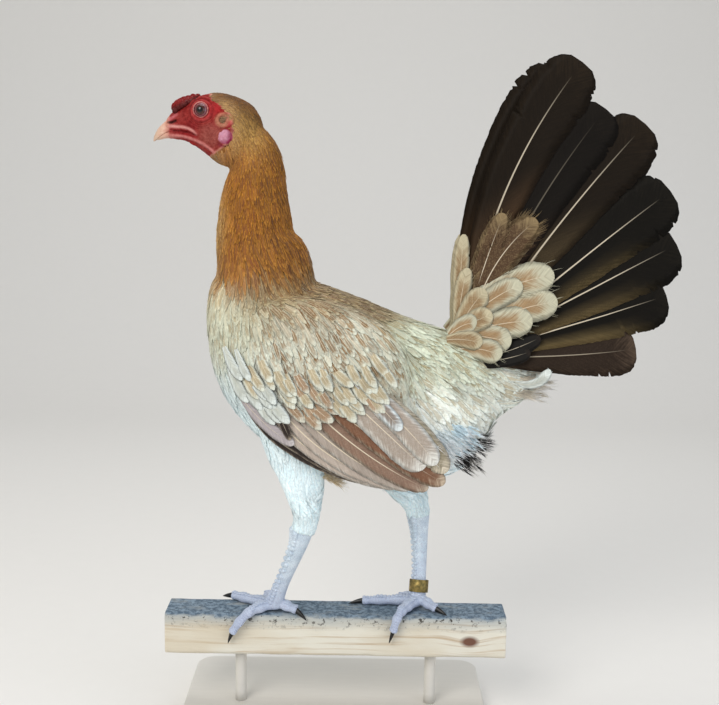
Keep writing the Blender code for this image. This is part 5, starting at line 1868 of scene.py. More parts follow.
@dataclass
class SmallFeathers:
    """All the contour feathers of the body, in pieces by region, and the down between them.

    Attributes:
        seed: seed of the roots.
        rump: the x and z beyond which the tail's own feathers grow.
        patch_strength: how much lighter and darker patches of the coat are.
        patch_size: distance between the patches.
        broad: groups whose vanes are wide enough for the finer cross-section.
        downs: for each clump of down, its middle with Y counted outwards, its reach, its lie, how many
            feathers it has on each side, their length and the colours of roots and tips.
    """

    seed: int = 21
    rump: tuple = (112.0, 338.0)
    patch_strength: float = 0.42
    patch_size: float = 13.0
    broad: tuple = ("back", "bow", "flank", "saddle")
    downs: tuple = (
        ((152, 8, 306), (8, 7, 9), (1.0, 0.15, -0.10), 34, 26, "E6DDCC", "FAF8F4"),
        ((100, 20, 252), (7, 9, 6), (0.75, 0.25, -0.50), 22, 24, "1E1A18", "D9D6D0"),
        ((104, 10, 262), (8, 8, 8), (0.95, 0.2, -0.05), 16, 22, "2A2624", "F2F2F0"),
        ((72, 40, 266), (14, 8, 12), (0.8, 0.25, -0.5), 56, 27, "F0FBFF", "FFFFFF"),
        ((94, 26, 270), (9, 9, 10), (0.85, 0.15, -0.45), 40, 22, "E2F6FF", "FFFFFF"),
        ((26, 46, 234), (28, 4, 5), (0.9, 0.16, -0.40), 130, 25, "DDCAA8", "FFF8EA"),
    )

    def roots_allowed(self, points: np.ndarray) -> np.ndarray:
        """Where a body feather may be rooted.

        Args:
            points: rows of x, y, z.

        Returns:
            True where a root may be.
        """
        under = inside(points, FLIGHT_AREA) & (np.abs(points[:, 1]) > 34)
        rump = (points[:, 0] > self.rump[0]) & (points[:, 2] > self.rump[1])
        wander = 2.0 * np.sin(points[:, 2] * 1.9) * np.sin(points[:, 1] * 1.3 + points[:, 2] * 0.7)
        return (behind_face(points) > wander - 1.5) & ~under & ~rump & (points[:, 2] > 186)

    def build(self, drape: Drape, coat: Coat) -> None:
        """Scatters the roots, lays the vanes and makes one piece for each group and side.

        Args:
            drape: the skin.
            coat: gives the coat's colours.
        """
        roots, normals = drape.scatter(lambda points: coat.weights(points) @ coat.sizes[:, 2],
                                       self.roots_allowed, self.seed)
        shares = coat.weights(roots)
        lies = shares @ coat.lies
        lies[:, 1] *= np.sign(roots[:, 1])
        sizes = shares @ coat.sizes
        grounds, edges = coat.colours(roots + lies * 10)
        patch = 1 + self.patch_strength * ripple(roots, self.patch_size)[:, None]
        grounds, edges = grounds * patch, edges * patch ** 0.5
        groups = np.array([tract.group for tract in TRACTS])[shares.argmax(axis=1)]
        halves = np.where(roots[:, 1] < 0, Side.LEFT.value, Side.RIGHT.value)
        for group in sorted(set(groups)):
            cutter = VaneCutter()
            if group in self.broad:
                cutter = VaneCutter((0.0, 0.14, 0.30, 0.46, 0.61, 0.74, 0.84, 0.92, 0.97, 1.0),
                                    (0.30, 0.62, 0.88, 0.99, 1.0, 0.97, 0.88, 0.68, 0.42, 0.14),
                                    (0.34, 0.70, 0.94, 1.0, 0.92, 0.76, 0.57, 0.36, 0.20, 0.06))
            for side in Side:
                chosen = (groups == group) & (halves == side.value)
                shape = cutter.cut(drape, roots[chosen], normals[chosen], lies[chosen], sizes[chosen],
                                   grounds[chosen], edges[chosen], self.seed + side.value)
                piece(f"{group}_feathers_{side.word}", shape, Feather())
        LOG.info("body feathers: %d", len(roots))
        self.build_down(drape)

    def build_down(self, drape: Drape) -> None:
        """The loose down at the vent, under the tail, behind the wings and along the belly.

        Args:
            drape: the skin.
        """
        draw = np.random.default_rng(self.seed + 5)
        for side in Side:
            parts = []
            for number, (middle, reach, lie, count, length, ground, edge) in enumerate(self.downs):
                places = np.array(middle) + draw.uniform(-1, 1, (count, 3)) * reach
                places[:, 1] *= side.value
                roots, ups = drape.settle(places)
                lies = np.array(lie) * (1, side.value, 1) + draw.normal(0, 0.09, (count, 3))
                parts.append(FluffCutter().cut(roots - ups, ups, lies, length, ground, edge,
                                               self.seed + number))
            piece(f"down_{side.word}", Shape.joined(parts), Feather())


DARK_FLIGHT = Plume("2E2520", "B7A894", 0.10, 0.5, 0.0, 0.05)
GREY_FLIGHT = Plume("B4A699", "EAE8E0", 0.08, 0.9, 0.08, 0.05)
RICH_FLIGHT = Plume("7C563F", "D8C8AE", 0.06, 0.9, 0.06, 0.03)
TAN_FLIGHT = Plume("8C705E", "D8CCB8", 0.06, 0.9, 0.08, 0.03)
TERTIAL = Plume("AC9E90", "EEEEE6", 0.20, 0.9, 0.12, 0.04)
LILAC_FLIGHT = Plume("ABA3A4", "C8C3C1", 0.12, 0.5, 0.05, 0.03)
OLIVE_TERTIAL = Plume("8A8068", "E8DCC6", 0.14, 0.6, 0.10, 0.04)
WHITE_TERTIAL = Plume("94877C", "E2EAEA", 0.34, 0.9, 0.05, 0.02)
COVERT = Plume("A08468", "D8D8C8", 0.30, 0.9, 0.12, 0.06, 0.5)
CREAM_COVERT = Plume("B5A788", "DCDFD0", 0.40, 0.7, 0.10, 0.05, 0.6)
WHITE_COVERT = Plume("C0C5BC", "D6DDD8", 0.45, 0.25, 0.05, 0.04, 0.8)


@dataclass
class Wings:
    """The folded flight feathers and the rows of coverts over their roots, on both sides.

    Attributes:
        flights: root, bend, tip, width, colours, depth and tilt of each, the deepest first.
        rows: for each row of coverts the line of the tips, their length, width and lie at each end, their
            number and their depth.
        covert_tilt: degrees that a covert slants over the next.
        covert_sink: how much deeper a covert's root lies than its tip.
        white_front: the x ahead of which the lowest coverts are white.
        brown_span: the x between which most coverts are brown.
    """

    flights: tuple = (
        ((-76, 296), (-52, 254), (30, 230.0), 9, DARK_FLIGHT, 5.0, 12),
        ((-70, 300), (-42, 252.5), (38, 228.5), 10, DARK_FLIGHT, 4.7, 12),
        ((-62, 302), (-30, 250), (44, 227.5), 13, GREY_FLIGHT, 4.4, 11),
        ((-54, 304), (-18, 250), (52, 226.5), 15, GREY_FLIGHT, 4.1, 11),
        ((-44, 307), (-4, 254), (62, 225.0), 17, GREY_FLIGHT, 3.8, 10),
        ((-34, 309), (11, 259), (76, 223.5), 20, TAN_FLIGHT, 3.4, 10),
        ((2, 322), (56, 292), (91, 238.0), 24, OLIVE_TERTIAL, 3.8, 5),
        ((-22, 312), (30, 268), (90, 228.0), 22, RICH_FLIGHT, 2.9, 9),
        ((4, 322), (52, 290), (82, 246.0), 22, TERTIAL, 2.8, 5),
        ((-8, 320), (38, 278), (72, 243.0), 27, TERTIAL, 2.2, 6),
        ((14, 318), (34, 300), (52, 277.5), 13, WHITE_TERTIAL, 1.3, 5),
        ((-80, 304), (-62, 279), (-35, 264.0), 11, LILAC_FLIGHT, 1.9, 6),
        ((-50, 294), (-45, 284), (-38, 268.0), 7, DARK_FLIGHT, 1.7, 4),
    )
    rows: tuple = (
        (((-66, 290), (-42, 284), (-14, 282), (14, 288), (40, 292)), 34, 10.5, (-54, -48), 17, 1.3),
        (((-72, 301), (-46, 296), (-16, 294), (14, 299), (44, 303)), 31, 10.0, (-58, -52), 18, 0.8),
        (((-77, 313), (-48, 309), (-16, 308), (14, 312), (44, 316)), 29, 9.5, (-63, -55), 19, 0.4),
    )
    covert_tilt: float = 5.0
    covert_sink: float = 8.0
    white_front: float = -38.0
    brown_span: tuple = (-28.0, 2.0)

    def quills(self, draw: np.random.Generator) -> tuple[list[Quill], list[Quill]]:
        """The flight feathers and the coverts of one wing.

        Args:
            draw: the random numbers.

        Returns:
            The flight feathers and the coverts.
        """
        flights = [Quill(root, bend, tip, width, plume, depth=depth, tilt=tilt)
                   for root, bend, tip, width, plume, depth, tilt in self.flights]
        coverts = []
        for tips, length, width, lies, count, depth in self.rows:
            for i, tip in enumerate(spline(tips, count)):
                tip = tip + draw.normal(0, 3.0, 2)
                lie = math.radians(lies[0] + (lies[1] - lies[0]) * i / (count - 1) + draw.normal(0, 5.0))
                root = tip - np.array((math.cos(lie), math.sin(lie))) * length * draw.uniform(0.94, 1.06)
                bend = (root + tip) / 2 + np.array((math.sin(lie), -math.cos(lie))) * length * 0.06
                brown = 0.75 if self.brown_span[0] < tip[0] < self.brown_span[1] else 0.22
                plume = COVERT if draw.uniform() < brown else CREAM_COVERT
                if tip[0] + draw.normal(0, 5) + 1.3 * (tip[1] - 288) < self.white_front:
                    plume = WHITE_COVERT
                coverts.append(Quill(tuple(root), tuple(bend), tuple(tip), width * draw.uniform(0.85, 1.12),
                                     plume, depth=depth + draw.uniform(-0.2, 0.2), tilt=self.covert_tilt,
                                     sink=self.covert_sink))
        return flights, coverts

    def build(self) -> None:
        """Makes the flight feathers and coverts of both wings."""
        for side in Side:
            flights, coverts = self.quills(np.random.default_rng(31 + side.value))
            cutter = QuillCutter(rows=56, splits=1, fray=0.03, serration=0.02)
            piece(f"flight_feathers_{side.word}", cutter.cut(flights, wing_face, side.value, 41),
                  Feather("flight feather keratin", 0.55, 0.05), (f"wing_{side.word}",))
            cutter = QuillCutter(22, (-1.0, -0.55, -0.07, 0.0, 0.07, 0.55, 1.0), 0.3, 0.2, 0.06, 0.06, 1,
                                 profile=((0, 0.4), (0.3, 0.82), (0.6, 1.0), (0.82, 0.90), (0.93, 0.64),
                                          (1, 0.16)))
            piece(f"wing_coverts_{side.word}", cutter.cut(coverts, wing_face, side.value, 43),
                  Feather())


HIDDEN_SHAFT = Plume("110D09", "2A2016", 0.05, 0.12, 0.04, 0.10)
BLACK_TAIL = Plume("0F0C08", "241A12", 0.06, 0.65, 0.04, 0.10)
WARM_TAIL = Plume("1A130B", "33261A", 0.08, 0.65, 0.06, 0.08)
GREY_TAIL = Plume("2A2018", "4E4034", 0.12, 0.4, 0.15, 0.05)
MOTTLED_TAIL = Plume("100D08", "8A7650", 0.05, 0.75, 0.0, 0.05)
BROWN_COVERT = Plume("4C3622", "8C7856", 0.22, 0.8, 0.30, 0.05)
SMALL_TAN_COVERT = Plume("967C5A", "C0B698", 0.40, 0.6, 0.20, 0.05)
CREAM_TAIL_COVERT = Plume("A0835F", "BFBCA4", 0.50, 0.8, 0.10, 0.04)


@dataclass
class Tail:
    """The fan of tail feathers, tent-shaped about the middle plane, with its coverts.

    Attributes:
        left: for each feather of the left half the angle above the horizontal, length, bend, width, colours,
            the colour of its base and the share of the length that the base's colour reaches.
        right: the same for the right half.
        layer: distance between one feather and the next.
        covert_layer: distance between levels of coverts.
        coverts: root, bend, tip, width, level over the tail's own layers, colours and looseness of each.
    """

    left: tuple = (
        (70.3, 260, 20, 54, WARM_TAIL, "543E2A", 0.42),
        (62.5, 234, 10, 50, HIDDEN_SHAFT, "3A2A20", 0.35),
        (54.3, 241, 6, 56, WARM_TAIL, "4A3E2A", 0.45),
        (41.0, 216, 3, 56, MOTTLED_TAIL, "5E5034", 0.56),
        (30.0, 196, 1.5, 54, MOTTLED_TAIL, "6A5A3C", 0.60),
        (19.0, 172, 0, 48, MOTTLED_TAIL, "7E6C48", 0.66),
        (5.0, 139, -3, 42, GREY_TAIL, None, 0.4),
    )
    right: tuple = (
        (73.0, 250, 22, 54, WARM_TAIL, "543E2A", 0.42),
        (61.0, 229, 10, 50, HIDDEN_SHAFT, "3A2A20", 0.35),
        (52.0, 234, 6, 56, WARM_TAIL, "4A3E2A", 0.45),
        (38.0, 212, 3, 56, MOTTLED_TAIL, "5E5034", 0.56),
        (27.0, 192, 1.5, 54, MOTTLED_TAIL, "6A5A3C", 0.60),
        (15.0, 168, 0, 48, MOTTLED_TAIL, "7E6C48", 0.66),
        (1.5, 143, -3, 40, GREY_TAIL, None, 0.4),
    )
    layer: float = 0.8
    covert_layer: float = 1.1
    coverts: tuple = (
        ((110, 329), (140, 334), (168, 350), 16, 0.3, BLACK_TAIL, 0.3),
        ((108, 326), (136, 328), (160, 338), 15, 0.6, BLACK_TAIL, 0.3),
        ((148, 312), (166, 306), (176, 324), 9, 0.5, WHITE_COVERT, 0.8),
        ((104, 338), (98, 384), (103, 434), 14, 1.0, SMALL_TAN_COVERT, 0.15),
        ((104, 340), (113, 392), (136, 452), 24, 1.0, BROWN_COVERT, 1.2),
        ((106, 338), (118, 412), (163, 447), 30, 1.6, BROWN_COVERT, 1.6),
        ((103, 338), (97, 374), (107, 406), 15, 2.2, SMALL_TAN_COVERT, 0.15),
        ((100, 362), (136, 396), (178, 402), 30, 2.4, CREAM_TAIL_COVERT, 0.2),
        ((112, 352), (146, 376), (181, 380), 28, 3.0, CREAM_TAIL_COVERT, 0.2),
        ((101, 356), (124, 382), (152, 394), 22, 3.4, CREAM_TAIL_COVERT, 0.2),
        ((102, 350), (132, 362), (161, 364), 27, 3.8, CREAM_TAIL_COVERT, 0.2),
        ((98, 348), (106, 372), (122, 388), 20, 4.2, SMALL_TAN_COVERT, 0.15),
        ((98, 352), (118, 350), (144, 346), 25, 4.6, CREAM_TAIL_COVERT, 0.2),
        ((94, 344), (108, 362), (128, 368), 20, 5.0, SMALL_TAN_COVERT, 0.2),
        ((92, 350), (104, 362), (115, 360), 17, 5.4, CREAM_TAIL_COVERT, 0.2),
        ((96, 338), (118, 342), (136, 334), 21, 5.6, CREAM_TAIL_COVERT, 0.3),
        ((90, 346), (104, 348), (120, 344), 17, 6.0, SMALL_TAN_COVERT, 0.3),
    )

    def build(self) -> None:
        """Makes both halves of the fan and their coverts."""
        for side, feathers in ((Side.LEFT, self.left), (Side.RIGHT, self.right)):
            quills = []
            for i, (angle, length, bend, width, plume, base, reach) in enumerate(feathers):
                lie = math.radians(angle)
                ahead = np.array((math.cos(lie), math.sin(lie)))
                beside = np.array((-math.sin(lie), math.cos(lie)))
                root = np.array(TAIL_ROOT)
                quills.append(Quill(TAIL_ROOT, tuple(root + ahead * length / 2 + beside * bend * 2),
                                    tuple(root + ahead * length), width, plume, base=base, reach=reach,
                                    depth=-(len(feathers) - 1 - i) * self.layer,
                                    margin=plume is MOTTLED_TAIL))
            top = len(feathers) - 1
            coverts = [Quill(root, bend, tip, width, plume, tilt=2.0,
                             depth=-(top * self.layer + (1 + level) * self.covert_layer), loose=loose)
                       for root, bend, tip, width, level, plume, loose in self.coverts]
            cutter = QuillCutter(96, (-1.0, -0.62, -0.28, -0.035, 0.0, 0.035, 0.28, 0.62, 1.0), 0.6, 0.5,
                                 0.03, 0.030, 4, 0.03,
                                 profile=((0, 0.14), (0.25, 0.46), (0.55, 0.80), (0.8, 0.97), (0.90, 1.0),
                                          (0.96, 0.88), (0.985, 0.70), (1, 0.42)))
            piece(f"tail_feathers_{side.word}", cutter.cut(quills, tail_tent, side.value, 51 + side.value),
                  Feather("tail feather keratin", 0.6, 0.0, shine=0.10), (f"tail_{side.word}",))
            cutter = QuillCutter(48, fray=0.04, serration=0.035, splits=1, thickness=0.4, shaft=0.35,
                                 profile=((0, 0.4), (0.3, 0.8), (0.6, 1.0), (0.82, 0.97), (0.93, 0.78),
                                          (0.98, 0.5), (1, 0.2)))
            piece(f"tail_coverts_{side.word}", cutter.cut(coverts, tail_tent, side.value, 61 + side.value),
                  Feather())


@dataclass
class Head:
    """The bare face with its lids, ears, wattles, lobes, comb, bill and eyes.

    Attributes:
        voxel: size of the skin's faces.
        mouth: the line between the jaws where they are covered by skin.
        upper_rim: the pale rim over the mouth.
        lower_rim: the pale rim under it, which goes on along the jaw.
        nostril: the slit of a nostril.
        flap: the fold over it.
        upper_bill: rows of x, lowest z, highest z and half width.
        lower_bill: the same for the lower half.
        horn_end: x at which the skin takes over from the horn.
    """

    voxel: float = 0.5
    mouth: tuple = ((-147, 515.2), (-140.2, 515.2), (-132.3, 514.7), (-126.4, 513.4), (-121.3, 511.6))
    upper_rim: tuple = ((-147, 518.4), (-140.9, 518.6), (-135.6, 518.4), (-130.3, 517.9), (-126.4, 516.8),
                        (-123.1, 515.0), (-120.5, 512.3))
    lower_rim: tuple = ((-150, 510.0), (-142.2, 511.3), (-136.9, 511.4), (-131.7, 510.9), (-126.4, 509.6),
                        (-121.1, 507.7), (-116.5, 505.6), (-111.9, 502.9), (-108.0, 500.0), (-104.5, 496.5))
    nostril: tuple = ((-144.8, 522.0), (-141.2, 521.9), (-138.0, 523.4))
    flap: tuple = ((-144.2, 523.9), (-141.0, 525.6), (-137.6, 528.6))
    upper_bill: tuple = (
        (-134.0, 515.6, 533.5, 9.2), (-139.5, 515.8, 530.2, 8.3), (-142.9, 515.5, 527.2, 7.4),
        (-145.8, 514.6, 524.7, 6.5), (-150.6, 512.0, 520.6, 4.9), (-154.3, 509.3, 516.6, 3.3),
        (-156.8, 507.2, 511.9, 1.8), (-157.9, 506.7, 508.3, 0.6))
    lower_bill: tuple = ((-133.0, 508.2, 514.8, 8.0), (-141.0, 509.2, 514.6, 6.9),
                         (-147.5, 509.0, 513.0, 5.0), (-152.0, 508.0, 510.8, 3.2),
                         (-155.0, 507.6, 508.9, 1.4))
    horn_end: float = -145.6

    def relief(self, points: np.ndarray) -> np.ndarray:
        """How far the head's skin rises or sinks at points: socket, lids, folds, ear, nostril and mouth.

        Args:
            points: rows of x, y, z.

        Returns:
            The rise of each point.
        """
        x, y, z = points.T
        flank = smooth(np.abs(y), 3.0, 6.0)
        away = np.hypot(x - EYE[0], z - EYE[2])
        angle = np.degrees(np.arctan2(z - EYE[2], x - EYE[0]))
        upper = smooth(angle, 5, 35) * (1 - smooth(angle, 150, 178))
        lower = smooth(-angle, 5, 35) * (1 - smooth(-angle, 140, 170))
        wander = ripple(points, 5.0) * 0.6
        rise = -3.4 * (1 - smooth(away, 5.2, 6.6)) + 0.75 * hump(away - 7.9, 0.9)
        rise += upper * (0.95 * hump(away - 10.6 + wander, 0.8) - 0.6 * hump(away - 9.2 + wander, 0.45)
                         - 0.45 * hump(away - 12.2 + wander, 0.5))
        for radius, size in ((9.6, 0.45), (11.2, 0.42), (12.9, 0.36), (14.6, 0.25)):
            rise += lower * size * (hump(away - radius + wander, 0.45)
                                    - hump(away - radius - 0.8 + wander, 0.4))
        rise -= 0.9 * hump(np.hypot(x + 130, z - 529), 5.0)
        for x0, z0 in ((-133.0, 526.0), (-129.6, 524.6), (-126.2, 523.6)):
            rise += 0.22 * hump(line_distance(x, z, ((x0, z0), (x0 - 1.0, z0 + 8.0))) + wander * 0.6, 0.8)
        lips = line_distance(x, z, self.mouth)
        rise += -1.1 * hump(lips, 1.1) - 0.9 * hump(lips, 0.4)
        rise += smooth(x, -145, -139) * (0.55 * hump(line_distance(x, z, self.upper_rim), 1.3)
                                         + 0.5 * hump(line_distance(x, z, self.lower_rim), 1.3))
        rise -= 0.45 * hump(line_distance(x, z, [(a, b - 2.6) for a, b in self.lower_rim[3:]]), 0.9)
        rise += -1.5 * hump(line_distance(x, z, self.nostril), 0.75) + 0.75 * hump(
            line_distance(x, z, self.flap), 1.0)
        ear = np.hypot((x - EAR[0] - 2.4) * 0.85, z - EAR[2])
        around = np.degrees(np.arctan2(z - EAR[2], x - EAR[0] - 2.4))
        rise += (0.75 + 0.6 * np.cos(np.radians(around - 40))) * hump(ear - 5.4 + wander * 1.6, 1.0)
        rise -= 0.7 * hump(ear - 7.2 + wander, 0.6)
        rise += 0.9 * hump(np.hypot(x + 91.6, z - 521.6), 2.4) - 2.2 * (
            1 - smooth(np.hypot(x - EAR[0], z - EAR[2]), 1.6, 3.4))
        lobe = np.hypot((x - EARLOBE[0]) / EARLOBE_RADII[0], (z - EARLOBE[2]) / EARLOBE_RADII[2])
        rise -= 0.5 * hump(lobe - 1.08, 0.10)
        rise += 0.5 * hump(line_distance(x, z, ((-112, 517), (-108, 512), (-106.5, 505.5))) + wander, 1.6)
        crinkle = ripple(points * (1, 1, 1.3), 1.7, 9.0) * 0.16 + ripple(points, 3.6, 4.0) * 0.26
        return (rise + crinkle) * flank + crinkle * (1 - flank)

    def tone(self, points: np.ndarray) -> np.ndarray:
        """Colour of the bare skin at points, in linear light, with painted shade in the nostril slits and
        the crease of the mouth, and how much blood mottles it.

        Args:
            points: rows of x, y, z.

        Returns:
            Rows of red, green, blue and blood.
        """
        x, _, z = points.T
        eye = np.hypot(x - EYE[0], z - EYE[2])
        lobe = np.hypot(x - EARLOBE[0], z - EARLOBE[2])
        zones = (
            ("961014", 1.0 + 0 * x),
            ("94342C", 1.8 * hump(np.hypot((x + 133) * 0.8, z - 527), 6.5)),
            ("7C0E14", 1.6 * hump(np.hypot(x + 130, z - 538), 5)),
            ("B81A22", 2.4 * hump(np.hypot((x + 103.5) * 0.9, z - 534), 6)),
            ("820A12", 2.2 * hump(np.hypot((x + 124) * 0.7, z - 520.5), 4.0)),
            ("C24A48", 2.0 * hump(eye - 8.2, 1.1)),
            ("6E0A12", 2.0 * hump(eye - 9.6, 0.7)),
            ("A4342C", 1.2 * hump(eye - 11.2, 0.9)),
            ("A05C50", 4.5 * hump(np.hypot((x + 108) * 0.9, z - 511), 7.5)),
            ("DCA29A", 7.0 * hump(line_distance(x, z, self.upper_rim), 0.95)),
            ("D88E88", 5.5 * hump(line_distance(x, z, self.lower_rim), 0.95)),
            ("980612", 9.0 * hump(line_distance(x, z, self.mouth), 1.9)),
            # painted shade: the crease of the mouth behind the tip is painted near black
            ("5A0209", 9.0 * hump(line_distance(x, z, self.mouth[1:]), 0.6)),
            ("D0777A", 5.0 * hump(line_distance(x, z, self.flap), 1.1)),
            # painted shade: the nostril slit is painted near black, as the shade inside it
            ("2A0606", 14.0 * hump(line_distance(x, z, self.nostril), 0.75)),
            ("BE8A6C", 4.5 * hump(np.hypot(x - EAR[0], z - EAR[2]) - 4.2, 1.5)),
            ("7A5A3A", 4.0 * hump(np.hypot(x - EAR[0], z - EAR[2]), 2.4)),
            ("C04A4C", 4.0 * hump(np.hypot(x + 91.6, z - 521.6), 2.8)),
            ("86203E", 5.0 * hump(lobe - 8.0, 0.9) * smooth(x - EARLOBE[0] - (z - EARLOBE[2]), -3, 4)),
            ("D9A88E", 2.0 * smooth(behind_face(points), -3.5, -0.5)),
            ("CC8478", 5.0 * hump(np.hypot((x + 146) * 0.5, z - 511.5), 3.0)),
            ("CC8478", 5.0 * hump(np.hypot((x + 146) * 0.5, z - 518.8), 2.2)),
            ("CF9E88", 16.0 * smooth(-x, -self.horn_end - 3.0, -self.horn_end + 1.0)),
        )
        weights = np.stack([weight for _, weight in zones], axis=-1)
        weights /= weights.sum(axis=1, keepdims=True)
        tints = weights @ np.array([linear(code) for code, _ in zones])
        blood = np.clip(1.1 - 2.6 * tints[:, 1:2], 0.32, 1.0)
        return np.hstack((tints, blood))

    def build(self, coat: Coat) -> None:
        """Makes every piece of the head.

        Args:
            coat: gives the coat's colours.
        """
        self.build_face(coat)
        for side in Side:
            self.build_eye(side)
            self.build_lobe(side)
            self.build_ear_tuft(side)
        self.build_bill()
        self.build_comb()

    @staticmethod
    def arch_rings(table: Rows, count: int, sides: int, upward: float,
                   grow: np.ndarray | float = 0.0) -> np.ndarray:
        """Rings of one half of the bill, arched on one side and nearly flat on the side of the mouth.

        Args:
            table: rows of x, lowest z, highest z and half width.
            count: how many rings are made.
            sides: points in a ring.
            upward: 1 if the arch is on top, -1 if below.
            grow: how far the rings are blown up, one number or one for each ring.

        Returns:
            An array of (ring, side, xyz).
        """
        rows = spline(table, count)
        turn = np.linspace(0, 2 * math.pi, sides, endpoint=False)
        cut = rows[:, 1] if upward > 0 else rows[:, 2]
        tall = rows[:, 2] - rows[:, 1] + grow
        rise = np.where(np.sin(turn) * upward > 0, np.abs(np.sin(turn)) ** 0.85,
                        -0.12 * np.abs(np.sin(turn)))
        return np.stack((
            np.repeat(rows[:, :1], sides, axis=1),
            (rows[:, 3:] + np.reshape(grow, (-1, 1))) * np.cos(turn),
            cut[:, None] + upward * tall[:, None] * rise,
        ), axis=-1)

    def build_face(self, coat: Coat) -> None:
        """The bare skin in one piece from over the bill's root to under the feathers.

        Args:
            coat: gives the coat's colours.
        """
        core = rings_shape(upright_rings(HEAD, 120, 96))
        wattles = [rings_shape(ball_rings((WATTLE[0], side.value * WATTLE[1], WATTLE[2]),
                                          WATTLE_RADII, 16, 24)) for side in Side]
        sleeves = []
        for table, upward in ((self.upper_bill, 1), (self.lower_bill, -1)):
            covered = spline(table, 120)
            covered = covered[covered[:, 0] > self.horn_end - 2.2][::3]
            x = spline(covered, 40)[:, 0]
            grow = 0.3 - 1.5 * smooth(-x, -self.horn_end - 2.4, -self.horn_end + 1.6)
            sleeves.append(rings_shape(self.arch_rings(covered, 40, 64, upward, grow)))
        shape = fused("face", [core, *wattles, *sleeves], self.voxel, 3)
        normals = point_normals(shape)
        shape.points = shape.points + normals * self.relief(shape.points)[:, None]
        grounds, edges = coat.colours(shape.points)
        hidden = smooth(behind_face(shape.points), -1.0, 1.5)[:, None]
        tone = self.tone(shape.points)
        tone[:, :3] = tone[:, :3] * (1 - hidden) + (grounds * 0.7 + edges * 0.3) * hidden
        shape.tints["tone"] = tone
        piece("face", shape, BareSkin(), ("head",))

    def build_eye(self, side: Side) -> None:
        """An eye ball with a bulging cornea, and its pale lid edge.

        Args:
            side: which side of the hen.
        """
        centre = np.array((EYE[0], side.value * EYE[1], EYE[2]))
        outward = unit(np.array((-0.14, side.value, 0.06)))
        aside = unit(np.cross(outward, (0, 0, 1)))
        upright = np.cross(aside, outward)
        angle = np.linspace(0.02, math.pi - 0.02, 40)
        turn = np.linspace(0, 2 * math.pi, 48, endpoint=False)
        radius = EYE_RADIUS + 0.35 * hump(angle, 0.55)
        ball = centre + radius[:, None, None] * (
            np.cos(angle)[:, None, None] * outward + np.sin(angle)[:, None, None] * (
                np.cos(turn)[None, :, None] * aside + np.sin(turn)[None, :, None] * upright))
        if np.dot(np.cross(aside, upright), outward) < 0:
            ball = ball[:, ::-1]
        shape = rings_shape(ball[::-1])
        spots = shape.points - centre
        off = spots - (spots @ outward)[:, None] * outward
        shape.values["off_axis"] = np.where(spots @ outward > 0,
                                            np.linalg.norm(off, axis=1) / EYE_RADIUS, 1.0)
        piece(f"eye_ball_{side.word}", shape, EyeGlass(), (f"eye_{side.word}",))
        path = (centre + outward * 3.9
                + 6.2 * (np.cos(turn)[:, None] * aside + np.sin(turn)[:, None] * upright))
        path = np.vstack((path, path[:2]))
        tube = np.full((len(path), 2), 0.52)
        tube += 0.12 * np.cos(np.linspace(0, 2 * math.pi * 11, len(path)))[:, None] * 0.5
        lid = rings_shape(tube_rings(path, tube, 10, outward))
        lid.tints["tone"] = np.tile(rgba("D2938A"), (len(lid.points), 1))
        piece(f"eyelid_{side.word}", lid, BareSkin("eyelid skin", 0.4, 0.7))

    def build_lobe(self, side: Side) -> None:
        """A soft wrinkled lobe, pale in front and magenta behind.

        Args:
            side: which side of the hen.
        """
        lobe = rings_shape(ball_rings((EARLOBE[0], side.value * EARLOBE[1], EARLOBE[2]),
                                      EARLOBE_RADII, 48, 64))
        normals = point_normals(lobe)
        lobe.points = lobe.points + normals * (ripple(lobe.points * (1, 1, 0.5), 2.2) * 0.35
                                               + ripple(lobe.points, 4.5, 2.0) * 1.1
                                               + ripple(lobe.points, 0.9) * 0.10)[:, None]
        x, _, z = lobe.points.T
        right, down = (x - EARLOBE[0]) / EARLOBE_RADII[0], (EARLOBE[2] - z) / EARLOBE_RADII[2]
        pale = np.clip(1.1 - smooth(right, -0.1, 0.75) - 0.85 * smooth(down, 0.1, 0.8), 0, 1)[:, None]
        colour = pale * np.array(linear("D29CB2")) + (1 - pale) * np.array(linear("8C1A48"))
        rim = smooth(np.hypot(right, down), 0.74, 0.98)[:, None]
        colour = colour * (1 - rim) + self.tone(lobe.points)[:, :3] * rim
        lobe.tints["tone"] = np.hstack((colour, np.full((len(x), 1), 0.65)))
        piece(f"ear_lobe_{side.word}", lobe, BareSkin("earlobe skin", 0.5, 0.8),
              (f"earlobe_{side.word}",))

    def build_ear_tuft(self, side: Side) -> None:
        """Small bristly feathers that cover the ear's opening.

        Args:
            side: which side of the hen.
        """
        draw = np.random.default_rng(71)
        count = 200
        turn, out = draw.uniform(0, 2 * math.pi, count), 3.6 * np.sqrt(draw.uniform(0, 1, count))
        starts = np.stack((EAR[0] - 1.0 + out * np.cos(turn), np.full(count, side.value * 14.0),
                           EAR[2] + out * np.sin(turn)), axis=-1)
        ends = starts + np.stack((draw.uniform(2.0, 4.6, count), side.value * draw.uniform(1.2, 2.6, count),
                                  draw.uniform(-1.8, 0.8, count)), axis=-1)
        rings = strands(starts, ends, np.tile((0, side.value * 0.5, 0), (count, 1)), 0.26)
        along = np.tile(np.linspace(0, 1, rings.shape[1]), count)
        light = draw.uniform(0.8, 1.1, count)
        shape = dressed_strands(rings, skin_map(starts), along, light, ("A4805E", "DDB79A"), 0.4, 4.0)
        piece(f"ear_tuft_{side.word}", shape, Feather())

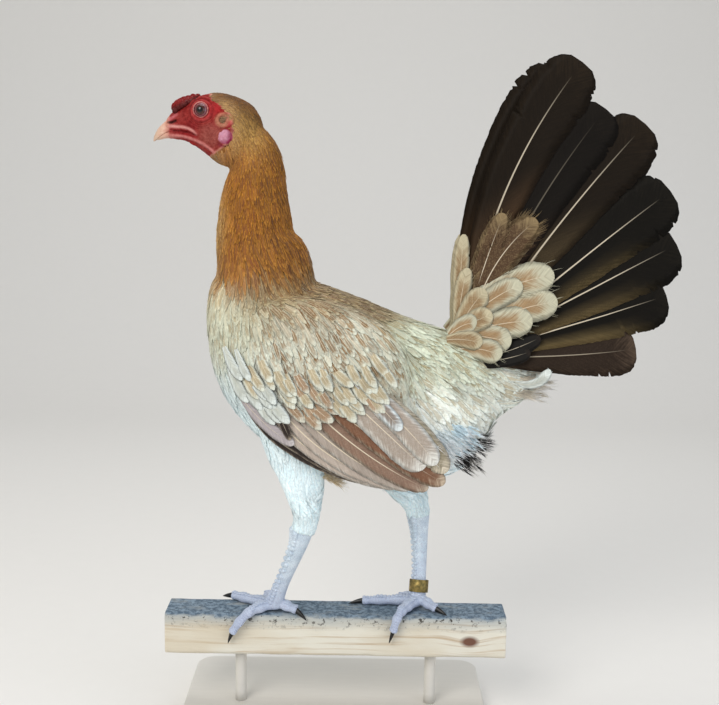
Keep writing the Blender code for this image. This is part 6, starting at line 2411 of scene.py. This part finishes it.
    def build_bill(self) -> None:
        """The hooked upper half with its nostrils and the flatter lower half."""
        for name, table, upward in (("upper_bill", self.upper_bill, 1), ("lower_bill", self.lower_bill, -1)):
            root = -1.8 * smooth(spline(table, 70)[:, 0], -144.5, -139)
            shape = fused(name, [rings_shape(self.arch_rings(table, 70, 56, upward, root))], 0.32, 4)
            x, _, z = shape.points.T
            ridges = 0.05 * np.sin(x * 2.2 + z) * smooth(-x, 143, 150)
            groove = 1.3 * smooth(-x, 134, 140) * hump(line_distance(x, z, self.nostril), 0.8)
            shape.points = shape.points + point_normals(shape) * (ridges - groove)[:, None]
            tone = self.tone(shape.points)
            tone[:, 3] = 1 - smooth(-shape.points[:, 0], -self.horn_end - 0.4, -self.horn_end + 3.4)
            shape.tints["tone"] = tone
            shape.values["reach"] = smooth(-shape.points[:, 0], 148, 157)
            piece(name, shape, Horn(), (f"bill_{name[:5]}",))

    def build_comb(self) -> None:
        """Three low rows of knobs melted together and wrinkled."""
        draw = np.random.default_rng(81)
        shapes = []
        for y, size, count in ((0.0, 1.0, 7), (-4.0, 0.78, 6), (4.0, 0.78, 6), (-6.6, 0.62, 6),
                               (6.6, 0.62, 6)):
            for x, z, radius in spline(COMB_LINE, count):
                grow = radius * size * draw.uniform(0.85, 1.12)
                spot = (x + draw.uniform(-0.5, 0.5), y, z - 0.6 - 0.075 * y * y)
                shapes.append(rings_shape(ball_rings(spot, (grow * 1.05, grow * 0.85, grow * 1.05), 12, 16)))
        bed = tube_rings(np.array([(x, 0, z - 2.6) for x, z, _ in spline(COMB_LINE, 12)]),
                         np.tile((3.4, 6.0), (12, 1)), 24)
        shapes.append(rings_shape(bed))
        shape = fused("comb", shapes, 0.45, 3)
        shape.points = shape.points + point_normals(shape) * (ripple(shape.points, 1.5) * 0.28)[:, None]
        low = smooth(-shape.points[:, 2] + (shape.points[:, 0] + 130) * 0.5, -542, -537)[:, None]
        colour = (1 - low) * np.array(linear("860E10")) + low * np.array(linear("520708"))
        shape.tints["tone"] = np.hstack((colour, np.ones((len(low), 1))))
        piece("pea_comb", shape, BareSkin("comb skin", 0.44, 0.8), ("comb",))


class PlateRow:
    """A Geometry Nodes tree that sets an overlapping plate on each point of a row."""

    sockets = (("Plate width", 7.0), ("Plate length", 4.4), ("Plate rise", 1.2), ("Size change", 0.08))

    def __init__(self, finish: Finish) -> None:
        """Makes the tree, its inputs and its nodes.

        Args:
            finish: the finish of the plates.
        """
        self.finish = finish
        self.tree = bpy.data.node_groups.new("scute plates", "GeometryNodeTree")
        interface = self.tree.interface
        interface.new_socket("Geometry", in_out="INPUT", socket_type="NodeSocketGeometry")
        self.ids = {}
        for name, value in self.sockets:
            made = interface.new_socket(name, in_out="INPUT", socket_type="NodeSocketFloat")
            made.default_value = value
            self.ids[name] = made.identifier
        seed = interface.new_socket("Seed", in_out="INPUT", socket_type="NodeSocketInt")
        seed.default_value = 5
        self.ids["Seed"] = seed.identifier
        interface.new_socket("Geometry", in_out="OUTPUT", socket_type="NodeSocketGeometry")
        self.wire()

    def wire(self) -> None:
        """Builds the nodes."""
        tree = self.tree
        points = add_node(tree, "NodeGroupInput")
        given = points.node.outputs
        ball = add_node(tree, "GeometryNodeMeshUVSphere", {"Segments": 14, "Rings": 7, "Radius": 0.5})
        size = add_node(tree, JOIN, {0: given["Plate width"], 1: given["Plate length"],
                                                       2: given["Plate rise"]})
        plate = add_node(tree, "GeometryNodeTransform", {"Geometry": ball, "Scale": size})
        facing, along, scale = (
            add_node(tree, "GeometryNodeInputNamedAttribute", {"Name": name}, data_type=kind)
            for name, kind in (("facing", "FLOAT_VECTOR"), ("along", "FLOAT_VECTOR"), ("scale", "FLOAT")))
        turned = add_node(tree, "FunctionNodeAlignRotationToVector", {"Vector": facing}, axis="Z")
        turned = add_node(tree, "FunctionNodeAlignRotationToVector", {"Rotation": turned, "Vector": along},
                          axis="Y", pivot_axis="Z")
        low = add_node(tree, MATH, {0: 1.0, 1: given["Size change"]}, operation="SUBTRACT")
        high = add_node(tree, MATH, {0: 1.0, 1: given["Size change"]}, operation="ADD")
        chance = add_node(tree, "FunctionNodeRandomValue", {2: low, 3: high, "Seed": given["Seed"]}, 1,
                          data_type="FLOAT")
        final = add_node(tree, MATH, {0: scale, 1: chance}, operation="MULTIPLY")
        plates = add_node(tree, "GeometryNodeInstanceOnPoints", {
            "Points": points, "Instance": plate, "Rotation": turned, "Scale": final})
        plates = add_node(tree, "GeometryNodeRealizeInstances", {0: plates})
        plates = add_node(tree, "GeometryNodeSetShadeSmooth", {0: plates})
        plates = add_node(tree, "GeometryNodeSetMaterial",
                          {"Geometry": plates, "Material": self.finish.material()})
        tree.links.new(plates, tree.nodes.new("NodeGroupOutput").inputs[0])

    def lay(self, name: str, points: np.ndarray, facing: np.ndarray, along: np.ndarray, scale: np.ndarray,
            width: float, length: float, rise: float) -> Shape:
        """Sets plates on points.

        Args:
            name: a working name.
            points: the plates' middles.
            facing: the plates' outward directions.
            along: the direction of each plate's length.
            scale: each plate's size.
            width: plate width at scale 1.
            length: plate length at scale 1.
            rise: plate height at scale 1.

        Returns:
            The plates as one shape.
        """
        data = bpy.data.meshes.new(name)
        data.from_pydata((points * MM).tolist(), [], [])
        for key, rows in (("facing", facing), ("along", along)):
            layer = data.attributes.new(key, "FLOAT_VECTOR", "POINT")
            layer.data.foreach_set("vector", rows.astype(np.float32).ravel())
        data.attributes.new("scale", "FLOAT", "POINT").data.foreach_set("value", scale.astype(np.float32))
        thing = bpy.data.objects.new(name, data)
        bpy.context.scene.collection.objects.link(thing)
        maker = thing.modifiers.new("plates", "NODES")
        maker.node_group = self.tree
        for key, value in (("Plate width", width), ("Plate length", length), ("Plate rise", rise)):
            maker[self.ids[key]] = value * MM
        maker[self.ids["Size change"]] = dict(self.sockets)["Size change"]
        result = bpy.data.meshes.new_from_object(thing.evaluated_get(bpy.context.evaluated_depsgraph_get()))
        thing.modifiers.remove(maker)
        bpy.data.objects.remove(thing, do_unlink=True)
        shape = read_shape(result)
        bpy.data.meshes.remove(result)
        return shape


@dataclass
class Legs:
    """Shanks and feet with their scales and claws, and the band on the right shank.

    Attributes:
        toe_radius: radius of a toe at its root and at its claw.
        toe_steps: rings between two bends of a toe.
        claw_radius: radius of a claw at its root.
        band_z: height of the band's middle.
        band_height: height of the band.
        band_inner: its inner radius.
        band_wall: thickness of its metal.
        bar_top: height of the roost bar's top.
        bar_half: half the depth of the bar.
        bar_gap: gap between the skin and the bar.
    """

    toe_radius: tuple = (4.9, 3.5)
    toe_steps: int = 15
    claw_radius: float = 2.5
    band_z: float = 118.0
    band_height: float = 11.0
    band_inner: float = 7.6
    band_wall: float = 1.0
    bar_top: float = 100.0
    bar_half: float = 19.0
    bar_gap: float = 0.35

    def build(self) -> None:
        """Makes both legs and the band."""
        plates = PlateRow(LegScale())
        for side, shank in ((Side.LEFT, SHANK_LEFT), (Side.RIGHT, SHANK_RIGHT)):
            self.build_leg(side, shank, plates)
        self.build_band()

    def clear_of_bar(self, points: np.ndarray) -> np.ndarray:
        """Points pressed out of the roost bar, as soft pads flatten on it.

        Args:
            points: rows of x, y, z.

        Returns:
            The points, moved.
        """
        pressed = points.copy()
        off = np.abs(points[:, 1])
        above = (off < self.bar_half) & (points[:, 2] < self.bar_top + self.bar_gap)
        pressed[above, 2] = self.bar_top + self.bar_gap
        beside = ((off < self.bar_half + self.bar_gap) & (points[:, 2] < self.bar_top - 3)
                  & ~(off < self.bar_half - 4))
        pressed[beside, 1] = np.sign(points[beside, 1]) * (self.bar_half + self.bar_gap)
        return pressed

    def build_leg(self, side: Side, shank: Rows, plates: PlateRow) -> None:
        """One shank and foot in one skin, with front plates, toe plates and claws.

        Args:
            side: which side of the hen.
            shank: the shank's middle line.
            plates: lays the plates.
        """
        path = spline(shank, 40)
        radii = spline(SHANK_RADII, 40)
        forms = [rings_shape(tube_rings(path, radii, 32)),
                 rings_shape(ball_rings(FOOT_PADS[side.word], PAD_RADII, 20, 28))]
        rows = []
        for number, (bends, tip) in TOES[side.word].items():
            steps = self.toe_steps * (len(bends) - 1)
            toe = spline(bends, steps)
            share = np.linspace(0, 1, steps)
            knuckle = 1 + 0.09 * np.cos(2 * math.pi * share * (len(bends) - 1))
            radius = (self.toe_radius[0] + (self.toe_radius[1] - self.toe_radius[0]) * share) * knuckle
            radius[0] *= 0.6
            ends = np.vstack((toe, toe[-1] + unit(toe[-1] - toe[-2]) * 1.2))
            girth = np.repeat(np.append(radius, radius[-1] * 0.55)[:, None], 2, axis=1)
            forms.append(rings_shape(tube_rings(ends, girth, 18, (0.31, 0.12, 1.0))))
            along = unit(np.gradient(toe, axis=0))
            outward = self.outward(toe, along)
            chosen = np.arange(4, steps - 1, 3)
            rows.append((toe[chosen] + outward[chosen] * (radius[chosen, None] - 0.35), outward[chosen],
                         along[chosen], radius[chosen] / 4.2))
            self.build_claw(side, number, toe[-1], unit(toe[-1] - toe[-2]), np.array(tip, dtype=float))
        shape = fused("leg", forms, 0.8, 3)
        shape.points = self.clear_of_bar(shape.points)
        toe_points, facing, along, scale = (np.concatenate(parts) for parts in zip(*rows))
        toe_plates = plates.lay("toe_plates", toe_points, facing, along, scale, 6.6, 3.6, 1.7)
        front = self.shank_front(path, radii)
        shank_plates = plates.lay("shank_plates", *front, 1.0, 1.0, 1.0)
        whole = Shape.joined([shape, toe_plates, shank_plates])
        names = (f"shank_{side.word}", f"foot_{side.word}")
        piece(f"scaled_leg_{side.word}", whole, LegScale(), names)

    @staticmethod
    def outward(toe: np.ndarray, along: np.ndarray) -> np.ndarray:
        """Direction from a toe's middle to its upper face: up on the bar, and outwards beside it.

        Args:
            toe: points of the toe's middle line.
            along: direction of the line at each point.

        Returns:
            A direction for each point.
        """
        lean = smooth(np.abs(toe[:, 1]), 17, 23)[:, None]
        level = 0 * toe[:, 1]
        beside = np.stack((level, np.sign(toe[:, 1]), level), axis=-1)
        up = np.array((0.0, 0.0, 1.0)) * (1 - lean) + beside * lean
        return unit(up - along * (up * along).sum(axis=1, keepdims=True))

    def shank_front(self, path: np.ndarray, radii: np.ndarray) -> tuple:
        """Places of the broad plates down the front and outer side of a shank.

        Args:
            path: points of the shank's middle line.
            radii: half sizes along and across at each point.

        Returns:
            The plates' places, facings, directions and sizes.
        """
        along = unit(np.gradient(path, axis=0))
        ahead = unit(np.array((-1.0, 0.0, 0.0)) - along * (-along[:, :1]))
        chosen = np.arange(2, len(path) - 1)
        spots, facings, runs, scales = [], [], [], []
        for turn in (-0.75, 0.0, 0.75):
            beside = np.cross(along, ahead)
            face = ahead * math.cos(turn) + beside * math.sin(turn)
            reach = np.sqrt((radii[:, 0] * math.cos(turn)) ** 2 + (radii[:, 1] * math.sin(turn)) ** 2)
            shift = 0 if turn == 0 else 1
            rows = chosen[shift::2]
            spots.append(path[rows] + face[rows] * (reach[rows, None] - 0.45))
            facings.append(face[rows])
            runs.append(-along[rows])
            scales.append(reach[rows] / 6.4)
        size = np.concatenate(scales)
        return np.concatenate(spots), np.concatenate(facings), np.concatenate(runs), size * 4.6

    def build_claw(self, side: Side, number: str, root: np.ndarray, onward: np.ndarray,
                   tip: np.ndarray) -> None:
        """A curved tapering claw beyond a toe.

        Args:
            side: which side of the hen.
            number: the toe's number.
            root: the end of the toe.
            onward: the toe's direction at its end.
            tip: the claw's tip.
        """
        bend = (root + tip) / 2 + onward * 1.8
        share = np.linspace(0, 1, 18)
        path = curve_points(root - onward * 0.6, bend, tip, share)
        radius = self.claw_radius * (1 - share ** 1.4 * 0.93)
        claw = rings_shape(tube_rings(path, np.stack((radius * 1.05, radius * 0.8), axis=-1), 14,
                                      (0.31, 0.12, 1.0)))
        claw.points = self.clear_of_bar(claw.points)
        claw.values["reach"] = smooth(np.append(np.repeat(share, 14), (0.0, 1.0)), 0.15, 0.6)
        horn = Horn("claw horn", "A3A2AC", "BDBCC4", "2E2A2A", 0.36, (1.0, 1.0, 0.3))
        piece(f"claw_horn_{side.word}_{number}", claw, horn, (f"claw_{side.word}_{number}",))

    def build_band(self) -> None:
        """A flat metal band with rounded edges round the right shank."""
        top, bottom = (np.array(point, dtype=float) for point in SHANK_RIGHT[2:])
        share = (top[2] - self.band_z) / (top[2] - bottom[2])
        centre = top + (bottom - top) * share
        axis = unit(top - bottom)
        aside = unit(np.cross(axis, (0, 1, 0)))
        other = np.cross(axis, aside)
        half, inner, outer = self.band_height / 2, self.band_inner, self.band_inner + self.band_wall
        section = ((inner, -half), (outer - 0.25, -half), (outer, -half + 0.3), (outer, half - 0.3),
                   (outer - 0.25, half), (inner, half))
        turn = np.linspace(0, 2 * math.pi, 72, endpoint=False)
        points, faces = [], []
        for i, angle in enumerate(turn):
            ray = aside * math.cos(angle) + other * math.sin(angle)
            points += [centre + ray * radius + axis * height for radius, height in section]
            for j in range(6):
                a, b = i * 6 + j, i * 6 + (j + 1) % 6
                c, d = ((i + 1) % 72) * 6 + (j + 1) % 6, ((i + 1) % 72) * 6 + j
                faces.append((a, d, c, b))
        piece("brass_band", Shape(np.array(points), [np.array(faces)]), Brass(), ("leg_band",))


@dataclass
class Stand:
    """The worn roost bar, the two rods under it and the flat base.

    Attributes:
        bar: length, depth and height of the bar.
        bar_top: height of its top.
        bar_edge: radius of its long edges.
        base: length, depth and height of the base.
        base_corner: radius of its corners.
        rod_radius: radius of a rod.
        rod_span: distance between the rods.
    """

    bar: tuple = (300.0, 38.0, 38.0)
    bar_top: float = 100.0
    bar_edge: float = 4.0
    base: tuple = (270.0, 180.0, 12.0)
    base_corner: float = 18.0
    rod_radius: float = 5.0
    rod_span: float = 170.0

    def build(self) -> None:
        """Makes the bar, the rods and the base."""
        self.build_bar()
        low, high = self.base[2], self.bar_top - self.bar[2]
        for name, x in (("stand_rod_front", -self.rod_span / 2), ("stand_rod_rear", self.rod_span / 2)):
            path = np.stack((np.full(6, x), np.zeros(6), np.linspace(low + 0.05, high - 0.05, 6)), axis=-1)
            rod = rings_shape(tube_rings(path, np.full((6, 2), self.rod_radius), 40))
            piece(f"{name}_painted", rod, Paint(), (name,))
        self.build_base()

    def build_bar(self) -> None:
        """The bar as a fine rounded box whose edges are worn unevenly."""
        length, depth, height = self.bar
        centre = np.array((0.0, 0.0, self.bar_top - height / 2))
        xs = np.concatenate(([-length / 2], np.linspace(-length / 2 + 0.6, length / 2 - 0.6, 240),
                             [length / 2]))
        turn = []
        for cx, cz, start in ((1, 1, 0), (-1, 1, 90), (-1, -1, 180), (1, -1, 270)):
            for step in range(7):
                angle = math.radians(start + step * 15)
                turn.append((cx * (depth / 2 - self.bar_edge) + self.bar_edge * math.cos(angle),
                             cz * (height / 2 - self.bar_edge) + self.bar_edge * math.sin(angle)))
        outline = []
        for (y0, z0), (y1, z1) in zip(turn, turn[1:] + turn[:1]):
            steps = max(1, int(math.hypot(y1 - y0, z1 - z0) / 2.0))
            for step in range(steps):
                t = step / steps
                outline.append((y0 + (y1 - y0) * t, z0 + (z1 - z0) * t))
        ring = np.array(outline)
        points = np.stack(np.broadcast_arrays(xs[:, None], ring[None, :, 0], ring[None, :, 1] + centre[2]),
                          axis=-1).copy()
        for end in (0, -1):
            points[end, :, 1] *= 0.985
            points[end, :, 2] = centre[2] + (points[end, :, 2] - centre[2]) * 0.985
        shape = rings_shape(points)
        spots = shape.points
        edge = (smooth(np.abs(spots[:, 1]), depth / 2 - 6, depth / 2)
                * smooth(np.abs(spots[:, 2] - centre[2]), height / 2 - 6, height / 2))
        dents = np.clip(ripple(spots * (0.35, 1, 1), 7.0), 0, 1) * 1.3 * edge
        top = smooth(spots[:, 2], self.bar_top - 4, self.bar_top)
        wear = np.abs(ripple(spots * (0.4, 1, 1), 12.0, 3.0)) * 0.35 * top
        shape.points = spots - point_normals(shape) * (dents + wear)[:, None]
        piece("roost_bar", shape, Timber(), ("perch",))

    def build_base(self) -> None:
        """The base as a slab with rounded corners and a small round along its upper edge."""
        width, depth, height = self.base
        mesh = bmesh.new()
        bmesh.ops.create_cube(mesh, size=1.0)
        bmesh.ops.transform(mesh, matrix=Matrix.Translation((0, 0, height / 2 * MM)) @ Matrix.Diagonal(
            (width * MM, depth * MM, height * MM, 1)), verts=mesh.verts)
        upright = [edge for edge in mesh.edges if abs(edge.verts[0].co.z - edge.verts[1].co.z) > 0.001]
        bmesh.ops.bevel(mesh, geom=upright, offset=self.base_corner * MM, segments=12, profile=0.5,
                        affect="EDGES")
        rims = [edge for edge in mesh.edges if abs(edge.verts[0].co.z - edge.verts[1].co.z) < 0.0001
                and len(edge.link_faces) == 2
                and abs(edge.link_faces[0].normal.dot(edge.link_faces[1].normal)) < 0.5]
        bmesh.ops.bevel(mesh, geom=rims, offset=1.6 * MM, segments=4, profile=0.5, affect="EDGES")
        data = bpy.data.meshes.new("base_slab")
        mesh.to_mesh(data)
        mesh.free()
        data.materials.append(Paint().material())
        thing = bpy.data.objects.new("base_slab", data)
        bpy.context.scene.collection.objects.link(thing)
        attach(thing, BODY)
        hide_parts("stand_base")


@dataclass
class Studio:
    """Camera, lights, floor and pale world.

    Attributes:
        eye: the camera's place in metres.
        pitch: degrees that it looks down.
        roll: degrees that it is turned about its axis.
        lens: its focal length.
        key_power: watts of the light on the left.
        fill_power: watts of the light on the right.
        top_power: watts of the light overhead.
    """

    eye: tuple = (0.0170, -0.93306, 0.47872)
    pitch: float = 9.0
    roll: float = 0.95
    lens: float = 55.0
    key_power: float = 26.0
    fill_power: float = 9.0
    top_power: float = 12.0

    def build(self) -> None:
        """Sets up everything that isn't the object."""
        self.build_camera()
        self.light("key", (-0.9, -1.5, 1.5), (0.0, 0.0, 0.35), 1.1, self.key_power, "FFFBF6")
        self.light("fill", (1.5, -1.2, 0.7), (0.05, 0.0, 0.35), 1.4, self.fill_power, "EAF1FF")
        self.light("top", (0.1, 0.3, 1.9), (0.05, 0.0, 0.3), 1.2, self.top_power, "FFFFFF")
        world = bpy.data.worlds.new("pale world")
        world.use_nodes = True
        world.node_tree.nodes["Background"].inputs[0].default_value = rgba("EEF1F4")
        world.node_tree.nodes["Background"].inputs[1].default_value = 0.55
        bpy.context.scene.world = world
        bpy.context.scene.view_settings.view_transform = "Standard"
        self.build_floor()

    def build_camera(self) -> None:
        """The camera at the photograph's distance, height and tilt."""
        pitch, roll = math.radians(self.pitch), math.radians(self.roll)
        forward = Vector((0, math.cos(pitch), -math.sin(pitch)))
        level = Vector((1, 0, 0))
        upright = level.cross(forward)
        right = level * math.cos(roll) + upright * math.sin(roll)
        up = -level * math.sin(roll) + upright * math.cos(roll)
        data = bpy.data.cameras.new("camera")
        data.lens, data.sensor_width = self.lens, 36.0
        data.clip_start, data.clip_end = 0.05, 30.0
        camera = bpy.data.objects.new("camera", data)
        camera.matrix_world = Matrix((
            (right.x, up.x, -forward.x, self.eye[0]), (right.y, up.y, -forward.y, self.eye[1]),
            (right.z, up.z, -forward.z, self.eye[2]), (0, 0, 0, 1)))
        bpy.context.scene.collection.objects.link(camera)
        bpy.context.scene.camera = camera

    @staticmethod
    def light(name: str, place: Rows, aim: Rows, size: float, power: float, colour: str) -> None:
        """Adds a soft square light.

        Args:
            name: the lamp's name.
            place: where the lamp is.
            aim: where it points.
            size: width of the lamp in metres.
            power: watts.
            colour: hex code of its light.
        """
        data = bpy.data.lights.new(name, "AREA")
        data.size, data.energy, data.color = size, power, linear(colour)
        lamp = bpy.data.objects.new(name, data)
        lamp.location = place
        lamp.rotation_euler = (Vector(aim) - Vector(place)).to_track_quat("-Z", "Y").to_euler()
        bpy.context.scene.collection.objects.link(lamp)

    @staticmethod
    def build_floor() -> None:
        """A paper sweep: floor that curves up into a backdrop."""
        turn = np.linspace(0, math.pi / 2, 16)
        profile = [(-4000.0, 0.0), (1200.0, 0.0)]
        profile += ([(1200 + 900 * math.sin(a), 900 - 900 * math.cos(a)) for a in turn[1:]]
                    + [(2100.0, 4000.0)])
        xs = (-5000.0, 5000.0)
        points = np.array([(x, y, z - 0.2) for y, z in profile for x in xs])
        faces = np.array([(2 * i, 2 * i + 1, 2 * i + 3, 2 * i + 2) for i in range(len(profile) - 1)])
        floor = bpy.data.objects.new("floor", Shape(points, [faces]).mesh("floor"))
        floor.data.materials.append(Backdrop().material())
        bpy.context.scene.collection.objects.link(floor)


def main() -> None:
    """Builds the studio, then the hen from her skin outwards, then her stand."""
    Studio().build()
    coat = Coat()
    drape = Skin().build(coat)
    SmallFeathers().build(drape, coat)
    Wings().build()
    Tail().build()
    Head().build(coat)
    Legs().build()
    Stand().build()


if __name__ == "__main__":
    main()
